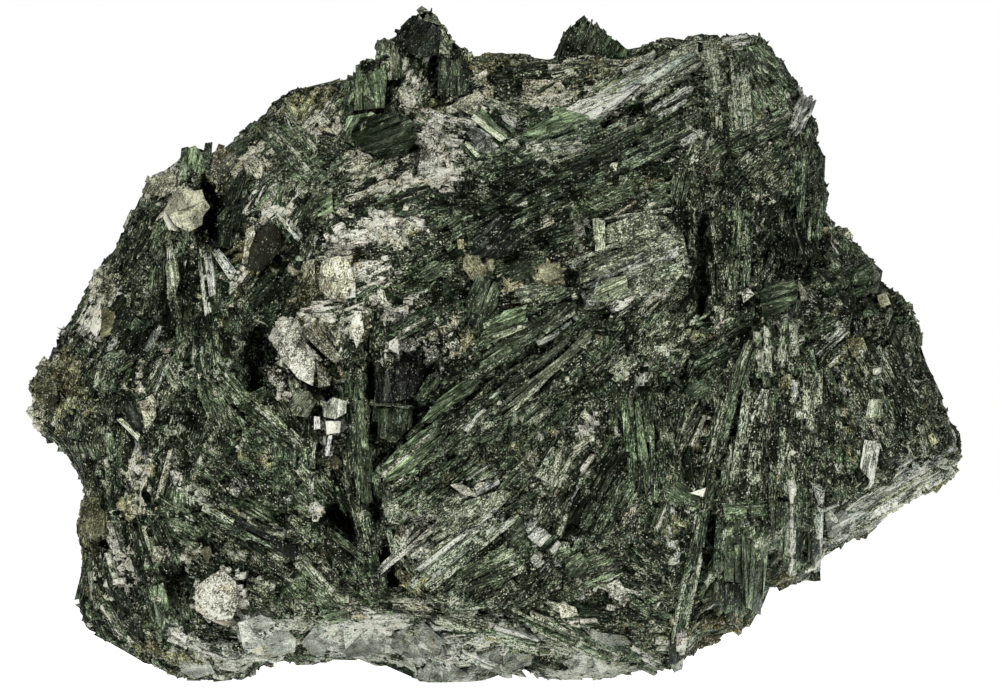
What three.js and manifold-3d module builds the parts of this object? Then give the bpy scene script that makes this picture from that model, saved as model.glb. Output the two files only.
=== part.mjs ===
// A hand specimen of smaragdite: one block of rock, made of green amphibole blades grown through dark
// ground mass and granular white feldspar. It stands on its lower edge. Millimetres, +Z up. X runs along
// the block and Y into it, away from the showy face. The origin is on the resting plane, under the middle
// of the specimen's box.

import * as THREE from "three";
import { mergeVertices } from "three/addons/utils/BufferGeometryUtils.js";
import Module from "manifold-3d";

const wasm = await Module();
wasm.setup();

// ---- Driving dimensions ------------------------------------------------------------------------------

const FRONT_DEPTH = 26; // from the block's middle plane to the showy face
const BACK_DEPTH = 25; // from the middle plane to the back
const MIDDLE = new THREE.Vector2(1, 41); // where the rings of the block close, in X and Z
const ROUGHNESS = 0.7; // how far a corner of the block strays
const BLOCK_COUNT = 70; // cleavage blocks that a face breaks into
const BLOCK_STEP = 1.3; // how far one block stands above the next
const BLOCK_STRETCH = 2.2; // how much longer than wide a block is
const CRACK_WIDTH = 1.4; // open joints between the blades
const CRACK_DEPTH = 3.2;
const RIM_HALF_WIDTH = 7; // the rim, which keeps its outline, runs this far to each side of the middle
const LOWEST_GROWTH = 5; // crystals on the back and walls start this high above the resting plane
const WALL_RELIEF = 0.03; // depth of the side wall's hollows, as a share of the way in
const LUMP_STRAY = 0.14; // how far a corner of a feldspar lump strays, as a share of its half size
const FINE_LUMP = 3.6; // lumps with a half size above this have more faces
const STREWN_THICK = 5; // of the laths on the back and the side walls
const GOLDEN_SHARE = 0.381966; // this share of a turn from one to the next spreads things evenly
const STREWN_COUNT = 46; // places on the back and the side walls where crystals crop out
const SEED = 7;

const SLAB_SIZE = 160; // slabs that cut the block are larger than it
const SLAB_THICK = 40;
const FAR_OUT = 120; // outside the block, where lines towards it start

const FRONT = -1;
const BACK = 1;

// Rings of corners that carry each face from the outline to its middle. The first stand on the side wall,
// at shares of the depth. The rest lie on the face, at shares of the way in.
const WALL_RINGS = [0.24, 0.48, 0.68, 0.84];
const FACE_RINGS = [0.19, 0.28, 0.39, 0.51, 0.65, 0.82];
const WALL_POWER = 9; // how square the block's section is

// The block's outline, seen on its showy face: X and Z, clockwise from the upper left shoulder.
const OUTLINE = [
  [-45.7, 62.9], [-43.5, 65.5], [-40.0, 68.0], [-37.3, 68.6], [-33.8, 69.1], [-30.9, 72.6],
  [-29.3, 74.1], [-26.1, 75.9], [-23.5, 76.8], [-18.9, 77.7], [-17.1, 79.0], [-15.0, 80.0],
  [-13.9, 80.5], [-3.7, 80.8], [-1.6, 81.1], [5.5, 80.4], [7.4, 79.6], [17.1, 80.2],
  [18.6, 81.5], [22.0, 82.8], [26.7, 83.7], [31.0, 83.5], [34.6, 83.1], [37.1, 79.5],
  [39.5, 75.5], [41.2, 73.5], [42.0, 69.9], [42.0, 66.4], [42.7, 65.1], [42.6, 62.6],
  [43.4, 58.8], [47.1, 56.8], [49.0, 52.8], [52.1, 49.9], [54.7, 46.8], [54.5, 43.3],
  [56.0, 38.8], [57.7, 37.5], [58.1, 34.2], [60.1, 31.2], [60.0, 28.1], [58.6, 26.3],
  [54.7, 24.0], [49.7, 20.6], [44.7, 17.5], [41.8, 14.1], [38.7, 12.1], [35.1, 11.6],
  [34.2, 8.1], [31.3, 6.8], [27.1, 4.8], [24.6, 3.2], [22.1, 0.9], [17.6, 1.0],
  [12.1, -1.5], [8.7, -1.8], [3.8, 1.6], [0.1, 0.4], [-6.6, -2.0], [-10.1, -2.0],
  [-11.1, 1.8], [-13.7, 2.7], [-15.4, 1.8], [-20.2, 3.4], [-23.8, 1.8], [-28.7, 3.1],
  [-32.9, -1.3], [-37.4, -1.9], [-42.2, 1.3], [-46.7, 3.6], [-51.9, 6.2], [-53.8, 11.3],
  [-52.8, 15.5], [-53.9, 20.8], [-52.8, 23.2], [-54.2, 28.1], [-56.8, 30.9], [-59.6, 32.2],
  [-59.4, 38.4], [-57.0, 43.2], [-54.2, 47.7], [-50.3, 54.0], [-48.1, 58.0], [-46.7, 61.0],
].map(([x, z]) => new THREE.Vector2(x, z));

// The showy face as it first broke: its depth is the least of depth + alongX * x + alongZ * z.
const SHOWY_PLANES = [
  { depth: FRONT_DEPTH, alongX: 0.0, alongZ: 0.0 },
  { depth: 32.5, alongX: 0.34, alongZ: 0.0 },
  { depth: 36.0, alongX: -0.36, alongZ: 0.0 },
  { depth: 60.5, alongX: 0.05, alongZ: -0.55 },
  { depth: 18.0, alongX: 0.0, alongZ: 0.62 },
  { depth: 49.5, alongX: 0.28, alongZ: -0.28 },
  { depth: 29.0, alongX: -0.42, alongZ: 0.42 },
  { depth: 34.0, alongX: 0.28, alongZ: 0.3 },
];

// Swells and hollows of the showy face: where, how far out (or in, below zero) and how wide.
const SWELLS = [
  { x: -24.8, z: 42.5, rise: 2.4, spread: 6 },
  { x: -30.0, z: 41.5, rise: -3.4, spread: 3 },
  { x: -14.0, z: 58.0, rise: 1.8, spread: 7 },
  { x: -35.0, z: 61.0, rise: -3.0, spread: 4 },
  { x: -43.0, z: 39.0, rise: 1.8, spread: 6 },
  { x: 18.0, z: 54.0, rise: 1.6, spread: 8 },
  { x: -7.0, z: 71.0, rise: 2.0, spread: 6 },
  { x: -2.0, z: 33.0, rise: 1.8, spread: 8 },
  { x: 28.0, z: 7.5, rise: -4.5, spread: 5 },
  { x: 35.0, z: 18.0, rise: 2.0, spread: 6 },
  { x: -20.0, z: 22.0, rise: -1.8, spread: 5 },
  { x: 5.0, z: 13.0, rise: 1.5, spread: 8 },
  { x: 45.0, z: 45.0, rise: 1.5, spread: 6 },
];

// Flat breaks along the side walls: the stretch of outline each starts from, and how steeply it runs in.
const WALL_BREAKS = [
  { from: [-54.2, 47.0], to: [-45.7, 63.0], side: BACK, tilt: 38 },
  { from: [-43.5, 66.0], to: [-24.0, 77.4], side: BACK, tilt: 30 },
  { from: [-24.0, 79.2], to: [7.0, 81.2], side: BACK, tilt: 24 },
  { from: [7.0, 80.8], to: [37.0, 84.6], side: BACK, tilt: 36 },
  { from: [38.6, 83.0], to: [61.2, 33.0], side: BACK, tilt: 32 },
  { from: [60.4, 27.4], to: [39.0, 11.8], side: BACK, tilt: 30 },
  { from: [36.0, 10.0], to: [22.0, 0.6], side: BACK, tilt: 24 },
  { from: [22.0, -1.4], to: [-36.0, -2.0], side: BACK, tilt: 5 },
  { from: [-45.4, 0.4], to: [-55.2, 8.4], side: BACK, tilt: 28 },
  { from: [-55.6, 12.0], to: [-60.6, 31.0], side: BACK, tilt: 36 },
  { from: [-57.4, 43.4], to: [-47.6, 61.0], side: FRONT, tilt: 30 },
  { from: [-40.0, 69.2], to: [-21.0, 78.0], side: FRONT, tilt: 34 },
  { from: [-6.0, 81.4], to: [24.0, 82.4], side: FRONT, tilt: 40 },
  { from: [38.6, 83.6], to: [61.2, 34.0], side: FRONT, tilt: 26 },
  { from: [60.2, 27.0], to: [40.6, 13.4], side: FRONT, tilt: 22 },
  { from: [20.0, -1.4], to: [-30.0, -2.0], side: FRONT, tilt: 6 },
  { from: [-45.8, 0.6], to: [-55.6, 8.6], side: FRONT, tilt: 30 },
];

// Flat breaks across the back: a point on each, and the way it faces.
const BACK_BREAKS = [
  { at: [0, BACK_DEPTH, 40], facing: [0.06, 1, 0.1] },
  { at: [-32, BACK_DEPTH - 4, 44], facing: [-0.5, 1, 0.08] },
  { at: [30, BACK_DEPTH - 3, 52], facing: [0.42, 1, 0.3] },
  { at: [30, BACK_DEPTH - 4, 22], facing: [0.5, 1, -0.35] },
  { at: [-6, BACK_DEPTH - 4, 14], facing: [-0.1, 1, -0.6] },
  { at: [-10, BACK_DEPTH - 4, 64], facing: [-0.12, 1, 0.55] },
  { at: [-34, BACK_DEPTH - 8, 20], facing: [-0.5, 1, -0.5] },
];

// ---- Repeatable chance -------------------------------------------------------------------------------

function makeChance(seed) {
  let state = seed;
  return () => {
    state = (state + 0x6d2b79f5) | 0;
    let mixed = Math.imul(state ^ (state >>> 15), 1 | state);
    mixed = (mixed + Math.imul(mixed ^ (mixed >>> 7), 61 | mixed)) ^ mixed;
    return ((mixed ^ (mixed >>> 14)) >>> 0) / 4294967296;
  };
}

const chance = makeChance(SEED);
const between = (low, high) => low + (high - low) * chance();

// ---- The block's surface -----------------------------------------------------------------------------

const outlineLengths = OUTLINE.map((corner, i) => corner.distanceTo(OUTLINE[(i + 1) % OUTLINE.length]));
const outlineLength = outlineLengths.reduce((sum, length) => sum + length, 0);

// The point of the outline a given share of the way round it.
function outlineAt(share) {
  let left = (share % 1) * outlineLength;
  let i = 0;
  while (left > outlineLengths[i]) {
    left -= outlineLengths[i];
    i += 1;
  }
  return OUTLINE[i].clone().lerp(OUTLINE[(i + 1) % OUTLINE.length], left / outlineLengths[i]);
}

// How far in from the outline a point lies: 0 on the outline, 1 at the middle.
function insetOf(x, z) {
  const ray = new THREE.Vector2(x, z).sub(MIDDLE);
  let reach = 0;
  for (let i = 0; i < OUTLINE.length; i += 1) {
    const start = OUTLINE[i].clone().sub(MIDDLE);
    const edge = OUTLINE[(i + 1) % OUTLINE.length].clone().sub(OUTLINE[i]);
    const across = ray.cross(edge);
    if (Math.abs(across) < 1e-9) continue;
    const along = start.cross(edge) / across;
    const share = start.cross(ray) / across;
    if (along > 0 && share >= 0 && share <= 1) reach = Math.max(reach, along);
  }
  return reach > 0 ? Math.min(Math.max(1 - 1 / reach, 0), 1) : 1;
}

// The block is not flat at its outline: its middle plane waves.
function middleY(x, z) {
  return 1.8 * Math.sin(x / 11) + 1.4 * Math.sin(z / 8 + 1) + 0.8 * Math.sin((x - z) / 4.5);
}

// The showy face breaks into long cleavage blocks, each a little higher or tilted against its neighbours.
function makeBlocks() {
  const made = [];
  for (let i = 0; i < BLOCK_COUNT; i += 1) {
    const angle = between(0, Math.PI);
    made.push({
      place: outlineAt(i * GOLDEN_SHARE).lerp(MIDDLE, 1 - Math.sqrt((i + 0.5) / BLOCK_COUNT)),
      run: new THREE.Vector2(Math.cos(angle), Math.sin(angle)),
      step: between(-BLOCK_STEP, BLOCK_STEP),
      tilt: new THREE.Vector2(between(-0.16, 0.16), between(-0.16, 0.16)),
    });
  }
  return made;
}

const blocks = makeBlocks();

// The step of the cleavage block that holds a point.
function blockRelief(x, z) {
  let nearest = Infinity;
  let relief = 0;
  for (const block of blocks) {
    const away = new THREE.Vector2(x, z).sub(block.place);
    const along = away.dot(block.run) / BLOCK_STRETCH;
    const distance = Math.hypot(along, away.cross(block.run));
    if (distance < nearest) {
      nearest = distance;
      relief = block.step + away.dot(block.tilt);
    }
  }
  return relief;
}

// How far the showy face stands from the middle plane, before it falls away to the outline.
function showyDepth(x, z) {
  let depth = blockRelief(x, z);
  for (const swell of SWELLS) {
    const distance = Math.hypot(x - swell.x, z - swell.z);
    depth += swell.rise * Math.exp(-((distance / swell.spread) ** 2));
  }
  return depth + Math.min(...SHOWY_PLANES.map((plane) => plane.depth + plane.alongX * x + plane.alongZ * z));
}

// A corner of the uncut block.
function cornerAt(x, z, side, stray) {
  const depth = side === FRONT ? showyDepth(x, z) : BACK_DEPTH + 4;
  const fall = Math.sqrt(1 - (1 - insetOf(x, z)) ** WALL_POWER);
  return new THREE.Vector3(x, middleY(x, z) + side * (depth + stray) * fall, z);
}

// ---- Solids ------------------------------------------------------------------------------------------

// Drops what keeps the corners of neighbouring faces apart.
function stripped(geometry) {
  geometry.deleteAttribute("normal");
  geometry.deleteAttribute("uv");
  return geometry;
}

function solidFrom(geometry) {
  const merged = mergeVertices(stripped(geometry), 1e-4);
  const mesh = new wasm.Mesh({
    numProp: 3,
    vertProperties: new Float32Array(merged.attributes.position.array),
    triVerts: new Uint32Array(merged.index.array),
  });
  return new wasm.Manifold(mesh);
}

// One face of the block: rings of corners from the outline inwards.
function faceRings(side) {
  const wallInsets = WALL_RINGS.map((share) => 1 - (1 - share ** 2) ** (1 / WALL_POWER));
  return [...wallInsets, ...FACE_RINGS].map((inset, k) => {
    const onWall = k < WALL_RINGS.length;
    const count = Math.round(OUTLINE.length * (onWall ? 0.86 - 0.06 * k : (1 - inset) * 0.82));
    const ring = [];
    for (let i = 0; i < count; i += 1) {
      const edge = outlineAt((i + 1 + between(-0.15, 0.15)) / count);
      const hollow = onWall ? WALL_RELIEF * Math.max(0, wallRelief(edge.x, edge.y, k * side)) : 0;
      const place = edge.lerp(MIDDLE, inset + hollow);
      ring.push(cornerAt(place.x, place.y, side, between(-ROUGHNESS, ROUGHNESS)));
    }
    return ring;
  });
}

// Waves of the side wall, which turn as they cross it.
function wallRelief(x, z, row) {
  const bumps = Math.sin(x / 3.1 + row * 1.7) * Math.sin(z / 2.7 - row * 1.1);
  return bumps + 0.5 * Math.sin((x + z) / 5 + row * 2);
}

// Joins two rings of different counts, walking round both at once.
function zipRings(outer, inner, outerStart, innerStart, side, triangles) {
  let i = 0;
  let j = 0;
  while (i < outer || j < inner) {
    const takeOuter = j >= inner || (i < outer && (i + 1) / outer <= (j + 1) / inner + 1e-9);
    const a = outerStart + (i % outer);
    const b = innerStart + (j % inner);
    const c = takeOuter ? outerStart + ((i + 1) % outer) : innerStart + ((j + 1) % inner);
    triangles.push(...(side === FRONT ? [a, b, c] : [b, a, c]));
    if (takeOuter) i += 1;
    else j += 1;
  }
}

function makeBlock() {
  const corners = [];
  for (let i = 0; i < OUTLINE.length; i += 1) {
    const edge = outlineAt((i + 1) / OUTLINE.length);
    corners.push(new THREE.Vector3(edge.x, middleY(edge.x, edge.y), edge.y));
  }
  const triangles = [];
  for (const side of [FRONT, BACK]) {
    let outerStart = 0;
    let outer = OUTLINE.length;
    for (const ring of faceRings(side)) {
      const innerStart = corners.length;
      corners.push(...ring);
      zipRings(outer, ring.length, outerStart, innerStart, side, triangles);
      outerStart = innerStart;
      outer = ring.length;
    }
    const tip = corners.length;
    corners.push(cornerAt(MIDDLE.x, MIDDLE.y, side, 0));
    for (let i = 0; i < outer; i += 1) {
      const a = outerStart + i;
      const b = outerStart + ((i + 1) % outer);
      triangles.push(...(side === FRONT ? [a, tip, b] : [tip, a, b]));
    }
  }
  const geometry = new THREE.BufferGeometry();
  geometry.setAttribute("position", new THREE.Float32BufferAttribute(corners.flatMap((c) => c.toArray()), 3));
  geometry.setIndex(triangles);
  return solidFrom(geometry);
}

// The half space beyond a plane through a point, as a slab large enough to cut the block.
function beyondPlane(point, facing) {
  const slab = new THREE.BoxGeometry(SLAB_SIZE, SLAB_SIZE, SLAB_THICK);
  slab.translate(0, 0, SLAB_THICK / 2);
  slab.applyQuaternion(new THREE.Quaternion().setFromUnitVectors(new THREE.Vector3(0, 0, 1), facing));
  slab.translate(point.x, point.y, point.z);
  return solidFrom(slab);
}

function wallBreak({ from, to, side, tilt }) {
  const run = new THREE.Vector2(to[0] - from[0], to[1] - from[1]).normalize();
  const steep = THREE.MathUtils.degToRad(tilt);
  const outwards = new THREE.Vector2(-run.y, run.x).multiplyScalar(Math.cos(steep));
  const facing = new THREE.Vector3(outwards.x, side * Math.sin(steep), outwards.y);
  const start = new THREE.Vector3(from[0], middleY(from[0], from[1]) + side * 2, from[1]);
  return beyondPlane(start, facing);
}

function backBreak({ at, facing }) {
  return beyondPlane(new THREE.Vector3(...at), new THREE.Vector3(...facing).normalize());
}

// A crystal from start to end. It is width across and thick through, with its flat face turned to the
// outward direction. Each end is cut at a slant, or drawn to a tip of the given length.
function makeCrystal({ start, end, outward, width, thick, sides = 6, slant = 0, tip = 0, roll = 0 }) {
  const axis = end.clone().sub(start);
  const length = axis.length();
  axis.normalize();
  const out = outward.clone().addScaledVector(axis, -outward.dot(axis)).normalize();
  out.applyAxisAngle(axis, roll);
  const across = new THREE.Vector3().crossVectors(axis, out);
  const flat = Math.cos(Math.PI / sides);
  const profile = [new THREE.Vector2(0, 0), new THREE.Vector2(0.5 / flat, 0)];
  profile.push(new THREE.Vector2(0.5 / flat, length - tip), new THREE.Vector2(0, length));
  const geometry = new THREE.LatheGeometry(profile, sides, Math.PI / sides);
  const place = geometry.attributes.position;
  for (let i = 0; i < place.count; i += 1) {
    const sideways = place.getX(i);
    const outwards = place.getZ(i);
    const along = place.getY(i);
    const cut = along > length / 2 ? slant : -slant * 0.7;
    const spot = start.clone().addScaledVector(axis, along + cut * sideways * width);
    spot.addScaledVector(across, sideways * width).addScaledVector(out, outwards * thick);
    place.setXYZ(i, spot.x, spot.y, spot.z);
  }
  return solidFrom(geometry);
}

// Where a straight line from outside first meets the broken block, and the way the face there looks.
function touch(origin, direction) {
  const [hit] = new THREE.Raycaster(origin, direction).intersectObject(brokenBlock);
  return hit ? { point: hit.point, facing: hit.face.normal } : null;
}

// Where the showy face lies behind X and Z, or behind the nearest spot inwards where there is rock.
function touchShowy(x, z) {
  const place = new THREE.Vector2(x, z);
  const into = new THREE.Vector3(0, 1, 0);
  let hit = touch(new THREE.Vector3(x, -FAR_OUT, z), into);
  while (!hit) {
    place.lerp(MIDDLE, 0.01);
    hit = touch(new THREE.Vector3(place.x, -FAR_OUT, place.y), into);
  }
  return hit;
}

// A crystal lying in the showy face, from one X and Z to another, its crest standing proud by rise.
function layCrystal({ from, to, width, thick = 4, rise = 0.8, ...rest }) {
  const first = touchShowy(...from);
  const last = touchShowy(...to);
  const outward = first.facing.clone().add(last.facing).add(new THREE.Vector3(0, -1, 0)).normalize();
  const start = first.point.addScaledVector(outward, rise - thick / 2);
  const end = last.point.addScaledVector(outward, rise - thick / 2);
  return makeCrystal({ start, end, outward, width, thick, sides: 4, ...rest });
}

// Laths side by side, each with its own length and height, as amphibole cleaves.
function layLaths({ from, to, laths = 2, width, rise = 0.8, ...rest }) {
  const run = new THREE.Vector2(to[0] - from[0], to[1] - from[1]);
  const pitch = width / laths;
  const across = new THREE.Vector2(-run.y, run.x).normalize().multiplyScalar(pitch);
  const crystals = [];
  for (let i = 0; i < laths; i += 1) {
    const offset = i - (laths - 1) / 2;
    const ends = [between(0, 0.12), 1 - between(0, 0.12)].map((share) => [
      from[0] + run.x * share + across.x * offset,
      from[1] + run.y * share + across.y * offset,
    ]);
    crystals.push(layCrystal({
      from: ends[0],
      to: ends[1],
      width: pitch * 1.15,
      rise: rise + between(-0.3, 0.3),
      slant: between(-0.6, 0.6),
      roll: between(-0.35, 0.35),
      ...rest,
    }));
  }
  return crystals;
}

// A rough lump, pressed to its three half sizes and sunk into a face.
function makeLump({ centre, halves }) {
  const detail = Math.max(...halves) > FINE_LUMP ? 1 : 0;
  const geometry = mergeVertices(stripped(new THREE.IcosahedronGeometry(1, detail)), 1e-4);
  const place = geometry.attributes.position;
  for (let i = 0; i < place.count; i += 1) {
    const swell = 1 + between(-LUMP_STRAY, LUMP_STRAY);
    place.setXYZ(
      i,
      centre.x + place.getX(i) * halves[0] * swell,
      centre.y + place.getY(i) * halves[1] * swell,
      centre.z + place.getZ(i) * halves[2] * swell,
    );
  }
  return solidFrom(geometry);
}

// A lump set in the showy face, standing proud of it by rise.
function layLump({ at, size, rise = 1.2 }) {
  const through = Math.min(...size) * 0.55;
  const centre = touchShowy(...at).point.add(new THREE.Vector3(0, through - rise, 0));
  return makeLump({ centre, halves: [size[0] / 2, through, size[1] / 2] });
}

// An open joint that follows the showy face along a line of points.
function cutCrack({ along, width = CRACK_WIDTH, depth = CRACK_DEPTH }) {
  const cuts = [];
  for (let i = 0; i + 1 < along.length; i += 1) {
    cuts.push(layCrystal({ from: along[i], to: along[i + 1], width, thick: depth * 2, rise: depth }));
  }
  return cuts;
}

// ---- The showy face ----------------------------------------------------------------------------------

// Two pointed crystals stand on the top edge, with broken stubs beside them.
function peaks() {
  const outward = new THREE.Vector3(0.2, -1, 0);
  const stand = (x, y, foot, top, width, thick, rest) => {
    const start = new THREE.Vector3(x - 0.3, y - 1, foot);
    const end = new THREE.Vector3(x, y, top);
    return makeCrystal({ start, end, outward, width, thick, ...rest });
  };
  return [
    stand(-9.3, -4, 66, 86.9, 8.4, 8.4, { tip: 5.0, roll: 0.15 }),
    stand(-5.5, -6, 68, 81.6, 4.0, 5.4, { sides: 4, slant: 0.25 }),
    stand(-15.6, -7, 68, 80.0, 4.2, 5.8, { slant: 0.25 }),
    stand(-13.4, -2, 70, 82.8, 3.8, 6.0, { slant: -0.3, tip: 1.2 }),
    stand(11.3, 4, 70, 85.8, 7.4, 8.4, { tip: 4.2, roll: -0.3 }),
    stand(15.3, 2, 70, 82.4, 4.0, 6.0, { slant: -0.35, tip: 1.0 }),
  ];
}

// Crystals that lie in the showy face, region by region.
const UPPER_LEFT = [
  { from: [-38.7, 64.0], to: [-38.7, 69.2], width: 3.3, rise: 2.0, sides: 6 },
  { from: [-32.9, 66.2], to: [-35.8, 55.8], width: 3.2 },
  { from: [-29.4, 71.6], to: [-24.4, 64.8], width: 5.0, laths: 2 },
  { from: [-41.9, 57.2], to: [-40.2, 45.6], width: 2.8 },
  { from: [-27.4, 74.2], to: [-18.8, 76.0], width: 3.2, rise: 1.3, sides: 6 },
  { from: [-20.8, 67.2], to: [-20.2, 58.2], width: 4.8, rise: 1.0 },
];

const UPPER_MIDDLE = [
  { from: [-17.4, 69.6], to: [-10.4, 70.6], width: 5.4, rise: 1.8, sides: 6, slant: 0.12 },
  { from: [-12.4, 73.8], to: [-4.0, 74.7], width: 2.6, rise: 1.4 },
  { from: [-3.4, 79.0], to: [7.4, 77.8], width: 3.4, rise: 1.3, sides: 6 },
  { from: [6.0, 76.6], to: [18.0, 78.6], width: 3.2, rise: 1.1, sides: 6 },
];

const UPPER_RIGHT = [
  { from: [-5.9, 56.4], to: [19.8, 65.4], width: 4.6, laths: 2, rise: 0.7 },
  { from: [0.4, 60.2], to: [27.2, 73.6], width: 5.2, laths: 2, rise: 1.0 },
  { from: [4.0, 66.4], to: [25.6, 76.8], width: 3.2, rise: 1.2 },
  { from: [6.4, 70.6], to: [25.2, 80.2], width: 5.4, laths: 2, rise: 1.2 },
  { from: [12.6, 51.2], to: [24.4, 58.0], width: 9.6, thick: 5, rise: 1.0 },
  { from: [31.8, 80.4], to: [30.8, 66.0], width: 2.8, rise: 1.0 },
  { from: [36.0, 78.6], to: [33.8, 65.8], width: 5.2, laths: 2, rise: 0.9 },
  { from: [40.2, 73.4], to: [37.2, 61.8], width: 3.6, rise: 0.9 },
];

const LEFT = [
  { from: [-36.6, 46.2], to: [-36.0, 40.2], width: 3.4 },
  { from: [-36.2, 41.2], to: [-25.2, 30.6], width: 4.8, laths: 2, rise: 1.0 },
  { from: [-50.4, 41.4], to: [-48.0, 36.6], width: 3.8, rise: 1.2 },
  { from: [-47.4, 35.6], to: [-45.2, 32.2], width: 3.0, rise: 1.4, sides: 6 },
  { from: [-36.4, 22.2], to: [-25.0, 16.6], width: 3.6, rise: 1.0 },
  { from: [-48.6, 28.8], to: [-38.6, 21.0], width: 3.4 },
  { from: [-33.8, 5.8], to: [-25.6, 5.4], width: 5.8, rise: 1.0, sides: 6 },
  { from: [-50.4, 12.8], to: [-44.0, 5.4], width: 4.8, laths: 2 },
  { from: [-46.0, 17.8], to: [-39.4, 8.4], width: 3.8 },
  { from: [-20.5, 34.2], to: [-20.3, 36.8], width: 3.0, rise: 1.6, roll: Math.PI / 4 },
  { from: [-21.6, 29.6], to: [-21.4, 34.6], width: 2.4, rise: 1.1, roll: Math.PI / 4 },
];

const CENTRE = [
  { from: [-12.2, 31.0], to: [-12.0, 41.2], width: 6.2, rise: 0.9, roll: Math.PI / 4 },
  { from: [-17.2, 37.8], to: [-16.9, 23.0], width: 2.6, rise: 1.1 },
  { from: [-16.8, 24.0], to: [-14.8, 13.8], width: 2.6, rise: 1.0 },
  { from: [-14.6, 25.6], to: [-6.8, 33.0], width: 4.2, laths: 2, rise: 1.5 },
  { from: [-8.8, 34.4], to: [-1.6, 39.4], width: 2.4, rise: 1.6 },
  { from: [-11.8, 23.2], to: [2.6, 34.8], width: 3.0, rise: 1.2 },
  { from: [-2.4, 33.4], to: [13.8, 45.6], width: 4.6, laths: 2, rise: 1.5 },
  { from: [-2.6, 41.0], to: [12.4, 49.4], width: 3.6, rise: 1.1 },
  { from: [1.0, 34.2], to: [13.0, 42.6], width: 3.0, rise: 1.0 },
  { from: [-9.4, 26.2], to: [0.4, 15.8], width: 4.2, rise: 0.7 },
  { from: [4.0, 28.0], to: [14.4, 19.6], width: 4.2, rise: 0.7 },
  { from: [2.6, 22.0], to: [-9.0, 9.8], width: 3.8, rise: 0.7 },
  { from: [16.8, 41.0], to: [20.6, 27.0], width: 4.0, rise: 0.7 },
  { from: [-15.2, 17.8], to: [-3.4, 11.8], width: 5.2, laths: 2, rise: 0.9 },
];

const RIGHT = [
  { from: [34.4, 48.2], to: [39.6, 50.2], width: 4.8, rise: 1.8, sides: 6 },
  { from: [42.4, 49.0], to: [47.0, 53.0], width: 5.6, thick: 6, rise: 1.4, sides: 6 },
  { from: [31.6, 44.2], to: [28.6, 30.0], width: 3.0, rise: 1.4 },
  { from: [28.8, 31.0], to: [26.2, 21.0], width: 2.8, rise: 1.3 },
  { from: [26.4, 23.4], to: [21.8, 4.2], width: 4.4, laths: 2, rise: 1.0 },
  { from: [33.4, 38.6], to: [31.8, 22.6], width: 4.6, rise: 0.9 },
  { from: [38.4, 37.6], to: [37.8, 23.6], width: 4.6, rise: 0.9 },
  { from: [42.8, 36.0], to: [42.4, 24.8], width: 3.8, rise: 0.9 },
  { from: [30.6, 22.6], to: [30.4, 7.6], width: 6.6, laths: 2, rise: 1.4 },
  { from: [37.6, 25.0], to: [37.8, 13.4], width: 6.4, laths: 2, rise: 1.3 },
  { from: [42.0, 19.4], to: [58.8, 28.6], width: 4.4, rise: 1.1 },
  { from: [41.4, 23.4], to: [58.0, 32.6], width: 4.0, rise: 0.8 },
  { from: [46.8, 30.6], to: [48.6, 26.0], width: 2.8, rise: 1.4 },
];

const BOTTOM = [
  { from: [-4.8, 5.4], to: [2.8, 1.8], width: 3.4, rise: 1.0 },
  { from: [5.6, 8.2], to: [20.8, 3.2], width: 4.6, laths: 2, rise: 1.0 },
  { from: [23.8, 8.0], to: [22.2, 1.8], width: 3.0, rise: 1.2, sides: 6 },
];

// Feldspar lumps of the showy face: where, and how wide and high.
const LUMPS = [
  { at: [-34.6, 66.8], size: [4.2, 5.4] },
  { at: [-39.6, 61.2], size: [5.8, 7.0], rise: 2.0 },
  { at: [-43.2, 63.8], size: [4.6, 4.2] },
  { at: [-29.7, 55.9], size: [5.6, 7.0], rise: 1.7 },
  { at: [-21.0, 72.2], size: [5.6, 4.6] },
  { at: [-16.8, 66.2], size: [4.8, 4.2], rise: 1.6 },
  { at: [-8.2, 68.2], size: [3.0, 6.8], rise: 1.4 },
  { at: [-10.4, 76.8], size: [5.2, 4.8], rise: 1.8 },
  { at: [-16.0, 58.0], size: [11.8, 5.0], rise: 1.6 },
  { at: [-20.2, 51.8], size: [5.2, 5.8], rise: 1.4 },
  { at: [22.2, 80.2], size: [5.6, 4.4] },
  { at: [-24.8, 42.6], size: [7.6, 9.8], rise: 2.6 },
  { at: [-44.2, 37.0], size: [6.2, 9.2], rise: 1.4 },
  { at: [-57.0, 36.0], size: [5.4, 8.6], rise: 1.6 },
  { at: [-50.2, 51.2], size: [3.8, 4.6] },
  { at: [-51.4, 20.4], size: [4.6, 5.8], rise: 1.4 },
  { at: [-43.0, 27.0], size: [6.2, 6.6], rise: 1.0 },
  { at: [-35.9, 11.4], size: [6.0, 6.4], rise: 2.0 },
  { at: [-19.0, 5.6], size: [8.6, 4.4], rise: 1.2 },
  { at: [51.8, 47.2], size: [4.6, 4.8] },
  { at: [55.0, 36.6], size: [5.0, 5.6], rise: 1.6 },
  { at: [44.2, 57.4], size: [4.2, 4.8] },
];

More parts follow.
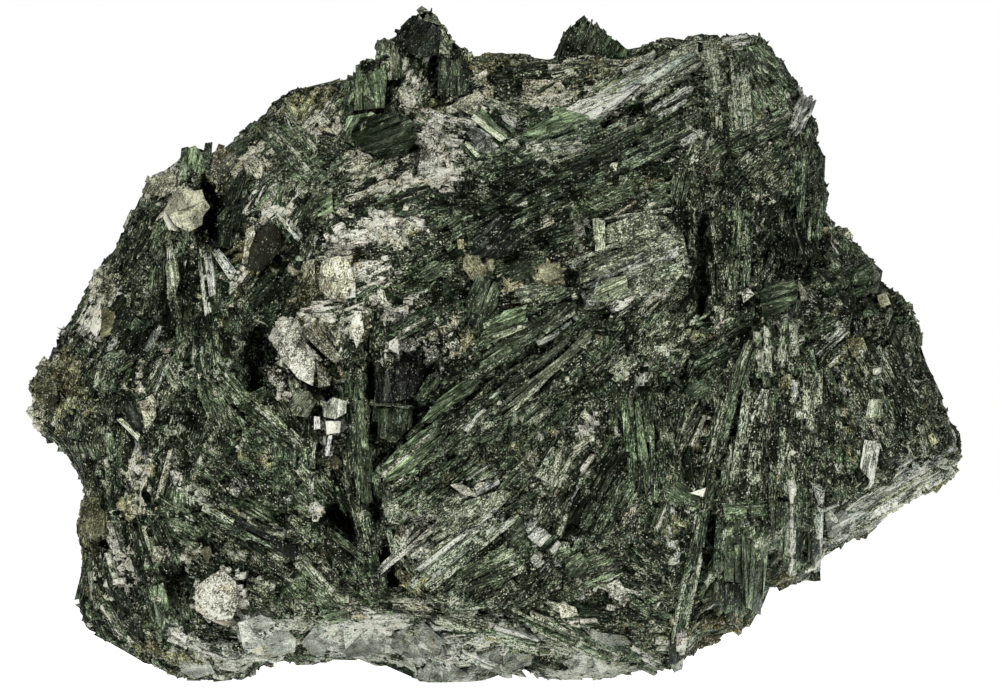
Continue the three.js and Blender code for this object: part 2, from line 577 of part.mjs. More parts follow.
function cracks() {
  return [
    ...cutCrack({ along: [[-16.2, 44.8], [-15.6, 34.0], [-15.4, 23.2], [-14.4, 18.6], [-12.4, 11.0]] }),
    ...cutCrack({ along: [[30.0, 79.0], [29.8, 62.0]], width: 1.2 }),
    ...cutCrack({ along: [[26.6, 60.0], [26.4, 46.4]], width: 1.6 }),
    ...cutCrack({ along: [[31.4, 39.0], [27.4, 23.4], [23.6, 6.0]], width: 0.9 }),
    ...cutCrack({ along: [[-24.4, 45.2], [-19.6, 38.6]], width: 1.2, depth: 4.4 }),
    ...cutCrack({ along: [[-30.2, 45.6], [-30.8, 37.0]], width: 2.6, depth: 4.4 }),
    ...cutCrack({ along: [[-36.8, 64.0], [-35.6, 56.4]], width: 1.8, depth: 4.0 }),
    ...cutCrack({ along: [[9.8, 6.9], [14.2, 4.4]], width: 1.4 }),
    ...cutCrack({ along: [[-21.6, 22.8], [-18.0, 18.4]], width: 2.2 }),
  ];
}

// ---- The back and the side walls ---------------------------------------------------------------------

// Laths and lumps that crop out all over the back and the side walls.
function strewnGrowth() {
  const solids = [];
  for (let i = 0; i < STREWN_COUNT; i += 1) {
    const lean = -0.45 + (1.42 * (i + 0.5)) / STREWN_COUNT;
    const turn = i * GOLDEN_SHARE * 2 * Math.PI;
    const ring = Math.sqrt(1 - lean ** 2);
    const away = new THREE.Vector3(ring * Math.cos(turn), lean, ring * Math.sin(turn));
    const origin = new THREE.Vector3(MIDDLE.x, 0, MIDDLE.y).addScaledVector(away, FAR_OUT);
    const hit = touch(origin, away.clone().negate());
    if (Math.abs(hit.point.y) < RIM_HALF_WIDTH || hit.point.z < LOWEST_GROWTH) continue;
    solids.push(...(i % 5 === 4 ? [strewnLump(hit)] : strewnLaths(hit, 1 + (i % 2))));
  }
  return solids;
}

function strewnLump({ point, facing }) {
  const half = between(2.6, 4.4);
  const halves = [half * between(0.8, 1.2), half * between(0.8, 1.2), half * between(0.8, 1.2)];
  return makeLump({ centre: point.addScaledVector(facing, 1.2 - half * 0.7), halves });
}

function strewnLaths({ point, facing }, laths) {
  const run = facing.clone().cross(new THREE.Vector3(0.3, 0.2, 1)).normalize();
  run.applyAxisAngle(facing, between(-1, 1));
  const across = run.clone().cross(facing);
  const width = between(3.2, 5.4);
  const half = between(5, 10);
  const crystals = [];
  for (let i = 0; i < laths; i += 1) {
    const middle = point.clone().addScaledVector(across, (i - (laths - 1) / 2) * width * 0.85);
    middle.addScaledVector(facing, between(0.4, 1.4) - STREWN_THICK / 2);
    const start = middle.clone().addScaledVector(run, -half * between(0.7, 1));
    const end = middle.clone().addScaledVector(run, half * between(0.7, 1));
    const broken = { sides: 4, slant: between(-0.6, 0.6), roll: between(-0.4, 0.4) };
    crystals.push(makeCrystal({ start, end, outward: facing, width, thick: STREWN_THICK, ...broken }));
  }
  return crystals;
}

// Everything below the resting plane is cut away.
function belowGround() {
  const slab = new THREE.BoxGeometry(SLAB_SIZE, SLAB_SIZE, SLAB_THICK);
  slab.translate(0, 0, -SLAB_THICK / 2);
  return solidFrom(slab);
}

function makeRock() {
  const showyCrystals = [
    ...UPPER_LEFT, ...UPPER_MIDDLE, ...UPPER_RIGHT, ...LEFT, ...CENTRE, ...RIGHT, ...BOTTOM,
  ];
  const grown = [
    brokenSolid,
    ...peaks(),
    ...showyCrystals.flatMap((crystal) => layLaths({ laths: 1, ...crystal })),
    ...LUMPS.map(layLump),
    ...strewnGrowth(),
  ];
  return wasm.Manifold.union(grown).subtract(wasm.Manifold.union([...cracks(), belowGround()]));
}

// The triangles of the outer skin. Gaps that grown crystals close off inside the rock are left solid.
function outerSkin({ vertProperties, triVerts, numProp }) {
  const leader = Uint32Array.from({ length: vertProperties.length / numProp }, (_, i) => i);
  const lead = (i) => {
    while (leader[i] !== i) {
      leader[i] = leader[leader[i]];
      i = leader[i];
    }
    return i;
  };
  for (let i = 0; i < triVerts.length; i += 3) {
    leader[lead(triVerts[i + 1])] = lead(triVerts[i]);
    leader[lead(triVerts[i + 2])] = lead(triVerts[i]);
  }
  const counts = new Map();
  for (const corner of triVerts) counts.set(lead(corner), (counts.get(lead(corner)) ?? 0) + 1);
  const skin = [...counts].reduce((most, next) => (next[1] > most[1] ? next : most))[0];
  return triVerts.filter((_, i) => lead(triVerts[i - (i % 3)]) === skin);
}

function geometryOf(solid) {
  const mesh = solid.getMesh();
  const geometry = new THREE.BufferGeometry();
  geometry.setAttribute("position", new THREE.BufferAttribute(mesh.vertProperties, mesh.numProp));
  geometry.setIndex(new THREE.BufferAttribute(outerSkin(mesh), 1));
  const skin = mergeVertices(geometry, 1e-5);
  skin.computeVertexNormals();
  return skin;
}

const brokenSolid = makeBlock().subtract(
  wasm.Manifold.union([...WALL_BREAKS.map(wallBreak), ...BACK_BREAKS.map(backBreak)]),
);
const brokenBlock = new THREE.Mesh(geometryOf(brokenSolid));

const greenRock = new THREE.MeshStandardMaterial({ color: 0x39463a, roughness: 0.62, metalness: 0 });
const rock = new THREE.Mesh(geometryOf(makeRock()), greenRock);
rock.name = "smaragdite_rock";
rock.geometry.computeBoundingBox();
const middle = rock.geometry.boundingBox.getCenter(new THREE.Vector3());
rock.position.set(-middle.x, -middle.y, 0);

const specimen = new THREE.Group();
specimen.name = "smaragdite";
specimen.add(rock);

export default specimen;
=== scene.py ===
"""A hand specimen of smaragdite, dressed for looks.

The rock is one body. Its dark ground mass carries cleavage laths of green amphibole, granular feldspar,
glassy crystals and a few cleavage flakes whose bright reflection is painted into their pale colour. Lengths
in this script are millimetres and become metres as each mesh is made. X runs along the specimen, Z up and
Y into it, so that the showy face looks along -Y.
"""

import logging
import math
from dataclasses import dataclass, field
from enum import Enum

import bpy
import numpy as np
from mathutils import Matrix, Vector
from mathutils.bvhtree import BVHTree
from mathutils.geometry import tessellate_polygon
from mathutils.kdtree import KDTree


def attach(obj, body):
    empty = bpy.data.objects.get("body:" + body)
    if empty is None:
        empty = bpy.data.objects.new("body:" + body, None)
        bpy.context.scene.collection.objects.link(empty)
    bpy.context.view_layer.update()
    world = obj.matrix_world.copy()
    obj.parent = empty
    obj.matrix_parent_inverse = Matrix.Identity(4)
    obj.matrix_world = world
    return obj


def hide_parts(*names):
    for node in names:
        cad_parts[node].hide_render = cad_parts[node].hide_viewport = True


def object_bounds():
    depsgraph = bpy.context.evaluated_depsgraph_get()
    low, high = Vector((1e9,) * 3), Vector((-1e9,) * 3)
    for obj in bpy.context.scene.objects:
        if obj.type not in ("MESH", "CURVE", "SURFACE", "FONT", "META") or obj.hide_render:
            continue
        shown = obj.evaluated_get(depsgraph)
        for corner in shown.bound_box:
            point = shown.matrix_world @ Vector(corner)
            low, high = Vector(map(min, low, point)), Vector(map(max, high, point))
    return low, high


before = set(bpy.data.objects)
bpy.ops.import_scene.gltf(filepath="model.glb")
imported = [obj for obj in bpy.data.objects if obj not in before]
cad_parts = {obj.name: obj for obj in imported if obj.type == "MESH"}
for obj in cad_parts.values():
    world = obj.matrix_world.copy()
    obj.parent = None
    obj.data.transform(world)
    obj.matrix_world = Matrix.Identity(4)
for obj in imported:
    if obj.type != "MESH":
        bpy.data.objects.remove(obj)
CAD_BOX = [list(corner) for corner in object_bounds()]

LOG = logging.getLogger("smaragdite")
MM = 0.001
NODE = "smaragdite_rock"
SEED = 11
SPARE_MM = 0.9  # how far the dressed rock may stand outside the box of its solid

Place = tuple[float, float]


# ---- Minerals ----------------------------------------------------------------------------------------


class Mineral(Enum):
    """What a spot of the specimen is made of."""

    GROUND = "dark speckled ground mass"
    GREEN = "green amphibole"
    BRIGHT = "bright green amphibole"
    PALE = "pale weathered amphibole"
    DARK = "near-black glassy amphibole"
    FELDSPAR = "white granular feldspar"
    CREAM = "cream granular feldspar"
    BROWN = "brown stained feldspar"
    OCHRE = "yellow weathered mineral"
    GREY = "grey slaty ground mass"
    # Pale cleavage faces: partly their own pale colour, partly a painted reflection of the lamps.
    CLEAVAGE_SHINE = "bright cleavage"


GROUND, GREEN, BRIGHT, PALE, DARK, FELDSPAR, CREAM, BROWN, OCHRE, GREY, CLEAVAGE_SHINE = Mineral


@dataclass(frozen=True)
class Look:
    """How one mineral looks.

    Attributes:
        colour: Linear red, green and blue.
        spread: How far its brightness strays from blade to blade, as a natural logarithm.
        rough: Roughness of its faces.
        fleck: Share of its surface that pale flecks cover.
        streak: Depth of the streaks along its grain, 0 to 1.
        granular: Whether it grows as crumbs and not as blades.
    """

    colour: tuple[float, float, float]
    spread: float
    rough: float
    fleck: float
    streak: float
    granular: bool = False


LOOKS = {
    GROUND: Look((0.0235, 0.0265, 0.017), 0.45, 0.50, 0.60, 0.75),
    GREEN: Look((0.034, 0.045, 0.026), 0.30, 0.40, 0.35, 1.00),
    BRIGHT: Look((0.058, 0.077, 0.043), 0.30, 0.38, 0.32, 1.00),
    PALE: Look((0.125, 0.142, 0.094), 0.32, 0.45, 0.50, 0.90),
    DARK: Look((0.0058, 0.0086, 0.0044), 0.35, 0.28, 0.25, 0.70),
    FELDSPAR: Look((0.400, 0.400, 0.318), 0.35, 0.55, 0.50, 0.30, True),
    CREAM: Look((0.300, 0.300, 0.208), 0.35, 0.55, 0.50, 0.35, True),
    BROWN: Look((0.078, 0.078, 0.040), 0.40, 0.55, 0.45, 0.40, True),
    OCHRE: Look((0.215, 0.208, 0.118), 0.25, 0.60, 0.30, 0.45, True),
    GREY: Look((0.250, 0.268, 0.226), 0.25, 0.55, 0.28, 0.45),
    # The cleavage's pale colour carries a painted reflection as well as its own tone.
    CLEAVAGE_SHINE: Look((0.380, 0.395, 0.330), 0.25, 0.28, 0.45, 1.00),
}

# Minerals that break into blocks rather than fibres.
BLOCKY = (GREY, FELDSPAR, CREAM, BROWN, OCHRE)

# What grows where no patch says otherwise: each mineral and its share.
GROUND_MIX = {
    GROUND: 0.47,
    GREEN: 0.24,
    DARK: 0.14,
    PALE: 0.06,
    BRIGHT: 0.04,
    GREY: 0.02,
    BROWN: 0.01,
    CREAM: 0.01,
}


@dataclass(frozen=True)
class Patch:
    """A spot of the showy face where one mineral shows.

    Attributes:
        mineral: What shows there.
        at: X and Z of its middle.
        size: Its width and height before it is turned.
        turn: Degrees that it is turned, from X towards Z.
        share: How much of the spot the mineral takes.
    """

    mineral: Mineral
    at: Place
    size: Place
    turn: float = 0.0
    share: float = 0.8


@dataclass(frozen=True)
class Run:
    """The way that blades run near a spot of the showy face.

    Attributes:
        at: X and Z of the spot.
        angle: Degrees from X towards Z.
        reach: How far round the spot it holds.
    """

    at: Place
    angle: float
    reach: float


@dataclass(frozen=True)
class Crack:
    """An open joint between blades, as a line across the showy face."""

    along: tuple[Place, ...]
    width: float
    depth: float = 1.6


@dataclass(frozen=True)
class Hollow:
    """A cavity of the showy face, pushed in and darkened inside with painted shade."""

    at: Place
    size: Place
    depth: float


@dataclass(frozen=True)
class Nudge:
    """A stretch of the rim that stands a little off the solid's own line.

    Attributes:
        at: Its middle, as X and Z.
        size: Its width and height.
        shift: How far it moves along X and Z.
    """

    at: Place
    size: Place
    shift: Place


@dataclass(frozen=True)
class Wash:
    """A part of the showy face whose colour is painted paler or darker: painted light along the foot, painted
    shade in its cavities.

    Attributes:
        at: Its middle, as X and Z.
        size: Its width and height.
        tone: How much brighter it is, as a natural logarithm.
    """

    at: Place
    size: Place
    tone: float


@dataclass(frozen=True)
class Sheaf:
    """Blades side by side, fanned out between a first and a last one.

    Attributes:
        mineral: What they are made of.
        first: Start and end of the first blade.
        last: Start and end of the last blade, or nothing where all lie beside the first.
        width: Width of the whole sheaf.
        blades: How many there are.
        rise: How far their crests stand proud.
        also: A second mineral that some of the blades are made of.
    """

    mineral: Mineral
    first: tuple[Place, Place]
    width: float
    blades: int = 2
    rise: float = 0.5
    last: tuple[Place, Place] | None = None
    also: Mineral | None = None


@dataclass(frozen=True)
class Crystal:
    """A crystal of the showy face that has a face of its own.

    Attributes:
        mineral: What it is made of.
        outline: Its corners in turn, as X and Z.
        rise: How far its face stands proud.
        run: Degrees that its grain runs, from X towards Z.
        clean: How clean its face is: 0 for a speckled one, 1 for a clear one.
        crown: How far the middle of its face stands over its corners.
        tone: How bright it is beside its mineral, as a natural logarithm.
    """

    mineral: Mineral
    outline: tuple[Place, ...]
    rise: float
    run: float
    clean: float = 0.4
    crown: float = 0.0
    tone: float = 0.0


PATCHES = (
    # Left edge and upper left.
    Patch(CREAM, (-50.6, 51.0), (3.9, 4.4), 60),
    Patch(FELDSPAR, (-51.0, 46.3), (3.1, 4.6), 70),
    Patch(BROWN, (-56.0, 38.2), (8.0, 7.7), 0, 0.6),
    Patch(CREAM, (-58.8, 34.7), (2.6, 5.9), 0, 0.6),
    Patch(CREAM, (-44.4, 38.2), (4.4, 5.2), 0, 0.4),
    Patch(CREAM, (-45.6, 25.9), (5.9, 7.2), 0, 0.35),
    Patch(FELDSPAR, (-46.3, 26.7), (3.4, 2.3), 0, 0.4),
    Patch(FELDSPAR, (-40.8, 25.7), (1.3, 2.8), 0, 0.7),
    Patch(CREAM, (-43.6, 64.3), (4.6, 4.9), 50),
    Patch(BROWN, (-35.4, 67.2), (4.4, 4.6)),
    Patch(CREAM, (-35.1, 64.8), (3.4, 1.5), -20),
    Patch(FELDSPAR, (-29.2, 60.8), (3.4, 2.6), -25),
    Patch(CREAM, (-30.2, 67.2), (2.3, 3.9)),
    Patch(FELDSPAR, (-31.0, 64.6), (0.8, 2.6), -10, 0.6),
    Patch(FELDSPAR, (-23.0, 71.3), (3.4, 1.8), -20),
    Patch(CREAM, (-25.6, 71.8), (3.4, 1.8), 10),
    Patch(CREAM, (-20.6, 72.1), (3.1, 2.8)),
    Patch(BROWN, (-24.0, 75.1), (9.8, 4.4), 14, 0.5),
    Patch(BROWN, (-30.2, 55.8), (5.2, 6.4), 30),
    Patch(CREAM, (-31.5, 54.9), (1.0, 4.4), -30, 0.7),
    Patch(FELDSPAR, (-32.3, 52.3), (1.5, 2.1), -50, 0.7),
    Patch(BRIGHT, (-41.8, 52.3), (2.6, 9.0), -85, 0.6),
    Patch(BRIGHT, (-41.1, 45.2), (2.8, 4.6), 0, 0.5),
    Patch(BRIGHT, (-26.6, 69.0), (6.4, 6.4), -48, 0.5),
    Patch(BRIGHT, (-22.0, 61.2), (2.6, 3.4), 0, 0.8),
    # Near-black amphibole in the shadowed hollow right of the pale lump: dark mineral, and painted shade.
    Patch(DARK, (-36.9, 60.7), (3.9, 9.0), 0, 0.9),
    Patch(DARK, (-34.1, 60.7), (3.4, 11.6), 72, 0.6),
    Patch(DARK, (-46.6, 57.5), (5.2, 5.2), 50, 0.6),
    Patch(DARK, (-38.2, 49.1), (5.2, 9.0), 0, 0.6),
    Patch(DARK, (-28.2, 52.3), (5.7, 6.4), 0, 0.75),
    Patch(DARK, (-45.3, 45.9), (9.0, 6.4), 0, 0.65),
    Patch(DARK, (-36.3, 43.3), (5.2, 6.4), 0, 0.4),
    Patch(DARK, (-42.1, 33.0), (7.7, 5.2), 0, 0.4),
    Patch(DARK, (-9.6, 83.1), (7.2, 7.7), 0, 0.85),
    Patch(DARK, (-6.6, 78.8), (5.2, 6.4), 0, 0.7),
    Patch(DARK, (11.0, 83.9), (6.4, 4.6), 0, 0.8),
    Patch(DARK, (-22.1, 76.8), (5.2, 3.9), 0, 0.4),
    # Feldspar of the middle left.
    Patch(FELDSPAR, (-25.1, 42.7), (7.2, 9.3), -25, 0.95),
    Patch(CREAM, (-22.5, 45.2), (5.9, 2.8), -35, 0.9),
    Patch(BROWN, (-21.2, 39.8), (3.9, 3.6), 0, 0.8),
    Patch(FELDSPAR, (-18.2, 57.1), (7.7, 3.4), 25, 0.9),
    Patch(FELDSPAR, (-13.7, 58.6), (7.7, 3.4), 15, 0.8),
    Patch(CREAM, (-12.4, 57.1), (6.4, 2.3), 20, 0.7),
    Patch(CREAM, (-20.0, 51.8), (4.4, 5.7), 0, 0.95),
    Patch(FELDSPAR, (-19.7, 49.6), (2.8, 2.6), 0, 0.8),
    Patch(BROWN, (-23.4, 49.8), (3.9, 7.7), 0, 0.6),
    Patch(FELDSPAR, (-17.8, 46.3), (1.7, 4.4), 0, 0.95),
    Patch(FELDSPAR, (-13.1, 42.8), (2.1, 4.4), -10, 0.95),
    Patch(FELDSPAR, (-15.3, 50.7), (5.2, 6.4), 0, 0.45),
    Patch(FELDSPAR, (-8.3, 44.6), (9.8, 4.4), -32, 0.55),
    Patch(CREAM, (-6.5, 45.2), (7.7, 3.1), -32, 0.5),
    Patch(FELDSPAR, (-8.4, 69.7), (2.8, 6.7), -8, 0.95),
    Patch(FELDSPAR, (-6.9, 65.5), (3.9, 3.9), -20, 0.85),
    Patch(FELDSPAR, (-5.3, 68.7), (3.4, 5.2), -30, 0.5),
    Patch(CREAM, (-17.1, 66.1), (4.6, 3.9), 20, 0.95),
    Patch(CREAM, (-14.4, 63.0), (8.2, 2.3), 18, 0.6),
    Patch(DARK, (-14.4, 61.4), (10.3, 2.1), 18, 0.6),
    Patch(CREAM, (-10.9, 76.4), (2.8, 3.6), 0, 0.6),
    Patch(CREAM, (-11.4, 74.6), (1.8, 1.8), 0, 0.9),
    Patch(CREAM, (-19.5, 60.1), (2.3, 1.3), 0, 0.7),
    Patch(GREY, (-9.0, 81.3), (3.6, 2.3), 0, 0.8),
    Patch(CREAM, (-3.2, 74.5), (5.2, 2.8), 20, 0.85),
    Patch(CREAM, (-1.9, 78.0), (2.3, 1.3), 0, 0.8),
    Patch(BROWN, (0.5, 79.0), (9.0, 3.1), -5, 0.6),
    Patch(BROWN, (13.1, 78.1), (3.9, 3.9), 0, 0.7),
    Patch(CREAM, (7.2, 75.3), (6.7, 3.1), 15, 0.8),
    Patch(BROWN, (-8.6, 73.7), (9.0, 0.8), 6, 0.9),
    Patch(CREAM, (18.5, 79.3), (9.0, 1.8), 10, 0.6),
    Patch(GREY, (-1.6, 70.0), (5.2, 4.4), -40, 0.8),
    Patch(BRIGHT, (-2.1, 65.9), (1.8, 2.8), 0, 0.7),
    Patch(BRIGHT, (-17.2, 75.9), (5.7, 8.5), 0, 0.6),
    # Near-black amphibole in the hollow left of the white lump: dark mineral, and painted shade.
    Patch(DARK, (-30.2, 41.4), (3.9, 11.6), 0, 0.9),
    Patch(DARK, (-12.2, 36.5), (7.7, 11.6), 0, 0.85),
    Patch(DARK, (-19.5, 20.8), (5.9, 6.4), 0, 0.85),
    Patch(DARK, (-22.1, 38.2), (5.7, 2.3), -20, 0.8),
    Patch(DARK, (-6.6, 62.0), (7.7, 3.9), 25, 0.5),
    Patch(DARK, (0.1, 56.2), (7.7, 6.4), 20, 0.6),
    Patch(BRIGHT, (-8.6, 52.7), (4.6, 3.4), 20, 0.6),
    Patch(OCHRE, (-4.4, 55.7), (1.0, 1.8), -10, 0.95),
    Patch(OCHRE, (-2.4, 53.4), (3.6, 1.9), -42, 0.95),
    Patch(OCHRE, (1.2, 51.2), (2.3, 1.0), -45, 0.95),
    Patch(OCHRE, (-17.2, 55.6), (1.5, 1.0), 0, 0.9),
    Patch(OCHRE, (-3.8, 43.6), (1.8, 1.3), 0, 0.7),
    Patch(OCHRE, (-21.1, 28.2), (2.8, 1.8), 0, 0.7),
    Patch(BRIGHT, (1.1, 45.5), (5.7, 4.9), 30, 0.75),
    Patch(PALE, (1.7, 45.0), (4.1, 1.5), 22, 0.8),
    Patch(PALE, (5.0, 50.0), (5.4, 2.1), 10, 0.85),
    # Upper right.
    Patch(CLEAVAGE_SHINE, (12.8, 73.3), (8.5, 3.1), 27, 0.75),
    Patch(PALE, (17.2, 77.2), (10.3, 3.9), 25, 0.75),
    Patch(PALE, (22.6, 79.0), (8.5, 3.4), 22, 0.75),
    Patch(GREEN, (8.2, 71.3), (7.0, 2.6), 20, 0.8),
    Patch(PALE, (9.5, 68.4), (7.7, 1.8), 15, 0.6),
    Patch(PALE, (16.8, 54.3), (10.8, 10.1), 20, 0.85),
    Patch(GREY, (13.3, 50.4), (5.2, 3.9), 25, 0.7),
    Patch(FELDSPAR, (20.4, 60.5), (2.1, 1.3), 20, 0.7),
    Patch(FELDSPAR, (21.2, 50.0), (2.1, 2.6), 40, 0.8),
    Patch(FELDSPAR, (9.5, 57.9), (2.3, 1.3), -15, 0.9),
    Patch(BRIGHT, (9.0, 60.1), (2.3, 3.9), 30, 0.8),
    Patch(BRIGHT, (13.3, 62.0), (7.7, 5.2), 10, 0.6),
    Patch(PALE, (17.5, 63.3), (6.4, 3.1), 20, 0.6),
    Patch(BRIGHT, (21.1, 63.9), (3.9, 3.1), 30, 0.6),
    Patch(OCHRE, (6.8, 52.6), (3.4, 2.8), 0, 0.95),
    Patch(PALE, (26.2, 69.7), (3.9, 6.4), 0, 0.4),
    Patch(PALE, (27.9, 78.1), (2.3, 10.3), 0, 0.7),
    Patch(CLEAVAGE_SHINE, (30.5, 82.4), (2.1, 1.5), 20, 0.95),
    Patch(BRIGHT, (34.6, 77.5), (7.7, 8.5), -30, 0.6),
    Patch(BRIGHT, (31.1, 71.0), (3.9, 7.7), 0, 0.5),
    Patch(BRIGHT, (39.1, 65.9), (3.9, 11.6), 0, 0.45),
    Patch(BRIGHT, (31.4, 55.6), (3.9, 10.3), 0, 0.5),
    Patch(GREY, (39.1, 73.3), (2.3, 4.6), -28, 0.8),
    Patch(DARK, (35.3, 68.4), (6.4, 5.2), 0, 0.5),
    Patch(DARK, (26.2, 52.3), (2.8, 14.2), 0, 0.85),
    Patch(DARK, (23.7, 70.6), (2.6, 2.6), 0, 0.9),
    Patch(DARK, (35.9, 56.8), (7.7, 11.6), 0, 0.6),
    Patch(DARK, (40.7, 54.9), (5.2, 7.7), 0, 0.5),
    Patch(DARK, (5.6, 65.9), (11.6, 5.9), 24, 0.75),
    Patch(DARK, (2.0, 60.1), (6.4, 5.2), 24, 0.6),
    # Near-black amphibole in the slot beside the pale block: dark mineral, and painted shade.
    Patch(DARK, (23.0, 58.8), (2.3, 9.0), 0, 0.7),
    Patch(DARK, (17.0, 45.9), (6.4, 3.9), 0, 0.6),
    # Right.
    Patch(FELDSPAR, (31.6, 50.1), (2.3, 1.8), 25, 0.9),
    Patch(DARK, (45.6, 52.3), (8.5, 7.2), 0, 0.8),
    Patch(GREEN, (45.6, 53.0), (5.2, 5.7), 0, 0.6),
    Patch(OCHRE, (49.7, 49.2), (1.5, 1.5), 20, 0.95),
    Patch(BROWN, (45.7, 43.4), (3.1, 2.6), 0, 0.85),
    Patch(GREY, (43.2, 44.0), (2.6, 3.6), -40, 0.7),
    Patch(DARK, (49.4, 42.4), (5.7, 3.9), 0, 0.85),
    Patch(PALE, (47.6, 35.2), (3.6, 5.2), -10, 0.8),
    Patch(BRIGHT, (47.4, 33.1), (1.8, 1.5), 0, 0.9),
    Patch(PALE, (52.7, 29.1), (5.2, 2.6), 25, 0.6),
    Patch(GREY, (51.1, 23.3), (16.8, 4.9), 32, 0.75),
    Patch(PALE, (46.6, 20.8), (7.7, 5.2), 32, 0.6),
    Patch(OCHRE, (51.6, 22.8), (1.8, 0.8), 32, 0.9),
    Patch(OCHRE, (56.0, 31.5), (1.3, 1.2), 0, 0.9),
    Patch(BROWN, (58.5, 27.8), (2.6, 3.9), 0, 0.6),
    Patch(GREY, (43.5, 21.0), (3.9, 4.4), 0, 0.6),
    Patch(PALE, (35.9, 42.7), (10.3, 5.7), 0, 0.3),
    Patch(BRIGHT, (31.1, 40.3), (2.3, 7.7), 0, 0.6),
    Patch(FELDSPAR, (27.8, 35.3), (1.3, 1.3), 0, 0.9),
    Patch(FELDSPAR, (27.0, 29.5), (0.8, 3.6), 0, 0.7),
    Patch(FELDSPAR, (25.8, 24.7), (1.8, 1.5), 30, 0.95),
    Patch(CREAM, (21.7, 21.9), (1.8, 1.5), 0, 0.85),
    Patch(BROWN, (22.6, 20.2), (2.8, 1.5), 20, 0.6),
    Patch(GREEN, (29.5, 15.6), (6.4, 11.6), 0, 0.6),
    Patch(BRIGHT, (31.6, 15.6), (3.9, 10.3), 0, 0.55),
    Patch(BROWN, (38.5, 13.7), (6.4, 3.1), 10, 0.75),
    Patch(CREAM, (39.4, 14.6), (3.6, 1.2), 0, 0.7),
    Patch(BROWN, (28.8, 6.6), (7.2, 4.4), 0, 0.7),
    Patch(BRIGHT, (17.7, 32.4), (4.4, 10.3), 0, 0.5),
    Patch(DARK, (21.1, 31.1), (4.4, 7.7), 0, 0.5),
    # Middle of the lower half.
    Patch(CREAM, (4.6, 27.2), (5.9, 3.9), -40, 0.55),
    Patch(OCHRE, (7.0, 32.4), (2.1, 0.9), -10, 0.7),
    Patch(FELDSPAR, (11.5, 33.1), (1.8, 3.4), -40, 0.7),
    Patch(PALE, (8.2, 28.2), (2.6, 5.7), -10, 0.6),
    Patch(FELDSPAR, (-4.3, 25.3), (2.8, 1.2), -30, 0.95),
    Patch(PALE, (-5.3, 20.5), (12.9, 5.9), 35, 0.8),
    Patch(FELDSPAR, (-9.2, 18.2), (5.7, 5.2), 0, 0.35),
    Patch(FELDSPAR, (-10.2, 14.6), (1.0, 2.3), 0, 0.8),
    Patch(BRIGHT, (-1.6, 15.6), (2.6, 2.1), 0, 0.85),
    Patch(BRIGHT, (2.4, 19.5), (3.9, 4.6), 30, 0.5),
    Patch(DARK, (-0.1, 17.5), (2.8, 3.6), 0, 0.7),
    Patch(GREY, (7.7, 17.1), (6.4, 3.9), 20, 0.6),
    Patch(BRIGHT, (10.0, 14.3), (4.4, 5.2), 0, 0.6),
    Patch(DARK, (12.8, 10.4), (3.4, 4.4), 0, 0.8),
    Patch(FELDSPAR, (15.4, 11.7), (2.8, 3.4), 0, 0.7),
    Patch(CREAM, (9.0, 8.9), (4.4, 1.8), -15, 0.7),
    Patch(BROWN, (-10.5, 12.4), (5.2, 1.3), -8, 0.6),
    Patch(PALE, (-13.1, 23.3), (2.6, 4.4), 0, 0.5),
    Patch(BRIGHT, (-27.5, 23.8), (4.9, 5.7), 0, 0.75),
    Patch(BRIGHT, (-32.8, 35.2), (7.7, 5.2), -45, 0.55),
    Patch(PALE, (-29.5, 33.0), (7.7, 2.3), -42, 0.5),
    Patch(BRIGHT, (-38.2, 20.2), (4.4, 3.6), 0, 0.55),
    Patch(BRIGHT, (-22.1, 13.7), (6.4, 5.7), -40, 0.5),
    Patch(BRIGHT, (-17.6, 11.7), (3.9, 5.2), 0, 0.5),
    Patch(CREAM, (-38.0, 16.9), (1.5, 3.4), 10, 0.6),
    Patch(CREAM, (-30.6, 21.1), (1.5, 1.3), 0, 0.9),
    Patch(FELDSPAR, (-23.0, 22.3), (1.3, 1.5), 0, 0.85),
    Patch(FELDSPAR, (-34.0, 25.9), (2.6, 2.3), 30, 0.6),
    Patch(PALE, (-23.8, 27.2), (1.3, 4.4), 0, 0.6),
    # Bottom and lower left.
    Patch(FELDSPAR, (-35.9, 11.3), (5.9, 6.4), 0, 0.98),
    Patch(DARK, (-38.5, 11.7), (6.4, 7.7), 0, 0.6),
    Patch(FELDSPAR, (-40.4, 5.8), (4.6, 1.8), -35, 0.95),
    Patch(FELDSPAR, (-48.3, 14.3), (3.9, 5.7), 10, 0.6),
    Patch(DARK, (-48.8, 13.7), (5.7, 7.2), 0, 0.4),
    Patch(BROWN, (-52.0, 20.4), (4.1, 5.9), 0, 0.9),
    Patch(BROWN, (-52.8, 16.6), (2.1, 2.8), 0, 0.9),
    Patch(OCHRE, (-47.2, 22.3), (1.5, 3.1), 0, 0.6),
    Patch(CREAM, (-43.1, 16.6), (1.3, 1.8), 0, 0.8),
    Patch(GREY, (-29.5, 6.1), (9.0, 5.2), 5, 0.9),
    Patch(PALE, (-22.1, 7.2), (5.7, 3.9), 0, 0.6),
    Patch(GREY, (-15.7, 5.9), (14.2, 6.4), 0, 0.85),
    Patch(FELDSPAR, (-18.6, 8.6), (1.8, 2.1), 0, 0.8),
    Patch(CREAM, (-18.9, 9.2), (1.3, 1.8), 0, 0.8),
    Patch(GREY, (-5.3, 4.3), (10.3, 5.7), 0, 0.8),
    Patch(GREY, (-35.6, 2.7), (11.6, 3.4), 0, 0.7),
    Patch(BROWN, (-42.7, 4.0), (6.4, 2.1), -20, 0.6),
    Patch(GREY, (7.5, 5.3), (15.5, 3.4), -22, 0.8),
    Patch(PALE, (11.4, 4.0), (15.5, 3.4), -22, 0.7),
    Patch(DARK, (6.3, 1.7), (5.2, 2.1), -20, 0.7),
    Patch(PALE, (20.4, 3.4), (3.9, 5.2), 0, 0.6),
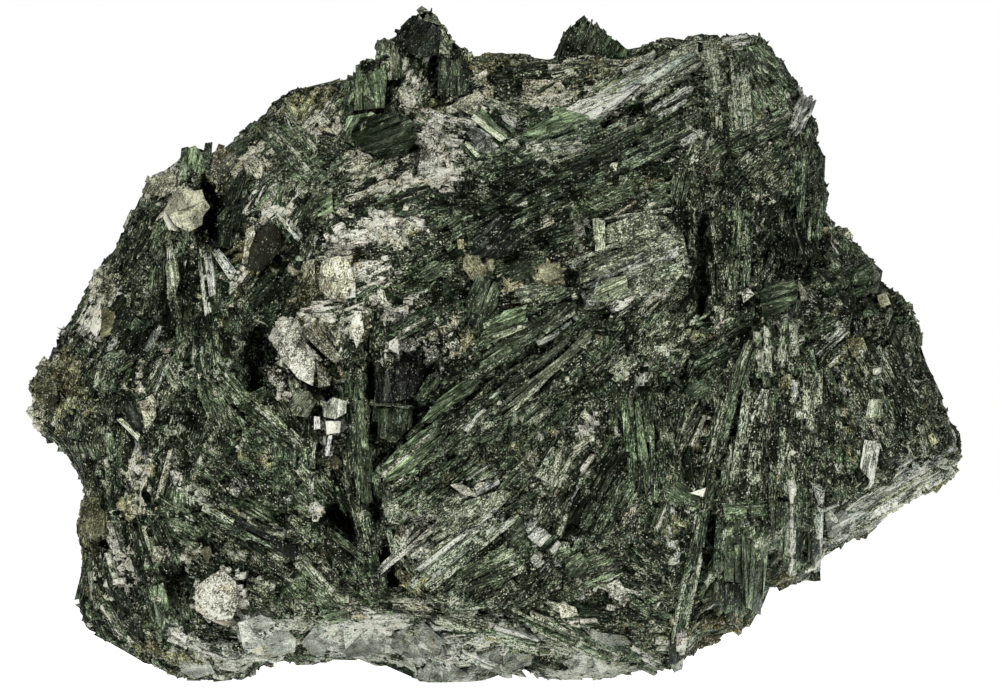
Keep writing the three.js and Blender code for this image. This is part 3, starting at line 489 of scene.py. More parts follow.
    Patch(GREY, (-8.6, 1.2), (15.5, 2.8), -5, 0.8),
    Patch(GREY, (13.3, 0.6), (14.2, 2.3), -5, 0.8),
    Patch(GREY, (41.1, 13.3), (4.4, 2.1), 20, 0.8),
    Patch(CLEAVAGE_SHINE, (-21.1, 33.0), (3.4, 6.4), 0, 0.5),
)

RUNS = (
    Run((-16.3, 76.8), 92, 6.4),
    Run((-8.6, 80.0), 80, 6.4),
    Run((12.1, 80.0), 5, 6.4),
    Run((1.7, 78.8), -5, 6.4),
    Run((-38.7, 66.8), 90, 3.9),
    Run((-34.3, 61.1), 74, 6.4),
    Run((-26.6, 68.4), -50, 5.2),
    Run((-41.6, 52.3), 97, 5.2),
    Run((-31.8, 53.0), 50, 5.2),
    Run((-48.5, 55.6), 50, 6.4),
    Run((-49.8, 40.1), 65, 5.2),
    Run((-36.3, 44.0), 100, 4.5),
    Run((-31.8, 36.2), -45, 6.4),
    Run((-43.4, 32.4), 80, 5.2),
    Run((-31.0, 19.5), -24, 7.1),
    Run((-51.1, 10.4), -65, 7.7),
    Run((-42.7, 9.2), -80, 5.8),
    Run((-22.7, 13.0), -45, 5.8),
    Run((-25.3, 25.9), -60, 6.4),
    Run((-16.3, 32.4), 90, 6.4),
    Run((-15.7, 16.9), -72, 5.2),
    Run((-7.9, 59.4), 20, 7.7),
    Run((-2.1, 71.0), -42, 5.2),
    Run((-7.3, 32.4), 38, 7.1),
    Run((5.6, 41.4), 38, 8.4),
    Run((0.5, 54.3), 15, 6.4),
    Run((5.0, 49.1), 15, 4.5),
    Run((13.3, 76.2), 27, 7.7),
    Run((13.3, 68.4), 25, 9.0),
    Run((5.6, 63.3), 26, 7.7),
    Run((22.4, 78.1), 25, 5.8),
    Run((17.2, 55.6), 22, 7.1),
    Run((13.3, 50.4), 28, 3.9),
    Run((28.6, 73.6), 90, 6.4),
    Run((26.9, 56.8), 90, 7.1),
    Run((35.3, 77.5), -55, 5.2),
    Run((39.1, 73.0), 62, 3.9),
    Run((34.0, 64.6), 40, 7.1),
    Run((39.1, 59.4), 80, 6.4),
    Run((32.0, 54.3), 75, 5.2),
    Run((21.1, 42.7), 50, 7.7),
    Run((29.5, 33.6), 76, 6.4),
    Run((25.6, 18.2), 78, 7.7),
    Run((36.5, 32.4), 86, 7.7),
    Run((34.6, 19.5), 90, 7.7),
    Run((43.0, 33.6), -68, 6.4),
    Run((49.4, 37.5), -58, 6.4),
    Run((50.7, 23.3), 32, 7.7),
    Run((45.6, 49.1), 30, 6.4),
    Run((17.2, 32.4), 84, 6.4),
    Run((8.2, 32.4), 45, 6.4),
    Run((13.3, 23.3), 62, 6.4),
    Run((-6.0, 19.5), 35, 7.7),
    Run((3.0, 15.6), 40, 6.4),
    Run((18.5, 15.6), -40, 6.4),
    Run((8.2, 5.3), -22, 7.7),
    Run((-6.0, 4.0), -15, 7.7),
    Run((-20.2, 5.3), 4, 7.7),
    Run((-33.1, 4.0), 5, 7.7),
)

CRACKS = (
    Crack(((-16.3, 45.0), (-15.9, 36.2), (-15.7, 23.3), (-14.9, 18.8), (-13.6, 14.6), (-12.6, 10.7)), 1.2,
          2.2),
    Crack(((26.6, 60.1), (26.4, 53.6), (26.1, 45.9)), 1.2, 0.8),
    Crack(((29.8, 80.3), (29.5, 72.3), (29.1, 62.6)), 0.9, 0.8),
    Crack(((32.2, 39.1), (30.7, 34.3), (29.7, 30.8)), 0.8, 1.2),
    Crack(((31.0, 35.2), (27.9, 24.6), (25.2, 10.7), (23.3, 3.2)), 0.6, 1.6),
    Crack(((28.0, 21.3), (27.3, 15.6), (27.0, 10.4)), 1.0, 2.0),
    Crack(((-8.1, 81.1), (-7.4, 74.4)), 0.8, 2.0),
    Crack(((-13.5, 73.1), (-8.6, 73.7), (-3.4, 74.8)), 0.5, 1.2),
    Crack(((11.8, 70.1), (18.5, 73.9), (25.5, 78.1)), 0.9, 1.6),
    Crack(((0.5, 60.7), (10.8, 65.9), (22.1, 71.7)), 0.6, 1.2),
    Crack(((-2.1, 61.0), (5.6, 64.3), (9.5, 66.1)), 0.6, 1.2),
    Crack(((-10.1, 32.4), (0.5, 39.3), (10.8, 47.0)), 0.8, 0.7),
    Crack(((-15.0, 29.1), (-12.7, 30.3), (-10.4, 32.4)), 1.0, 1.8),
    Crack(((9.0, 54.0), (9.5, 50.4), (11.2, 48.5)), 1.0, 1.8),
    Crack(((-10.9, 72.6), (-9.7, 69.7), (-10.1, 66.1)), 1.3, 2.0),
    Crack(((39.5, 36.0), (39.9, 31.1)), 1.2, 1.6),
    Crack(((-25.3, 39.8), (-23.0, 37.3), (-20.2, 36.7)), 1.2, 2.0),
    Crack(((-24.4, 44.5), (-22.0, 41.9), (-19.9, 39.8)), 0.8, 1.6),
    Crack(((-22.5, 34.9), (-22.5, 27.2)), 0.6, 1.6),
    Crack(((10.1, 7.6), (13.3, 4.5)), 0.5, 1.4),
    Crack(((-3.4, 8.9), (1.2, 8.4), (4.1, 6.6)), 0.9, 1.8),
    Crack(((-32.0, 36.5), (-33.1, 32.4), (-35.4, 26.7)), 0.5, 1.2),
    Crack(((-28.4, 45.2), (-28.3, 41.1), (-26.4, 38.3)), 0.9, 2.0),
    Crack(((24.4, 10.4), (24.2, 5.3)), 0.8, 1.6),
    Crack(((-38.2, 18.2), (-41.1, 13.0), (-40.8, 8.9)), 0.8, 1.4),
)

HOLLOWS = (
    Hollow((-36.8, 60.5), (3.6, 9.8), 2.0),
    Hollow((-30.2, 41.6), (3.1, 10.3), 1.3),
    Hollow((-21.5, 37.8), (5.2, 2.3), 2.0),
    Hollow((-19.4, 20.5), (4.9, 4.6), 2.0),
    Hollow((-10.5, 39.8), (5.7, 3.9), 2.2),
    Hollow((-11.9, 32.6), (4.6, 5.7), 1.2),
    Hollow((-46.1, 26.7), (1.5, 1.5), 1.6),
    Hollow((-44.7, 23.7), (1.5, 1.5), 1.6),
    Hollow((-9.9, 69.5), (1.5, 5.7), 1.6),
    Hollow((2.5, 71.3), (1.5, 2.8), 1.8),
    Hollow((-28.3, 56.3), (2.6, 3.9), 1.8),
    Hollow((-34.6, 5.2), (4.4, 1.8), 1.4),
    Hollow((-40.8, 11.7), (2.8, 5.2), 1.6),
    Hollow((-32.2, 13.0), (1.8, 3.4), 1.6),
    Hollow((23.7, 70.6), (2.3, 2.3), 1.2),
    Hollow((12.3, 29.0), (1.8, 1.8), 1.4),
    Hollow((48.8, 42.4), (4.4, 3.4), 1.4),
    Hollow((-37.2, 25.7), (2.6, 1.0), 1.0),
    Hollow((11.8, 74.4), (2.8, 1.8), 1.2),
    Hollow((8.2, 77.5), (1.8, 1.8), 1.0),
)

NUDGES = (
    Nudge((44.5, 59.9), (6.4, 6.4), (-0.5, -0.6)),
    Nudge((48.1, 54.0), (6.4, 9.0), (-0.6, -0.4)),
    Nudge((41.7, 71.3), (5.2, 7.7), (-0.45, 0)),
    Nudge((55.9, 40.7), (5.2, 6.4), (-0.4, 0)),
    Nudge((57.8, 36.2), (5.2, 5.2), (-0.4, 0)),
    Nudge((50.7, 20.8), (18.0, 7.7), (0, 0.35)),
    Nudge((43.2, 15.0), (4.6, 5.2), (-0.9, 0.7)),
    Nudge((36.3, 10.7), (5.2, 4.6), (-0.6, 1.0)),
    Nudge((-36.3, -1.2), (15.5, 6.4), (0, 0.4)),
    Nudge((-30.2, 1.7), (6.4, 5.2), (-0.8, 0.3)),
    Nudge((-20.2, 2.7), (6.4, 5.2), (0, 0.4)),
    Nudge((-12.0, 1.2), (5.2, 4.6), (0.6, 0)),
    Nudge((2.1, -0.4), (5.2, 5.2), (0, 0.7)),
    Nudge((12.1, -0.4), (14.2, 5.2), (0, 0.6)),
    Nudge((21.1, 0.4), (7.7, 5.2), (0, 0.4)),
    Nudge((-52.1, 7.1), (6.4, 7.7), (-0.6, -0.3)),
    Nudge((-47.2, 3.4), (9.0, 5.2), (0, -0.2)),
    Nudge((-43.4, 66.4), (7.7, 6.4), (0.3, -0.3)),
    Nudge((-37.2, 69.7), (7.7, 5.2), (0, -0.7)),
    Nudge((-30.2, 73.3), (5.2, 5.2), (0.3, -0.4)),
    Nudge((-24.7, 76.7), (5.2, 3.9), (0, -0.3)),
    Nudge((-18.1, 79.3), (4.6, 5.2), (0.4, -0.4)),
    Nudge((-15.5, 81.9), (3.1, 3.9), (0.3, 0)),
    Nudge((-3.4, 81.3), (5.2, 4.6), (-0.3, -0.6)),
    Nudge((7.0, 81.6), (3.9, 5.2), (0.6, -0.2)),
    Nudge((-12.4, 84.2), (4.6, 4.6), (-0.3, 0.1)),
    Nudge((-8.1, 85.7), (3.9, 3.9), (0.3, 0.25)),
    Nudge((12.1, 84.9), (6.4, 5.2), (0.15, 0.3)),
    Nudge((15.7, 82.4), (5.2, 5.2), (0.15, 0.25)),
    Nudge((22.4, 83.1), (12.9, 5.2), (0, 0.3)),
)

WASHES = (
    # Painted light on the pale plates along the foot, as lit from below.
    Wash((-12.4, 4.0), (38.7, 10.3), 0.8),
    Wash((18.5, 4.0), (23.2, 11.6), 0.8),
    Wash((-38.2, 0.4), (15.5, 5.2), 0.8),
    # The smooth break at the lower right.
    Wash((50.7, 24.6), (19.3, 9.0), 0.5),
    # Painted shade in the middle cavity, the slot beside the pale block, the upper hollow and the left
    # shoulder.
    Wash((-8.6, 42.7), (14.2, 11.6), -0.9),
    Wash((23.9, 59.0), (6.2, 7.7), -1.0),
    Wash((39.1, 52.3), (11.6, 7.7), -0.6),
    Wash((-44.7, 45.2), (15.5, 15.5), -0.5),
)

SHEAVES = (
    # Top edge.
    Sheaf(BRIGHT, ((-16.7, 73.2), (-16.8, 79.9)), 2.8, 4, 0.9, None, PALE),
    Sheaf(GREEN, ((-19.3, 72.6), (-18.5, 78.2)), 1.4, 2, 0.7),
    Sheaf(PALE, ((-14.6, 79.8), (-14.5, 82.4)), 1.7, 2, 0.7, None, BRIGHT),
    Sheaf(DARK, ((-5.3, 75.1), (-4.8, 81.1)), 2.4, 3, 0.8, None, GREEN),
    Sheaf(GREEN, ((-6.9, 75.1), (-6.4, 80.6)), 0.9, 1, 1.0),
    Sheaf(DARK, ((-0.8, 78.0), (6.6, 78.8)), 1.5, 2, 0.6, None, GROUND),
    Sheaf(CREAM, ((8.2, 79.9), (13.3, 80.3)), 0.8, 2, 1.0),
    Sheaf(BRIGHT, ((-2.8, 72.6), (1.2, 69.6)), 1.2, 2, 1.5, None, PALE),
    Sheaf(GREEN, ((-1.2, 73.2), (2.1, 70.3)), 1.0, 2, 1.0, None, DARK),
    Sheaf(BRIGHT, ((-4.2, 68.8), (-2.3, 67.2)), 1.0, 2, 1.1, None, PALE),
    # Upper left.
    Sheaf(BRIGHT, ((-38.7, 64.8), (-38.6, 68.7)), 3.4, 5, 1.5, None, GREEN),
    Sheaf(DARK, ((-35.6, 56.1), (-32.9, 65.6)), 1.5, 3, 1.0, None, GREY),
    Sheaf(DARK, ((-34.2, 55.8), (-32.0, 64.8)), 1.2, 2, 0.7, None, GREEN),
    Sheaf(BRIGHT, ((-43.8, 56.8), (-42.9, 59.0)), 1.4, 3, 1.2),
    Sheaf(PALE, ((-41.8, 56.5), (-41.8, 48.7)), 1.5, 3, 1.2, None, BRIGHT),
    Sheaf(BRIGHT, ((-41.4, 49.4), (-40.1, 43.3)), 1.2, 2, 0.8),
    Sheaf(GREY, ((-28.0, 60.5), (-24.8, 56.7)), 1.0, 2, 1.0),
    Sheaf(GREEN, ((-29.7, 71.3), (-24.3, 64.8)), 2.3, 4, 0.7, None, PALE),
    Sheaf(PALE, ((-26.9, 72.8), (-23.5, 68.2)), 1.2, 2, 0.8, None, BRIGHT),
    Sheaf(GREY, ((-35.9, 55.3), (-33.6, 52.2)), 1.2, 2, 0.9),
    Sheaf(DARK, ((-37.4, 54.8), (-36.4, 47.6)), 1.8, 4, 0.6, None, GREY),
    Sheaf(PALE, ((-51.5, 38.0), (-50.6, 41.1)), 3.4, 5, 1.0, ((-48.9, 37.5), (-48.4, 41.1)), GREEN),
    Sheaf(BRIGHT, ((-36.3, 44.9), (-35.5, 39.8)), 1.3, 2, 0.8, None, PALE),
    Sheaf(BRIGHT, ((-35.4, 40.3), (-31.8, 35.6)), 2.1, 4, 0.9, None, PALE),
    Sheaf(GREEN, ((-32.5, 36.5), (-25.1, 30.3)), 2.3, 4, 1.0, None, PALE),
    Sheaf(GREEN, ((-36.7, 21.9), (-25.1, 16.5)), 1.4, 2, 1.2, None, DARK),
    Sheaf(PALE, ((-37.4, 22.8), (-31.5, 19.5)), 0.9, 1, 1.0),
    Sheaf(GREEN, ((-52.1, 16.6), (-53.7, 10.4)), 1.0, 2, 0.6, None, DARK),
    Sheaf(GREEN, ((-53.2, 10.2), (-49.6, 5.0)), 1.2, 2, 0.5, None, PALE),
    Sheaf(GREEN, ((-49.3, 11.0), (-45.9, 5.0)), 2.6, 4, 0.6, None, DARK),
    Sheaf(BRIGHT, ((-44.4, 12.5), (-42.6, 6.3)), 2.1, 4, 0.7, None, GREEN),
    Sheaf(PALE, ((-25.6, 16.1), (-19.7, 10.2)), 1.5, 3, 0.8, None, BRIGHT),
    Sheaf(PALE, ((-23.3, 31.1), (-23.7, 24.4)), 0.8, 1, 0.9),
    # Middle left, along the long joint.
    Sheaf(BRIGHT, ((-17.5, 37.3), (-17.6, 23.1)), 1.5, 3, 1.1, None, GREEN),
    Sheaf(GREEN, ((-17.3, 23.3), (-15.5, 15.3)), 1.3, 2, 0.9, None, PALE),
    Sheaf(PALE, ((-19.1, 26.2), (-16.6, 16.1)), 0.5, 1, 0.8),
    Sheaf(GREEN, ((-15.1, 27.2), (-15.0, 17.5)), 0.9, 1, 1.0),
    Sheaf(GREEN, ((-14.4, 20.8), (-12.6, 13.3)), 1.2, 2, 0.9, None, PALE),
    Sheaf(DARK, ((-13.0, 35.7), (-12.8, 30.3)), 3.9, 4, 0.4, None, GREEN),
    Sheaf(PALE, ((-15.8, 36.1), (-10.9, 35.4)), 0.4, 1, 0.9),
    Sheaf(DARK, ((-15.5, 44.6), (-15.8, 37.3)), 1.2, 2, 0.6, None, GREEN),
    # The long bundle of the middle.
    Sheaf(BRIGHT, ((-8.8, 34.0), (-2.3, 39.2)), 1.7, 2, 1.5, None, BRIGHT),
    Sheaf(BRIGHT, ((-14.5, 25.9), (-7.5, 31.6)), 3.4, 5, 1.5, None, PALE),
    Sheaf(GREEN, ((-10.9, 31.1), (-7.5, 34.4)), 1.9, 3, 1.2),
    Sheaf(GREEN, ((-9.9, 36.0), (-8.1, 39.1)), 1.3, 2, 0.9),
    Sheaf(PALE, ((-1.7, 39.8), (10.0, 47.4)), 0.5, 1, 1.5),
    Sheaf(GREEN, ((-2.4, 40.6), (7.7, 46.8)), 1.8, 3, 1.0, None, DARK),
    Sheaf(GREEN, ((-13.1, 22.9), (-3.4, 29.5)), 1.4, 3, 1.0, None, DARK),
    Sheaf(GREEN, ((-11.1, 21.8), (-6.5, 25.4)), 0.9, 2, 0.8, None, PALE),
    Sheaf(PALE, ((-4.2, 33.6), (0.5, 37.3)), 0.9, 2, 1.1, None, GREEN),
    Sheaf(PALE, ((0.8, 34.7), (7.2, 40.6)), 1.7, 3, 1.3, None, GREY),
    Sheaf(GREY, ((6.6, 40.1), (12.3, 45.2)), 1.4, 3, 1.2, None, PALE),
    Sheaf(GREEN, ((-0.8, 36.5), (11.8, 46.3)), 1.7, 3, 1.1, None, DARK),
    Sheaf(GREEN, ((5.1, 47.6), (9.7, 50.1)), 1.8, 3, 1.1, None, PALE),
    Sheaf(PALE, ((5.9, 45.2), (10.3, 48.3)), 1.2, 2, 1.2, None, GREEN),
    Sheaf(PALE, ((2.4, 49.9), (7.2, 50.1)), 1.8, 4, 0.8, None, GREY),
    Sheaf(BRIGHT, ((-1.6, 44.5), (3.5, 46.8)), 3.4, 4, 0.6, None, PALE),
    Sheaf(GREEN, ((0.5, 68.4), (3.0, 66.4)), 0.8, 1, 0.6),
    # Upper right fan.
    Sheaf(CLEAVAGE_SHINE, ((9.0, 71.5), (19.3, 77.5)), 2.6, 5, 0.8, None, PALE),
    Sheaf(CLEAVAGE_SHINE, ((11.9, 70.6), (18.2, 75.3)), 0.9, 1, 1.4),
    Sheaf(PALE, ((13.3, 75.1), (21.6, 79.8)), 3.4, 5, 0.7, None, GREY),
    Sheaf(PALE, ((18.5, 75.9), (26.0, 80.3)), 3.4, 5, 0.8, None, GREY),
    Sheaf(CLEAVAGE_SHINE, ((20.0, 73.3), (25.2, 76.4)), 0.9, 3, 0.9, None, PALE),
    Sheaf(GREEN, ((4.3, 69.5), (13.3, 72.6)), 6.4, 8, 0.5, ((3.0, 66.5), (12.1, 69.7)), PALE),
    Sheaf(GREEN, ((12.1, 68.4), (24.9, 75.4)), 7.7, 12, 0.7, ((8.2, 61.4), (24.9, 69.7)), DARK),
    Sheaf(DARK, ((0.2, 62.5), (12.1, 68.2)), 7.7, 11, 0.6, ((0.5, 58.4), (13.3, 63.5)), GREEN),
    Sheaf(DARK, ((-6.2, 55.6), (6.3, 62.0)), 2.8, 4, 0.7, None, GREEN),
    Sheaf(PALE, ((4.1, 68.2), (11.4, 69.0)), 1.8, 4, 1.0, None, GREY),
    Sheaf(PALE, ((20.6, 72.3), (24.2, 74.4)), 0.6, 2, 1.1, None, CLEAVAGE_SHINE),
    Sheaf(PALE, ((12.3, 49.1), (17.2, 51.4)), 2.8, 4, 1.0, None, GREY),
    Sheaf(PALE, ((10.0, 53.2), (19.8, 57.1)), 2.3, 4, 0.6, None, GREY),
    Sheaf(PALE, ((13.3, 57.9), (22.6, 59.2)), 3.4, 5, 0.6, None, GREY),
    Sheaf(GREY, ((15.7, 51.7), (23.7, 55.6)), 3.9, 6, 0.6, None, PALE),
    Sheaf(PALE, ((27.8, 81.6), (28.2, 71.0)), 1.5, 3, 0.8, None, GREEN),
    Sheaf(GREEN, ((31.1, 80.3), (31.6, 69.7)), 2.3, 4, 0.8, None, PALE),
    Sheaf(BRIGHT, ((32.9, 81.1), (36.8, 74.9)), 3.4, 5, 0.8, None, GREEN),
    Sheaf(GREY, ((38.2, 71.0), (40.0, 75.1)), 2.1, 6, 1.0, None, CLEAVAGE_SHINE),
    Sheaf(GREEN, ((30.4, 69.0), (37.6, 72.6)), 2.6, 4, 0.7, None, PALE),
    Sheaf(PALE, ((24.2, 71.4), (26.5, 69.5)), 0.4, 1, 1.1),
    Sheaf(GREY, ((23.7, 69.0), (26.5, 70.6)), 0.8, 3, 0.8),
    Sheaf(GREEN, ((31.6, 61.2), (30.9, 49.9)), 2.8, 5, 0.7, None, BRIGHT),
    Sheaf(GREEN, ((40.7, 68.4), (39.9, 56.8)), 3.1, 5, 0.6, None, BRIGHT),
    Sheaf(PALE, ((24.9, 62.0), (24.9, 54.5)), 1.0, 3, 0.7, None, GROUND),
    # Right.
    Sheaf(BRIGHT, ((32.9, 43.7), (28.3, 31.6)), 1.7, 3, 1.2, None, PALE),
    Sheaf(PALE, ((29.1, 36.2), (26.7, 26.7)), 1.5, 4, 1.2, None, GREEN),
    Sheaf(PALE, ((27.1, 27.2), (25.1, 15.3)), 1.7, 4, 1.3, None, GREEN),
    Sheaf(GREEN, ((25.3, 16.6), (22.6, 2.4)), 1.8, 4, 1.2, None, PALE),
    Sheaf(GROUND, ((31.6, 37.3), (29.3, 23.3)), 12.4, 13, 0.7, ((42.5, 39.8), (42.0, 23.3)), PALE),
    Sheaf(GREEN, ((28.0, 21.8), (27.5, 9.7)), 5.7, 7, 1.5, ((33.7, 20.8), (33.7, 8.9)), BRIGHT),
    Sheaf(GREEN, ((35.0, 26.7), (35.0, 15.3)), 6.7, 8, 1.1, ((41.4, 25.4), (41.4, 13.3)), GREY),
    Sheaf(GREEN, ((15.9, 37.0), (17.0, 25.9)), 4.6, 6, 0.8, ((20.0, 36.5), (20.3, 23.3)), BRIGHT),
    Sheaf(CLEAVAGE_SHINE, ((47.1, 25.7), (48.0, 30.5)), 1.7, 3, 1.3, None, GREY),
    Sheaf(GREY, ((42.2, 17.1), (58.5, 27.2)), 4.4, 14, 0.6, ((45.1, 23.3), (58.7, 30.3)), PALE),
    Sheaf(GROUND, ((44.9, 42.4), (49.2, 32.1)), 6.4, 8, 0.6, ((50.7, 43.2), (55.4, 34.2)), PALE),
    Sheaf(DARK, ((50.7, 33.1), (53.0, 29.4)), 1.4, 3, 1.0, None, PALE),
    Sheaf(GREY, ((42.2, 22.6), (45.1, 18.7)), 2.3, 3, 0.7, None, GREEN),
    Sheaf(DARK, ((44.0, 54.5), (48.4, 50.9)), 4.4, 3, 1.0, None, GREEN),
    Sheaf(GREEN, ((9.7, 20.8), (14.9, 31.1)), 4.4, 6, 0.6, ((13.3, 19.5), (18.8, 29.1)), DARK),
    Sheaf(PALE, ((-11.1, 17.9), (-2.9, 23.3)), 7.7, 11, 0.7, ((-8.3, 12.0), (2.0, 20.8)), GREY),
    Sheaf(PALE, ((6.6, 25.1), (8.4, 30.5)), 2.1, 3, 0.7, None, GREEN),
    # Bottom.
    Sheaf(PALE, ((-7.0, 8.8), (5.1, 5.0)), 2.1, 4, 1.2, None, GREY),
    Sheaf(PALE, ((3.5, 8.6), (16.2, 2.7)), 2.2, 4, 1.3, None, GREEN),
    Sheaf(GREEN, ((8.2, 8.1), (21.3, 1.7)), 2.1, 4, 1.1, None, GREY),
    Sheaf(GREY, ((-4.7, 3.7), (3.0, 0.4)), 1.8, 3, 0.8, None, PALE),
    Sheaf(DARK, ((23.1, 6.3), (22.8, 1.7)), 2.2, 2, 1.4, None, GREY),
)

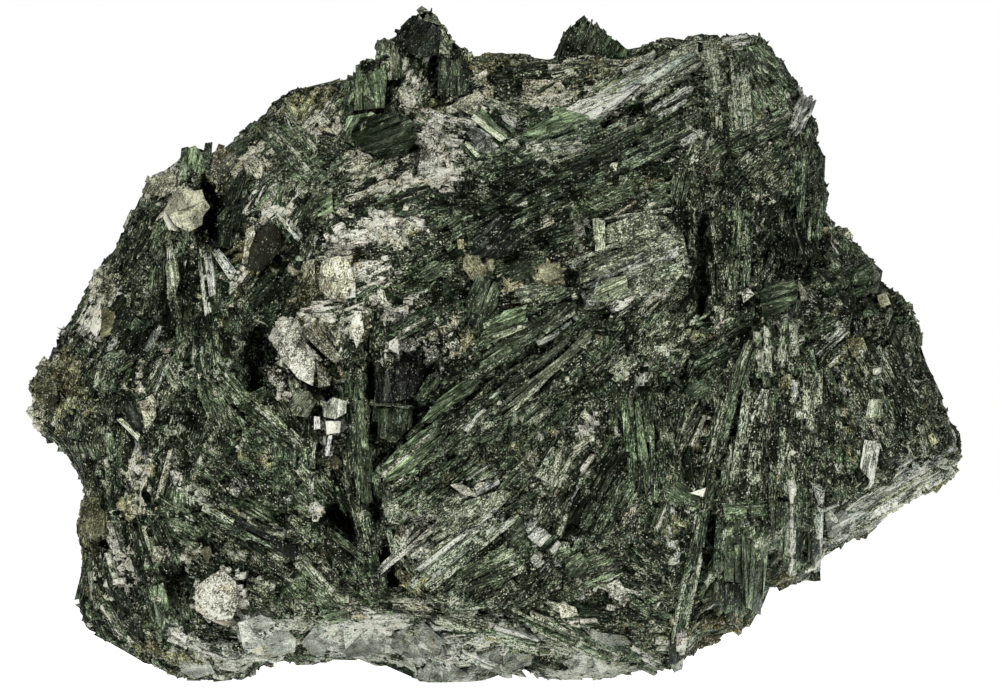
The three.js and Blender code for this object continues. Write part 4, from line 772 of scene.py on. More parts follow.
CRYSTALS = (
    # The main peak and the crystals under it.
    Crystal(DARK, ((-13.3, 82.8), (-11.0, 85.6), (-9.7, 85.1), (-8.3, 84.8), (-7.2, 83.5), (-7.7, 80.8),
            (-9.9, 80.0), (-12.2, 81.7)), 0.8, 60, 0.6, 0.3, -0.1),
    Crystal(PALE, ((-11.0, 85.6), (-10.8, 86.1), (-9.6, 87.0), (-7.7, 85.6), (-7.2, 84.3), (-8.6, 84.8),
            (-9.9, 85.1)), 0.5, 30, 0.1, 0, -0.6),
    Crystal(PALE, ((-7.2, 84.2), (-6.1, 82.6), (-5.2, 82.2), (-5.2, 81.2), (-6.4, 80.6), (-7.5, 80.7)), 0.3,
            -50, 0.1),
    Crystal(PALE, ((-15.1, 80.7), (-14.6, 83.1), (-12.7, 82.5), (-12.3, 80.3), (-13.0, 77.5), (-14.0, 77.5)),
            0.7, 95, 0.3, 0, -0.4),
    Crystal(BRIGHT, ((-18.5, 73.3), (-18.5, 75.9), (-17.8, 78.5), (-16.6, 80.6), (-14.5, 80.7), (-13.9, 77.5),
            (-14.4, 73.6)), 1, 95, 0.5, 0.3, 0.1),
    Crystal(GREEN, ((-7.4, 80.0), (-4.1, 81.6), (-3.7, 81.1), (-3.4, 75.1), (-7.2, 75.1)), 0.9, 88, 0.2, 0.2,
            -0.9),
    Crystal(BRIGHT, ((-7.4, 79.8), (-6.6, 80.0), (-6.5, 75.3), (-7.3, 75.3)), 1.2, 88, 0.6, 0, -0.6),
    Crystal(DARK, ((-18.6, 71.0), (-17.3, 72.3), (-14.8, 72.6), (-12.2, 73.0), (-10.6, 71.8), (-10.2, 69.7),
            (-11.4, 67.7), (-13.7, 67.2), (-16.3, 68.1), (-18.1, 69.0)), 1.5, 20, 0.9, 0.9, 0.6),
    Crystal(GREEN, ((-19.1, 72.6), (-16.0, 73.3), (-14.9, 72.6), (-17.3, 72.1), (-18.5, 70.8), (-18.4, 68.7),
            (-19.4, 69.6)), 3.3, 60, 0.5, 0, 1.2),
    Crystal(CREAM, ((-4.7, 74.9), (-2.1, 75.9), (-1.4, 74.4), (-3.4, 72.7), (-5.7, 73.9)), 0.7, 30, 0.1, 0.3,
            -0.6),
    Crystal(BRIGHT, ((-2.6, 73.0), (-1.9, 73.5), (1.7, 70.0), (1.4, 69.5)), 1.8, -42, 0.8, 0, 0.6),
    Crystal(PALE, ((-3.2, 72.4), (-2.6, 73.0), (1.2, 69.6), (0.6, 69.2)), 2, -42, 0.8, 0, 1),
    Crystal(PALE, ((-4.4, 69.0), (-3.9, 69.3), (-2.0, 67.5), (-2.5, 67.0)), 2.2, -42, 0.7, 0, 1.2),
    Crystal(GREY, ((-4.1, 70.5), (-2.6, 71.4), (0.5, 69.0), (-0.3, 67.5), (-2.1, 67.8)), 0.5, -42, 0.1, 0,
            -1.5),
    Crystal(GREEN, ((3.4, 69.9), (6.6, 72.6), (8.4, 73.6), (11.8, 72.6), (11.0, 70.5), (6.3, 69.7)), 0.4, 20,
            0.8, 0, 1.2),
    # The second peak and the plates beside it.
    Crystal(GREEN, ((7.7, 80.4), (8.4, 82.9), (9.5, 84.7), (11.0, 85.7), (13.0, 85.2), (13.6, 83.7),
            (13.9, 80.4)), 0.5, 70, 0.3, 0.3, -0.5),
    Crystal(DARK, ((13.9, 80.4), (13.7, 83.5), (15.0, 83.1), (16.8, 81.3), (16.7, 80.4)), 0.9, 60, 0.5, 0,
            1.1),
    Crystal(CLEAVAGE_SHINE, ((8.3, 73.2), (10.8, 74.8), (13.7, 75.1), (16.2, 75.9), (18.0, 76.7), (16.6, 75.0),
            (13.9, 72.6), (11.3, 70.8), (9.5, 71.3)), 0.7, 27, 0.3, 0, 0.6),
    Crystal(CLEAVAGE_SHINE, ((13.3, 72.3), (18.0, 76.6), (18.5, 76.2), (14.1, 72.7)), 2.6, 40, 0.5, 0, 1.2),
    Crystal(PALE, ((13.7, 75.4), (14.4, 77.5), (18.5, 79.0), (18.8, 77.6), (14.9, 75.3)), 0.6, 25, 0.7, 0,
            0.4),
    Crystal(PALE, ((18.8, 77.5), (19.3, 79.3), (23.7, 81.9), (25.8, 82.4), (26.0, 80.3), (22.1, 77.7),
            (19.8, 76.7)), 0.5, 27, 0.1, 0, 0.1),
    Crystal(CLEAVAGE_SHINE, ((29.6, 81.9), (30.1, 83.4), (31.6, 83.4), (31.0, 81.7)), 0.6, 75, 0.5, 0, 1),
    # The upper left.
    Crystal(BRIGHT, ((-40.1, 67.2), (-39.6, 68.6), (-38.6, 68.8), (-37.6, 68.3), (-37.3, 66.4), (-37.8, 65.0),
            (-39.9, 65.0)), 0.9, 90, 0.5, 0.4, 0.4),
    Crystal(CREAM, ((-36.5, 67.2), (-35.6, 69.0), (-33.7, 68.7), (-33.1, 67.2), (-34.5, 65.6), (-35.3, 64.3),
            (-36.7, 65.2)), 0.7, 70, 0.1, 0.5, -1.9),
    Crystal(CREAM, ((-45.7, 63.0), (-44.7, 65.1), (-42.9, 66.4), (-41.1, 65.6), (-41.1, 63.3), (-42.9, 62.5)),
            0.6, 40, 0.1, 0.3, -0.8),
    Crystal(CREAM, ((-42.5, 60.5), (-42.0, 62.1), (-41.2, 62.9), (-40.0, 64.1), (-39.0, 63.3), (-37.6, 63.3),
            (-37.4, 62.1), (-36.8, 60.8), (-37.7, 59.8), (-37.7, 58.6), (-39.5, 58.0), (-41.1, 58.5)), 0.7,
            80, 0.9, 0.8, -0.35),
    Crystal(FELDSPAR, ((-42.6, 60.5), (-41.3, 58.6), (-40.5, 57.5), (-41.8, 58.1), (-42.7, 59.3)), 1.4, 60,
            0.4, 0, 0.6),
    Crystal(DARK, ((-35.6, 55.8), (-35.5, 58.8), (-34.1, 63.3), (-32.7, 66.1), (-32.0, 65.6), (-33.1, 61.4),
            (-34.1, 55.6)), 0.8, 74, 0.4, 0, 0.6),
    Crystal(CREAM, ((-31.8, 58.1), (-30.9, 58.9), (-30.7, 57.6), (-31.5, 55.8), (-31.9, 53.8), (-32.4, 54.0),
            (-32.3, 56.1)), 1.8, 80, 0.1, 0.2, -0.6),
    Crystal(BROWN, ((-32.0, 53.5), (-31.3, 56.3), (-30.2, 58.6), (-28.8, 59.0), (-27.5, 57.7), (-27.4, 55.9),
            (-28.8, 53.9), (-30.7, 52.7)), 1, 60, 1, 0.8, -2.2),
    Crystal(FELDSPAR, ((-30.7, 61.5), (-29.5, 62.0), (-28.2, 61.9), (-27.3, 60.5), (-28.8, 59.2),
            (-30.2, 60.5)), 0.7, 40, 0.2, 0.2, -0.3),
    Crystal(CREAM, ((-22.9, 52.2), (-22.0, 54.0), (-20.4, 54.7), (-18.8, 53.9), (-18.0, 51.7), (-18.9, 49.4),
            (-21.1, 49.2), (-22.5, 50.4)), 0.8, 80, 0.4, 0.6),
    Crystal(FELDSPAR, ((-19.9, 49.6), (-19.3, 51.4), (-18.0, 51.2), (-18.1, 49.6), (-19.1, 49.0)), 1.7, 60,
            0.4, 0.2, 1.1),
    Crystal(CREAM, ((-24.7, 53.8), (-23.3, 54.1), (-22.9, 51.4), (-24.3, 50.9)), 0.5, 80, 0.3, 0, -0.7),
    Crystal(BRIGHT, ((-23.3, 62.0), (-20.9, 62.5), (-20.7, 60.2), (-22.7, 59.8)), 0.3, 30, 0.6, 0, -0.1),
    Crystal(PALE, ((-42.0, 56.1), (-40.9, 55.0), (-40.5, 51.7), (-41.2, 49.1), (-42.1, 50.4), (-42.6, 53.5)),
            0.6, 97, 0.4, 0.2),
    # The white lump and the bright blocks under it.
    Crystal(FELDSPAR, ((-28.2, 46.0), (-25.6, 46.7), (-24.6, 45.2), (-25.3, 43.3), (-22.7, 41.1),
            (-23.3, 38.3), (-25.3, 39.1), (-27.1, 41.1), (-28.3, 43.3)), 1.5, 50, 0.1, 0.8, -0.2),
    Crystal(CREAM, ((-24.3, 46.0), (-22.5, 45.4), (-20.7, 43.3), (-19.5, 41.6), (-20.4, 41.1), (-22.5, 42.7),
            (-24.6, 44.7)), 1.2, -40, 0.1, 0.2, -0.8),
    Crystal(CREAM, ((-22.7, 40.9), (-21.5, 39.8), (-21.2, 38.0), (-22.7, 37.9)), 0.8, -40, 0.2, 0, -1.3),
    Crystal(PALE, ((-26.6, 36.0), (-25.5, 37.9), (-23.8, 37.5), (-23.0, 36.0), (-23.9, 34.0), (-25.7, 34.3)),
            0.9, 50, 0.6, 0.7, -0.7),
    Crystal(CLEAVAGE_SHINE, ((-22.1, 35.6), (-20.6, 36.6), (-18.9, 36.1), (-18.9, 34.4), (-20.4, 33.9),
            (-22.1, 34.4)), 1.3, 85, 0.8, 0, -0.3),
    Crystal(CLEAVAGE_SHINE, ((-21.8, 33.6), (-19.8, 33.8), (-19.8, 32.1), (-21.6, 32.1)), 1.7, 85, 0.9, 0, 1.2),
    Crystal(CLEAVAGE_SHINE, ((-23.3, 34.2), (-22.5, 34.2), (-22.4, 32.6), (-23.1, 32.6)), 1.7, 85, 0.8, 0, 1.2),
    Crystal(CLEAVAGE_SHINE, ((-21.6, 31.7), (-20.9, 31.8), (-21.5, 29.4), (-22.0, 29.5)), 2.1, 80, 0.8, 0, 1.2),
    Crystal(OCHRE, ((-21.8, 29.0), (-20.2, 29.4), (-19.5, 28.1), (-21.5, 27.5)), 0.2, 0, 0.8, 0, -1.5),
    Crystal(FELDSPAR, ((-18.5, 45.5), (-18.0, 47.7), (-17.2, 47.8), (-16.9, 45.2), (-17.7, 42.7)), 1.3, 85,
            0.4, 0, 0.6),
    Crystal(FELDSPAR, ((-13.9, 41.6), (-13.5, 43.7), (-12.4, 44.6), (-12.3, 41.9)), 1.8, 80, 0.5, 0, 1.2),
    # Green crystals of the middle.
    Crystal(GREEN, ((-10.0, 52.3), (-8.7, 54.1), (-7.3, 54.0), (-6.5, 52.3), (-8.4, 51.3)), 1.2, 30, 0.5, 0.3,
            0.1),
    Crystal(GREEN, ((-3.4, 54.8), (-2.9, 57.4), (0.5, 59.9), (2.5, 58.6), (3.0, 55.8), (-0.6, 54.3)), 0.6, 45,
            0.3, 0.2, -2.2),
    Crystal(BRIGHT, ((-6.4, 59.0), (-4.8, 59.7), (-4.3, 58.3), (-5.9, 57.6)), 0.5, 40, 0.5, 0, -1.4),
    Crystal(GREEN, ((-3.9, 49.1), (-2.4, 52.2), (0.3, 51.0), (0.1, 48.6), (-1.1, 46.8), (-2.4, 45.2),
            (-3.7, 46.3)), 0.7, 70, 0.5, 0.2, -0.4),
    Crystal(BRIGHT, ((0.1, 46.8), (1.1, 47.8), (3.7, 48.3), (3.8, 46.8), (1.2, 44.5), (-1.4, 43.2),
            (-2.0, 44.5)), 0.9, 25, 0.6, 0.1, 0.5),
    Crystal(PALE, ((-1.4, 44.2), (3.0, 45.8), (3.9, 45.4), (-0.6, 43.6)), 1.7, 22, 0.4, 0, 0.8),
    Crystal(PALE, ((2.1, 50.4), (6.3, 51.2), (8.4, 50.3), (6.3, 49.1), (3.3, 48.7)), 0.8, 8, 0.3, 0, -0.2),
    Crystal(GREEN, ((1.5, 53.8), (4.1, 54.4), (5.0, 52.3), (2.3, 51.4)), 0.7, 20, 0.5, 0, -0.8),
    Crystal(OCHRE, ((-5.1, 56.7), (-4.3, 56.8), (-4.1, 55.6), (-4.8, 55.2)), 0.5, 80, 0.3, 0, -0.4),
    Crystal(OCHRE, ((-4.1, 54.8), (-2.8, 55.3), (-1.1, 52.8), (-1.5, 51.6), (-3.2, 51.8), (-4.1, 53.2)), 0.6,
            -50, 0.2, 0.2, -0.3),
    Crystal(OCHRE, ((0.5, 52.2), (2.0, 51.0), (2.3, 50.1), (1.1, 50.5)), 0.5, -45, 0.3, 0, -0.4),
    Crystal(OCHRE, ((5.4, 54.0), (8.2, 53.9), (8.6, 51.4), (6.4, 51.0), (5.4, 52.2)), 0.8, 0, 0.6, 0.2, -0.5),
    Crystal(PALE, ((12.3, 50.1), (13.3, 51.6), (16.6, 52.3), (16.8, 50.5), (14.2, 48.7), (13.0, 48.5)), 1, 25,
            0.6, 0, 0.2),
    Crystal(PALE, ((10.5, 53.2), (13.3, 54.8), (17.5, 55.8), (17.7, 54.0), (13.3, 52.3), (10.8, 51.2)), 0.6,
            22, 0.3, 0, -0.4),
    Crystal(PALE, ((12.3, 59.7), (13.9, 59.3), (13.9, 55.6), (12.6, 55.3)), 0.6, 90, 0.3, 0, 0.5),
    Crystal(PALE, ((14.1, 58.6), (18.5, 60.2), (21.7, 59.7), (24.0, 57.4), (24.3, 54.5), (22.1, 53.2),
            (18.5, 55.3), (14.9, 55.8)), 0.5, 20, 0.1, 0, -0.2),
    Crystal(PALE, ((18.0, 53.0), (21.1, 54.0), (24.2, 53.0), (22.6, 51.0), (19.1, 50.1), (17.2, 51.0)), 0.4,
            22, 0.1, 0, -0.5),
    # The long ribbons of the middle.
    Crystal(BRIGHT, ((-14.6, 27.5), (-13.5, 29.1), (-9.7, 32.7), (-7.5, 33.1), (-7.0, 31.6), (-9.3, 29.0),
            (-12.2, 26.2), (-14.2, 25.7)), 1, 39, 0.7, 0, -0.3),
    Crystal(BRIGHT, ((-9.7, 33.1), (-7.2, 36.5), (-4.1, 38.9), (-2.0, 39.1), (-2.9, 37.5), (-6.8, 34.9),
            (-8.2, 33.5)), 1.2, 38, 0.9),
    Crystal(GREEN, ((-2.3, 40.1), (-1.9, 42.0), (0.5, 43.7), (8.2, 49.0), (10.4, 49.2), (9.7, 47.6),
            (3.0, 43.3), (0.5, 41.1)), 0.8, 36, 0.6, 0, -0.5),
    Crystal(PALE, ((5.7, 45.5), (9.7, 48.9), (10.4, 48.3), (6.4, 44.9)), 1, 38, 0.7, 0, -0.2),
    Crystal(PALE, ((0.5, 34.8), (1.2, 36.7), (8.2, 42.3), (11.8, 45.8), (12.4, 44.2), (8.2, 40.3),
            (3.3, 36.2)), 0.9, 40, 0.7, 0, -0.4),
    Crystal(GREEN, ((-2.1, 36.0), (7.2, 43.2), (11.5, 46.8), (12.1, 46.3), (7.7, 42.2), (-1.4, 35.2)), 0.8,
            38, 0.6, 0, -1.6),
    Crystal(GREEN, ((-10.0, 36.0), (-8.8, 38.3), (-7.2, 39.4), (-7.0, 38.5), (-9.1, 35.6)), 0.7, 55, 0.6, 0,
            0.1),
    Crystal(BRIGHT, ((-18.0, 36.0), (-16.9, 36.5), (-16.2, 31.1), (-15.9, 27.2), (-16.3, 22.7), (-17.2, 23.3),
            (-17.8, 31.1)), 0.9, 91, 0.7, 0, -0.7),
    # A near-black sunken crystal in the cavity right of the blade: dark mineral, and painted shade.
    Crystal(DARK, ((-15.5, 41.1), (-10.1, 42.4), (-9.1, 39.8), (-10.6, 36.7), (-13.2, 36.2), (-15.4, 36.2)),
            -0.3, 85, 0.8, 0, -1.5),
    Crystal(GREEN, ((-15.3, 35.3), (-10.6, 35.2), (-11.0, 33.0), (-13.0, 31.1), (-15.0, 31.8)), 0.4, 85, 0.7,
            0, -1),
    Crystal(PALE, ((-15.5, 36.3), (-10.9, 35.8), (-10.8, 35.3), (-15.4, 35.8)), 1.1, -5, 0.6, 0, -0.7),
    Crystal(FELDSPAR, ((-6.0, 25.8), (-4.6, 25.9), (-3.2, 24.9), (-2.4, 23.8), (-4.2, 24.2)), 1.3, -28, 0.4,
            0.2, -0.6),
    Crystal(PALE, ((-6.8, 22.7), (0.5, 25.0), (2.0, 24.4), (-0.8, 21.0), (-5.7, 19.2), (-7.8, 20.5)), 0.4, 38,
            0.1),
    # The right side.
    Crystal(GREEN, ((28.3, 31.6), (28.9, 34.3), (29.8, 38.8), (31.6, 43.3), (32.9, 44.0), (33.2, 42.4),
            (31.4, 38.8), (30.4, 34.9), (29.3, 31.5)), 0.9, 74, 0.3),
    Crystal(GREEN, ((33.6, 50.1), (35.0, 51.0), (37.8, 51.7), (38.7, 50.4), (38.6, 48.7), (35.9, 47.0),
            (34.1, 46.8)), 1.3, 20, 0.9, 0.6, -0.6),
    Crystal(CREAM, ((38.5, 51.9), (39.4, 50.7), (39.9, 49.1), (39.1, 49.1)), 0.9, -60, 0.3, 0, -0.8),
    Crystal(GREEN, ((37.8, 48.6), (39.0, 49.4), (39.1, 46.8), (37.6, 46.7)), 0.8, 80, 0.8, 0, -2.2),
    Crystal(DARK, ((42.5, 52.2), (44.3, 54.0), (47.1, 54.5), (48.9, 53.0), (49.2, 51.2), (47.1, 49.4),
            (44.0, 49.6)), 0.8, 30, 0.6, 0.4, 0.7),
    Crystal(BROWN, ((44.5, 44.0), (46.7, 44.2), (47.4, 42.4), (45.6, 41.9)), 0.8, 20, 0.3, 0, -0.2),
    Crystal(OCHRE, ((48.9, 49.6), (50.2, 50.1), (50.7, 48.7), (49.4, 48.1)), 0.9, 20, 0.2, 0, 0.7),
    Crystal(FELDSPAR, ((24.7, 24.6), (26.6, 25.4), (26.4, 23.8)), 1.3, 30, 0.6, 0, 0.6),
    Crystal(FELDSPAR, ((31.1, 49.9), (32.0, 50.7), (32.8, 49.6), (31.4, 48.9)), 1.3, 20, 0.3),
    Crystal(GREEN, ((23.9, 37.3), (24.9, 38.8), (26.5, 39.1), (27.3, 37.5), (25.7, 36.2), (24.4, 36.5)), 0.5,
            40, 0.5, 0.3, 0.2),
    Crystal(GREEN, ((16.3, 36.5), (17.2, 36.5), (17.7, 31.3), (16.4, 31.6)), 0.7, 95, 0.5),
    Crystal(GREEN, ((17.5, 36.2), (18.5, 36.2), (19.0, 31.1), (20.0, 25.9), (19.3, 24.4), (18.2, 27.2)), 0.6,
            98, 0.5, 0, 0.6),
    Crystal(GREEN, ((21.1, 25.4), (23.7, 26.2), (25.8, 23.6), (24.9, 22.3), (22.1, 23.3)), 0.5, -30, 0.6, 0,
            0.2),
    Crystal(GREEN, ((28.8, 23.3), (34.2, 23.7), (34.5, 21.4), (29.1, 20.9)), 0.8, 0, 0.3, 0, 1.2),
    Crystal(GREEN, ((29.1, 20.6), (31.0, 21.1), (31.1, 13.0), (29.1, 13.0)), 1.5, 90, 0.7, 0, 0.3),
    Crystal(GREEN, ((31.4, 20.8), (34.2, 21.1), (34.7, 17.5), (34.2, 8.6), (31.9, 9.7), (31.4, 15.6)), 1.3,
            90, 0.4, 0, 0.7),
    Crystal(DARK, ((28.8, 12.8), (31.1, 12.8), (31.4, 10.4), (29.1, 10.4)), 1.2, 90, 0.5, 0, -0.3),
    Crystal(GREEN, ((35.0, 23.3), (37.4, 23.6), (37.6, 16.1), (35.3, 17.5)), 1, 90, 0.4, 0, 0.4),
    Crystal(DARK, ((37.8, 22.7), (39.1, 22.7), (39.4, 15.3), (38.1, 16.1)), 0.9, 90, 0.2, 0, 0.4),
    Crystal(GREEN, ((39.6, 22.0), (41.4, 21.4), (41.7, 14.1), (39.9, 15.6)), 1, 88, 0.3, 0, -0.4),
    Crystal(PALE, ((38.5, 15.0), (39.1, 15.9), (41.6, 14.1), (40.7, 13.1)), 2.3, 20, 0.5, 0, 1.2),
    Crystal(CLEAVAGE_SHINE, ((47.0, 31.1), (48.9, 31.1), (48.5, 27.5), (47.9, 25.7), (46.3, 27.7)), 1, 78, 0.4, 0,
            -0.3),
    Crystal(PALE, ((47.4, 36.7), (49.2, 36.3), (49.3, 33.9), (47.1, 34.2)), 1, 80),
    Crystal(GREY, ((42.0, 22.7), (44.9, 22.0), (45.1, 19.7), (42.5, 18.8)), 0.4, 30, 0.7, 0, -1.1),
    Crystal(GREY, ((45.6, 20.5), (58.5, 28.0), (59.1, 26.9), (46.9, 18.6)), 0.4, 31, 0.1, 0, 0.7),
    # The lower left.
    Crystal(GREEN, ((-36.2, 21.9), (-33.6, 21.5), (-25.3, 17.3), (-25.6, 16.1), (-33.1, 19.2), (-35.8, 20.6)),
            0.9, -25, 0.6, 0, -2.2),
    Crystal(OCHRE, ((-37.7, 17.1), (-36.7, 18.0), (-36.2, 16.5), (-37.2, 15.3)), 1, 60, 0.7, 0.2, -1),
    Crystal(FELDSPAR, ((-38.7, 12.2), (-36.7, 13.9), (-34.9, 14.6), (-33.3, 13.0), (-33.1, 10.4),
            (-33.8, 8.6), (-36.4, 8.2), (-38.5, 9.4)), 1.5, 40, 0.1, 0.9, 0.1),
    Crystal(FELDSPAR, ((-42.1, 7.3), (-41.3, 7.2), (-39.5, 5.8), (-40.0, 5.2), (-41.8, 6.1)), 1.3, -30, 0.3,
            0, 1.2),
    Crystal(GREY, ((-33.1, 8.1), (-30.2, 8.9), (-27.3, 7.6), (-25.6, 5.8), (-25.8, 4.0), (-29.5, 3.4),
            (-32.3, 4.5)), 0.4, 5, 0.8, 0, 0.1),
    Crystal(GREY, ((-40.8, 2.7), (-36.7, 3.0), (-36.2, 1.3), (-38.7, 0.5), (-40.5, 1.3)), 0.3, 10, 0.8, 0,
            0.1),
    Crystal(GREEN, ((-44.0, 12.4), (-42.6, 13.0), (-41.8, 10.4), (-42.6, 6.6), (-43.6, 7.9)), 0.6, 85, 0.4, 0,
            1),
    Crystal(BROWN, ((-53.6, 20.8), (-53.0, 22.6), (-51.4, 23.2), (-50.1, 21.8), (-50.3, 19.5), (-51.8, 18.3),
            (-53.2, 18.8)), 0.8, 60, 0.4, 0.8, -0.7),
    Crystal(BROWN, ((-59.4, 38.2), (-57.9, 39.4), (-56.3, 38.5), (-56.0, 36.2), (-57.6, 34.8), (-59.1, 35.7)),
            0.7, 20, 0.3, 0.8, -0.8),
    Crystal(CREAM, ((-59.1, 41.1), (-58.1, 42.2), (-56.3, 41.9), (-56.3, 40.6), (-58.3, 40.1)), 0.4, 20, 0.3,
            0, -0.1),
    Crystal(FELDSPAR, ((-52.3, 45.2), (-51.9, 47.4), (-51.0, 48.6), (-50.5, 45.9), (-51.1, 44.2)), 1.3, 70,
            0.4, 0.2, 0.5),
    Crystal(BROWN, ((-50.7, 48.3), (-48.8, 47.8), (-49.2, 44.6), (-50.8, 44.2)), 0.5, 30, 0.7, 0, 0.1),
    Crystal(DARK, ((-47.9, 35.7), (-47.0, 36.0), (-45.3, 34.0), (-45.2, 32.4), (-46.2, 32.1), (-47.5, 33.9)),
            1.1, -55, 0.9, 0, -1.4),
    Crystal(PALE, ((-48.5, 33.8), (-48.0, 34.0), (-45.7, 31.7), (-45.9, 31.1)), 1.7, -48, 0.5, 0, 1.2),
    Crystal(CREAM, ((-45.9, 36.1), (-43.6, 36.2), (-43.4, 34.4), (-44.9, 32.2)), 0.4, -60, 0.5, 0, -0.4),
    # The bottom.
    Crystal(GREY, ((10.8, 7.6), (13.3, 6.6), (16.7, 6.1), (17.2, 5.0), (14.9, 4.4), (12.1, 5.8)), 0.9, -15,
            0.7),
    Crystal(GREY, ((-25.3, 5.3), (-23.0, 7.3), (-19.5, 8.2), (-16.0, 7.9), (-14.0, 6.3), (-15.0, 4.0),
            (-19.5, 3.1), (-23.8, 3.5)), 0.4, 10, 0.7, 0.2, -0.15),
    Crystal(GREY, ((-13.2, 6.6), (-9.3, 7.9), (-6.8, 5.5), (-7.5, 3.4), (-11.4, 3.1), (-13.6, 4.5)), 0.4, -20,
            0.6, 0.2, -0.25),
    Crystal(GREY, ((-8.8, 2.7), (-6.0, 2.7), (-3.7, 1.2), (-7.3, 0.3), (-10.1, 1.2)), 0.3, -10, 0.6, 0.2,
            -0.4),
    Crystal(GREY, ((-3.2, 3.7), (0.5, 4.6), (5.0, 4.0), (4.3, 2.2), (0.5, 1.2), (-2.4, 1.7)), 0.3, 20, 0.5, 0,
            -0.7),
    Crystal(GREY, ((8.2, 3.0), (13.3, 3.7), (18.5, 2.7), (19.1, 1.7), (14.6, 1.0), (9.5, 1.2)), 0.3, -5, 0.6,
            0.2),
    Crystal(GREEN, ((-22.5, 8.9), (-19.5, 9.7), (-18.6, 8.6), (-20.7, 7.6)), 0.9, 10, 0.6, 0.2, 0.8),
    Crystal(DARK, ((21.9, 5.3), (22.5, 7.3), (23.9, 7.1), (24.2, 3.4), (23.0, 2.4), (22.0, 2.6)), 1.1, 85,
            0.7, 0, 0.1),
    Crystal(BRIGHT, ((0.5, 20.8), (3.0, 21.4), (3.9, 19.5), (2.4, 17.5), (0.7, 18.7)), 0.3, 40, 0.5, 0, -1.9),
    Crystal(BRIGHT, ((8.4, 15.9), (10.5, 16.9), (11.8, 15.6), (11.0, 13.5), (9.0, 13.8)), 0.5, 40, 0.5, 0.2,
            -0.5),
    Crystal(CREAM, ((7.9, 10.4), (10.1, 9.9), (10.8, 8.6), (8.4, 8.4)), 1.1, -20, 0.4, 0, -0.2),
    Crystal(FELDSPAR, ((14.1, 12.8), (15.7, 13.4), (16.6, 11.7), (15.7, 10.4), (14.4, 11.1)), 0.5, 30, 0.2,
            0.2, -0.6),
)


# ---- Chance and arrays -------------------------------------------------------------------------------


def unit(vectors: np.ndarray) -> np.ndarray:
    """Returns the vectors made one long."""
    return vectors / np.maximum(np.linalg.norm(vectors, axis=-1, keepdims=True), 1e-9)


def across_of(axes: np.ndarray, normals: np.ndarray) -> np.ndarray:
    """Returns the axes turned to lie square to the normals."""
    return unit(axes - normals * np.sum(axes * normals, axis=-1, keepdims=True))


def read(items: bpy.types.bpy_prop_collection, name: str, width: int, kind: type = float) -> np.ndarray:
    """Reads one property of a mesh's items into an array.

    Args:
        items: The mesh's vertices, loops or polygons.
        name: The property.
        width: How many numbers each item has.
        kind: Their type.

    Returns:
        An array of one row to an item, or a flat one where the width is 1.
    """
    values = np.empty(len(items) * width, dtype=np.float32 if kind is float else np.int32)
    items.foreach_get(name, values)
    values = values.astype(float if kind is float else np.int64)
    return values.reshape(-1, width) if width > 1 else values


def choose(obj: bpy.types.Object) -> None:
    """Deselects everything, then selects the object and makes it the active one."""
    bpy.ops.object.select_all(action="DESELECT")
    obj.select_set(True)
    bpy.context.view_layer.objects.active = obj


def distance_to_line(spots: np.ndarray, start: np.ndarray, end: np.ndarray) -> np.ndarray:
    """Returns how far each spot lies from a straight stretch, in the plane of the showy face."""
    run = end - start
    share = np.clip((spots - start) @ run / (run @ run), 0, 1)
    return np.linalg.norm(spots - start - share[:, None] * run, axis=1)


# ---- Where things grow -------------------------------------------------------------------------------


@dataclass
class Skin:
    """The rock's surface, as evenly spread points that crystals grow from.

    Attributes:
        points: The points, in millimetres.
        normals: The way the surface looks at each, smoothed over its small relief.
        tree: The surface itself, for straight lines to touch.
    """

    points: np.ndarray
    normals: np.ndarray
    tree: BVHTree

    @classmethod
    def of(cls, obj: bpy.types.Object, passes: int) -> "Skin":
        """Reads the skin of an even mesh.

        Args:
            obj: The mesh, in metres.
            passes: How often the normals are averaged with their neighbours'.

        Returns:
            The skin.
        """
        mesh = obj.data
        points = read(mesh.vertices, "co", 3) / MM
        normals = read(mesh.vertices, "normal", 3)
        edges = read(mesh.edges, "vertices", 2, int)
        for _ in range(passes):
            summed = normals.copy()
            np.add.at(summed, edges[:, 0], normals[edges[:, 1]])
            np.add.at(summed, edges[:, 1], normals[edges[:, 0]])
            normals = unit(summed)
        polygons = [tuple(polygon.vertices) for polygon in mesh.polygons]
        return cls(points, normals, BVHTree.FromPolygons(points.tolist(), polygons))

    def touch(self, x: float, z: float) -> tuple[np.ndarray, np.ndarray]:
        """Returns the showy face's point behind X and Z, or the nearest there is, and its smoothed normal."""
        hit = self.tree.ray_cast(Vector((x, -100, z)), Vector((0, 1, 0)))[0]
        if hit is None:
            hit = self.tree.find_nearest(Vector((x, 0, z)))[0]
        nearest = int(np.argmin(np.linalg.norm(self.points - np.array(hit), axis=1)))
        return np.array(hit), self.normals[nearest]

    def pick(self, rng: np.random.Generator, count: int) -> np.ndarray:
        """Returns the indices of points picked at random."""
        return rng.integers(0, len(self.points), count)

    def outside(self, spots: np.ndarray) -> np.ndarray:
        """Returns how far each spot stands off the surface, below 0 inside the rock."""
        gaps = []
        for spot in spots:
            near, normal = self.tree.find_nearest(Vector(spot))[:2]
            gaps.append((Vector(spot) - near).dot(normal))
        return np.array(gaps)


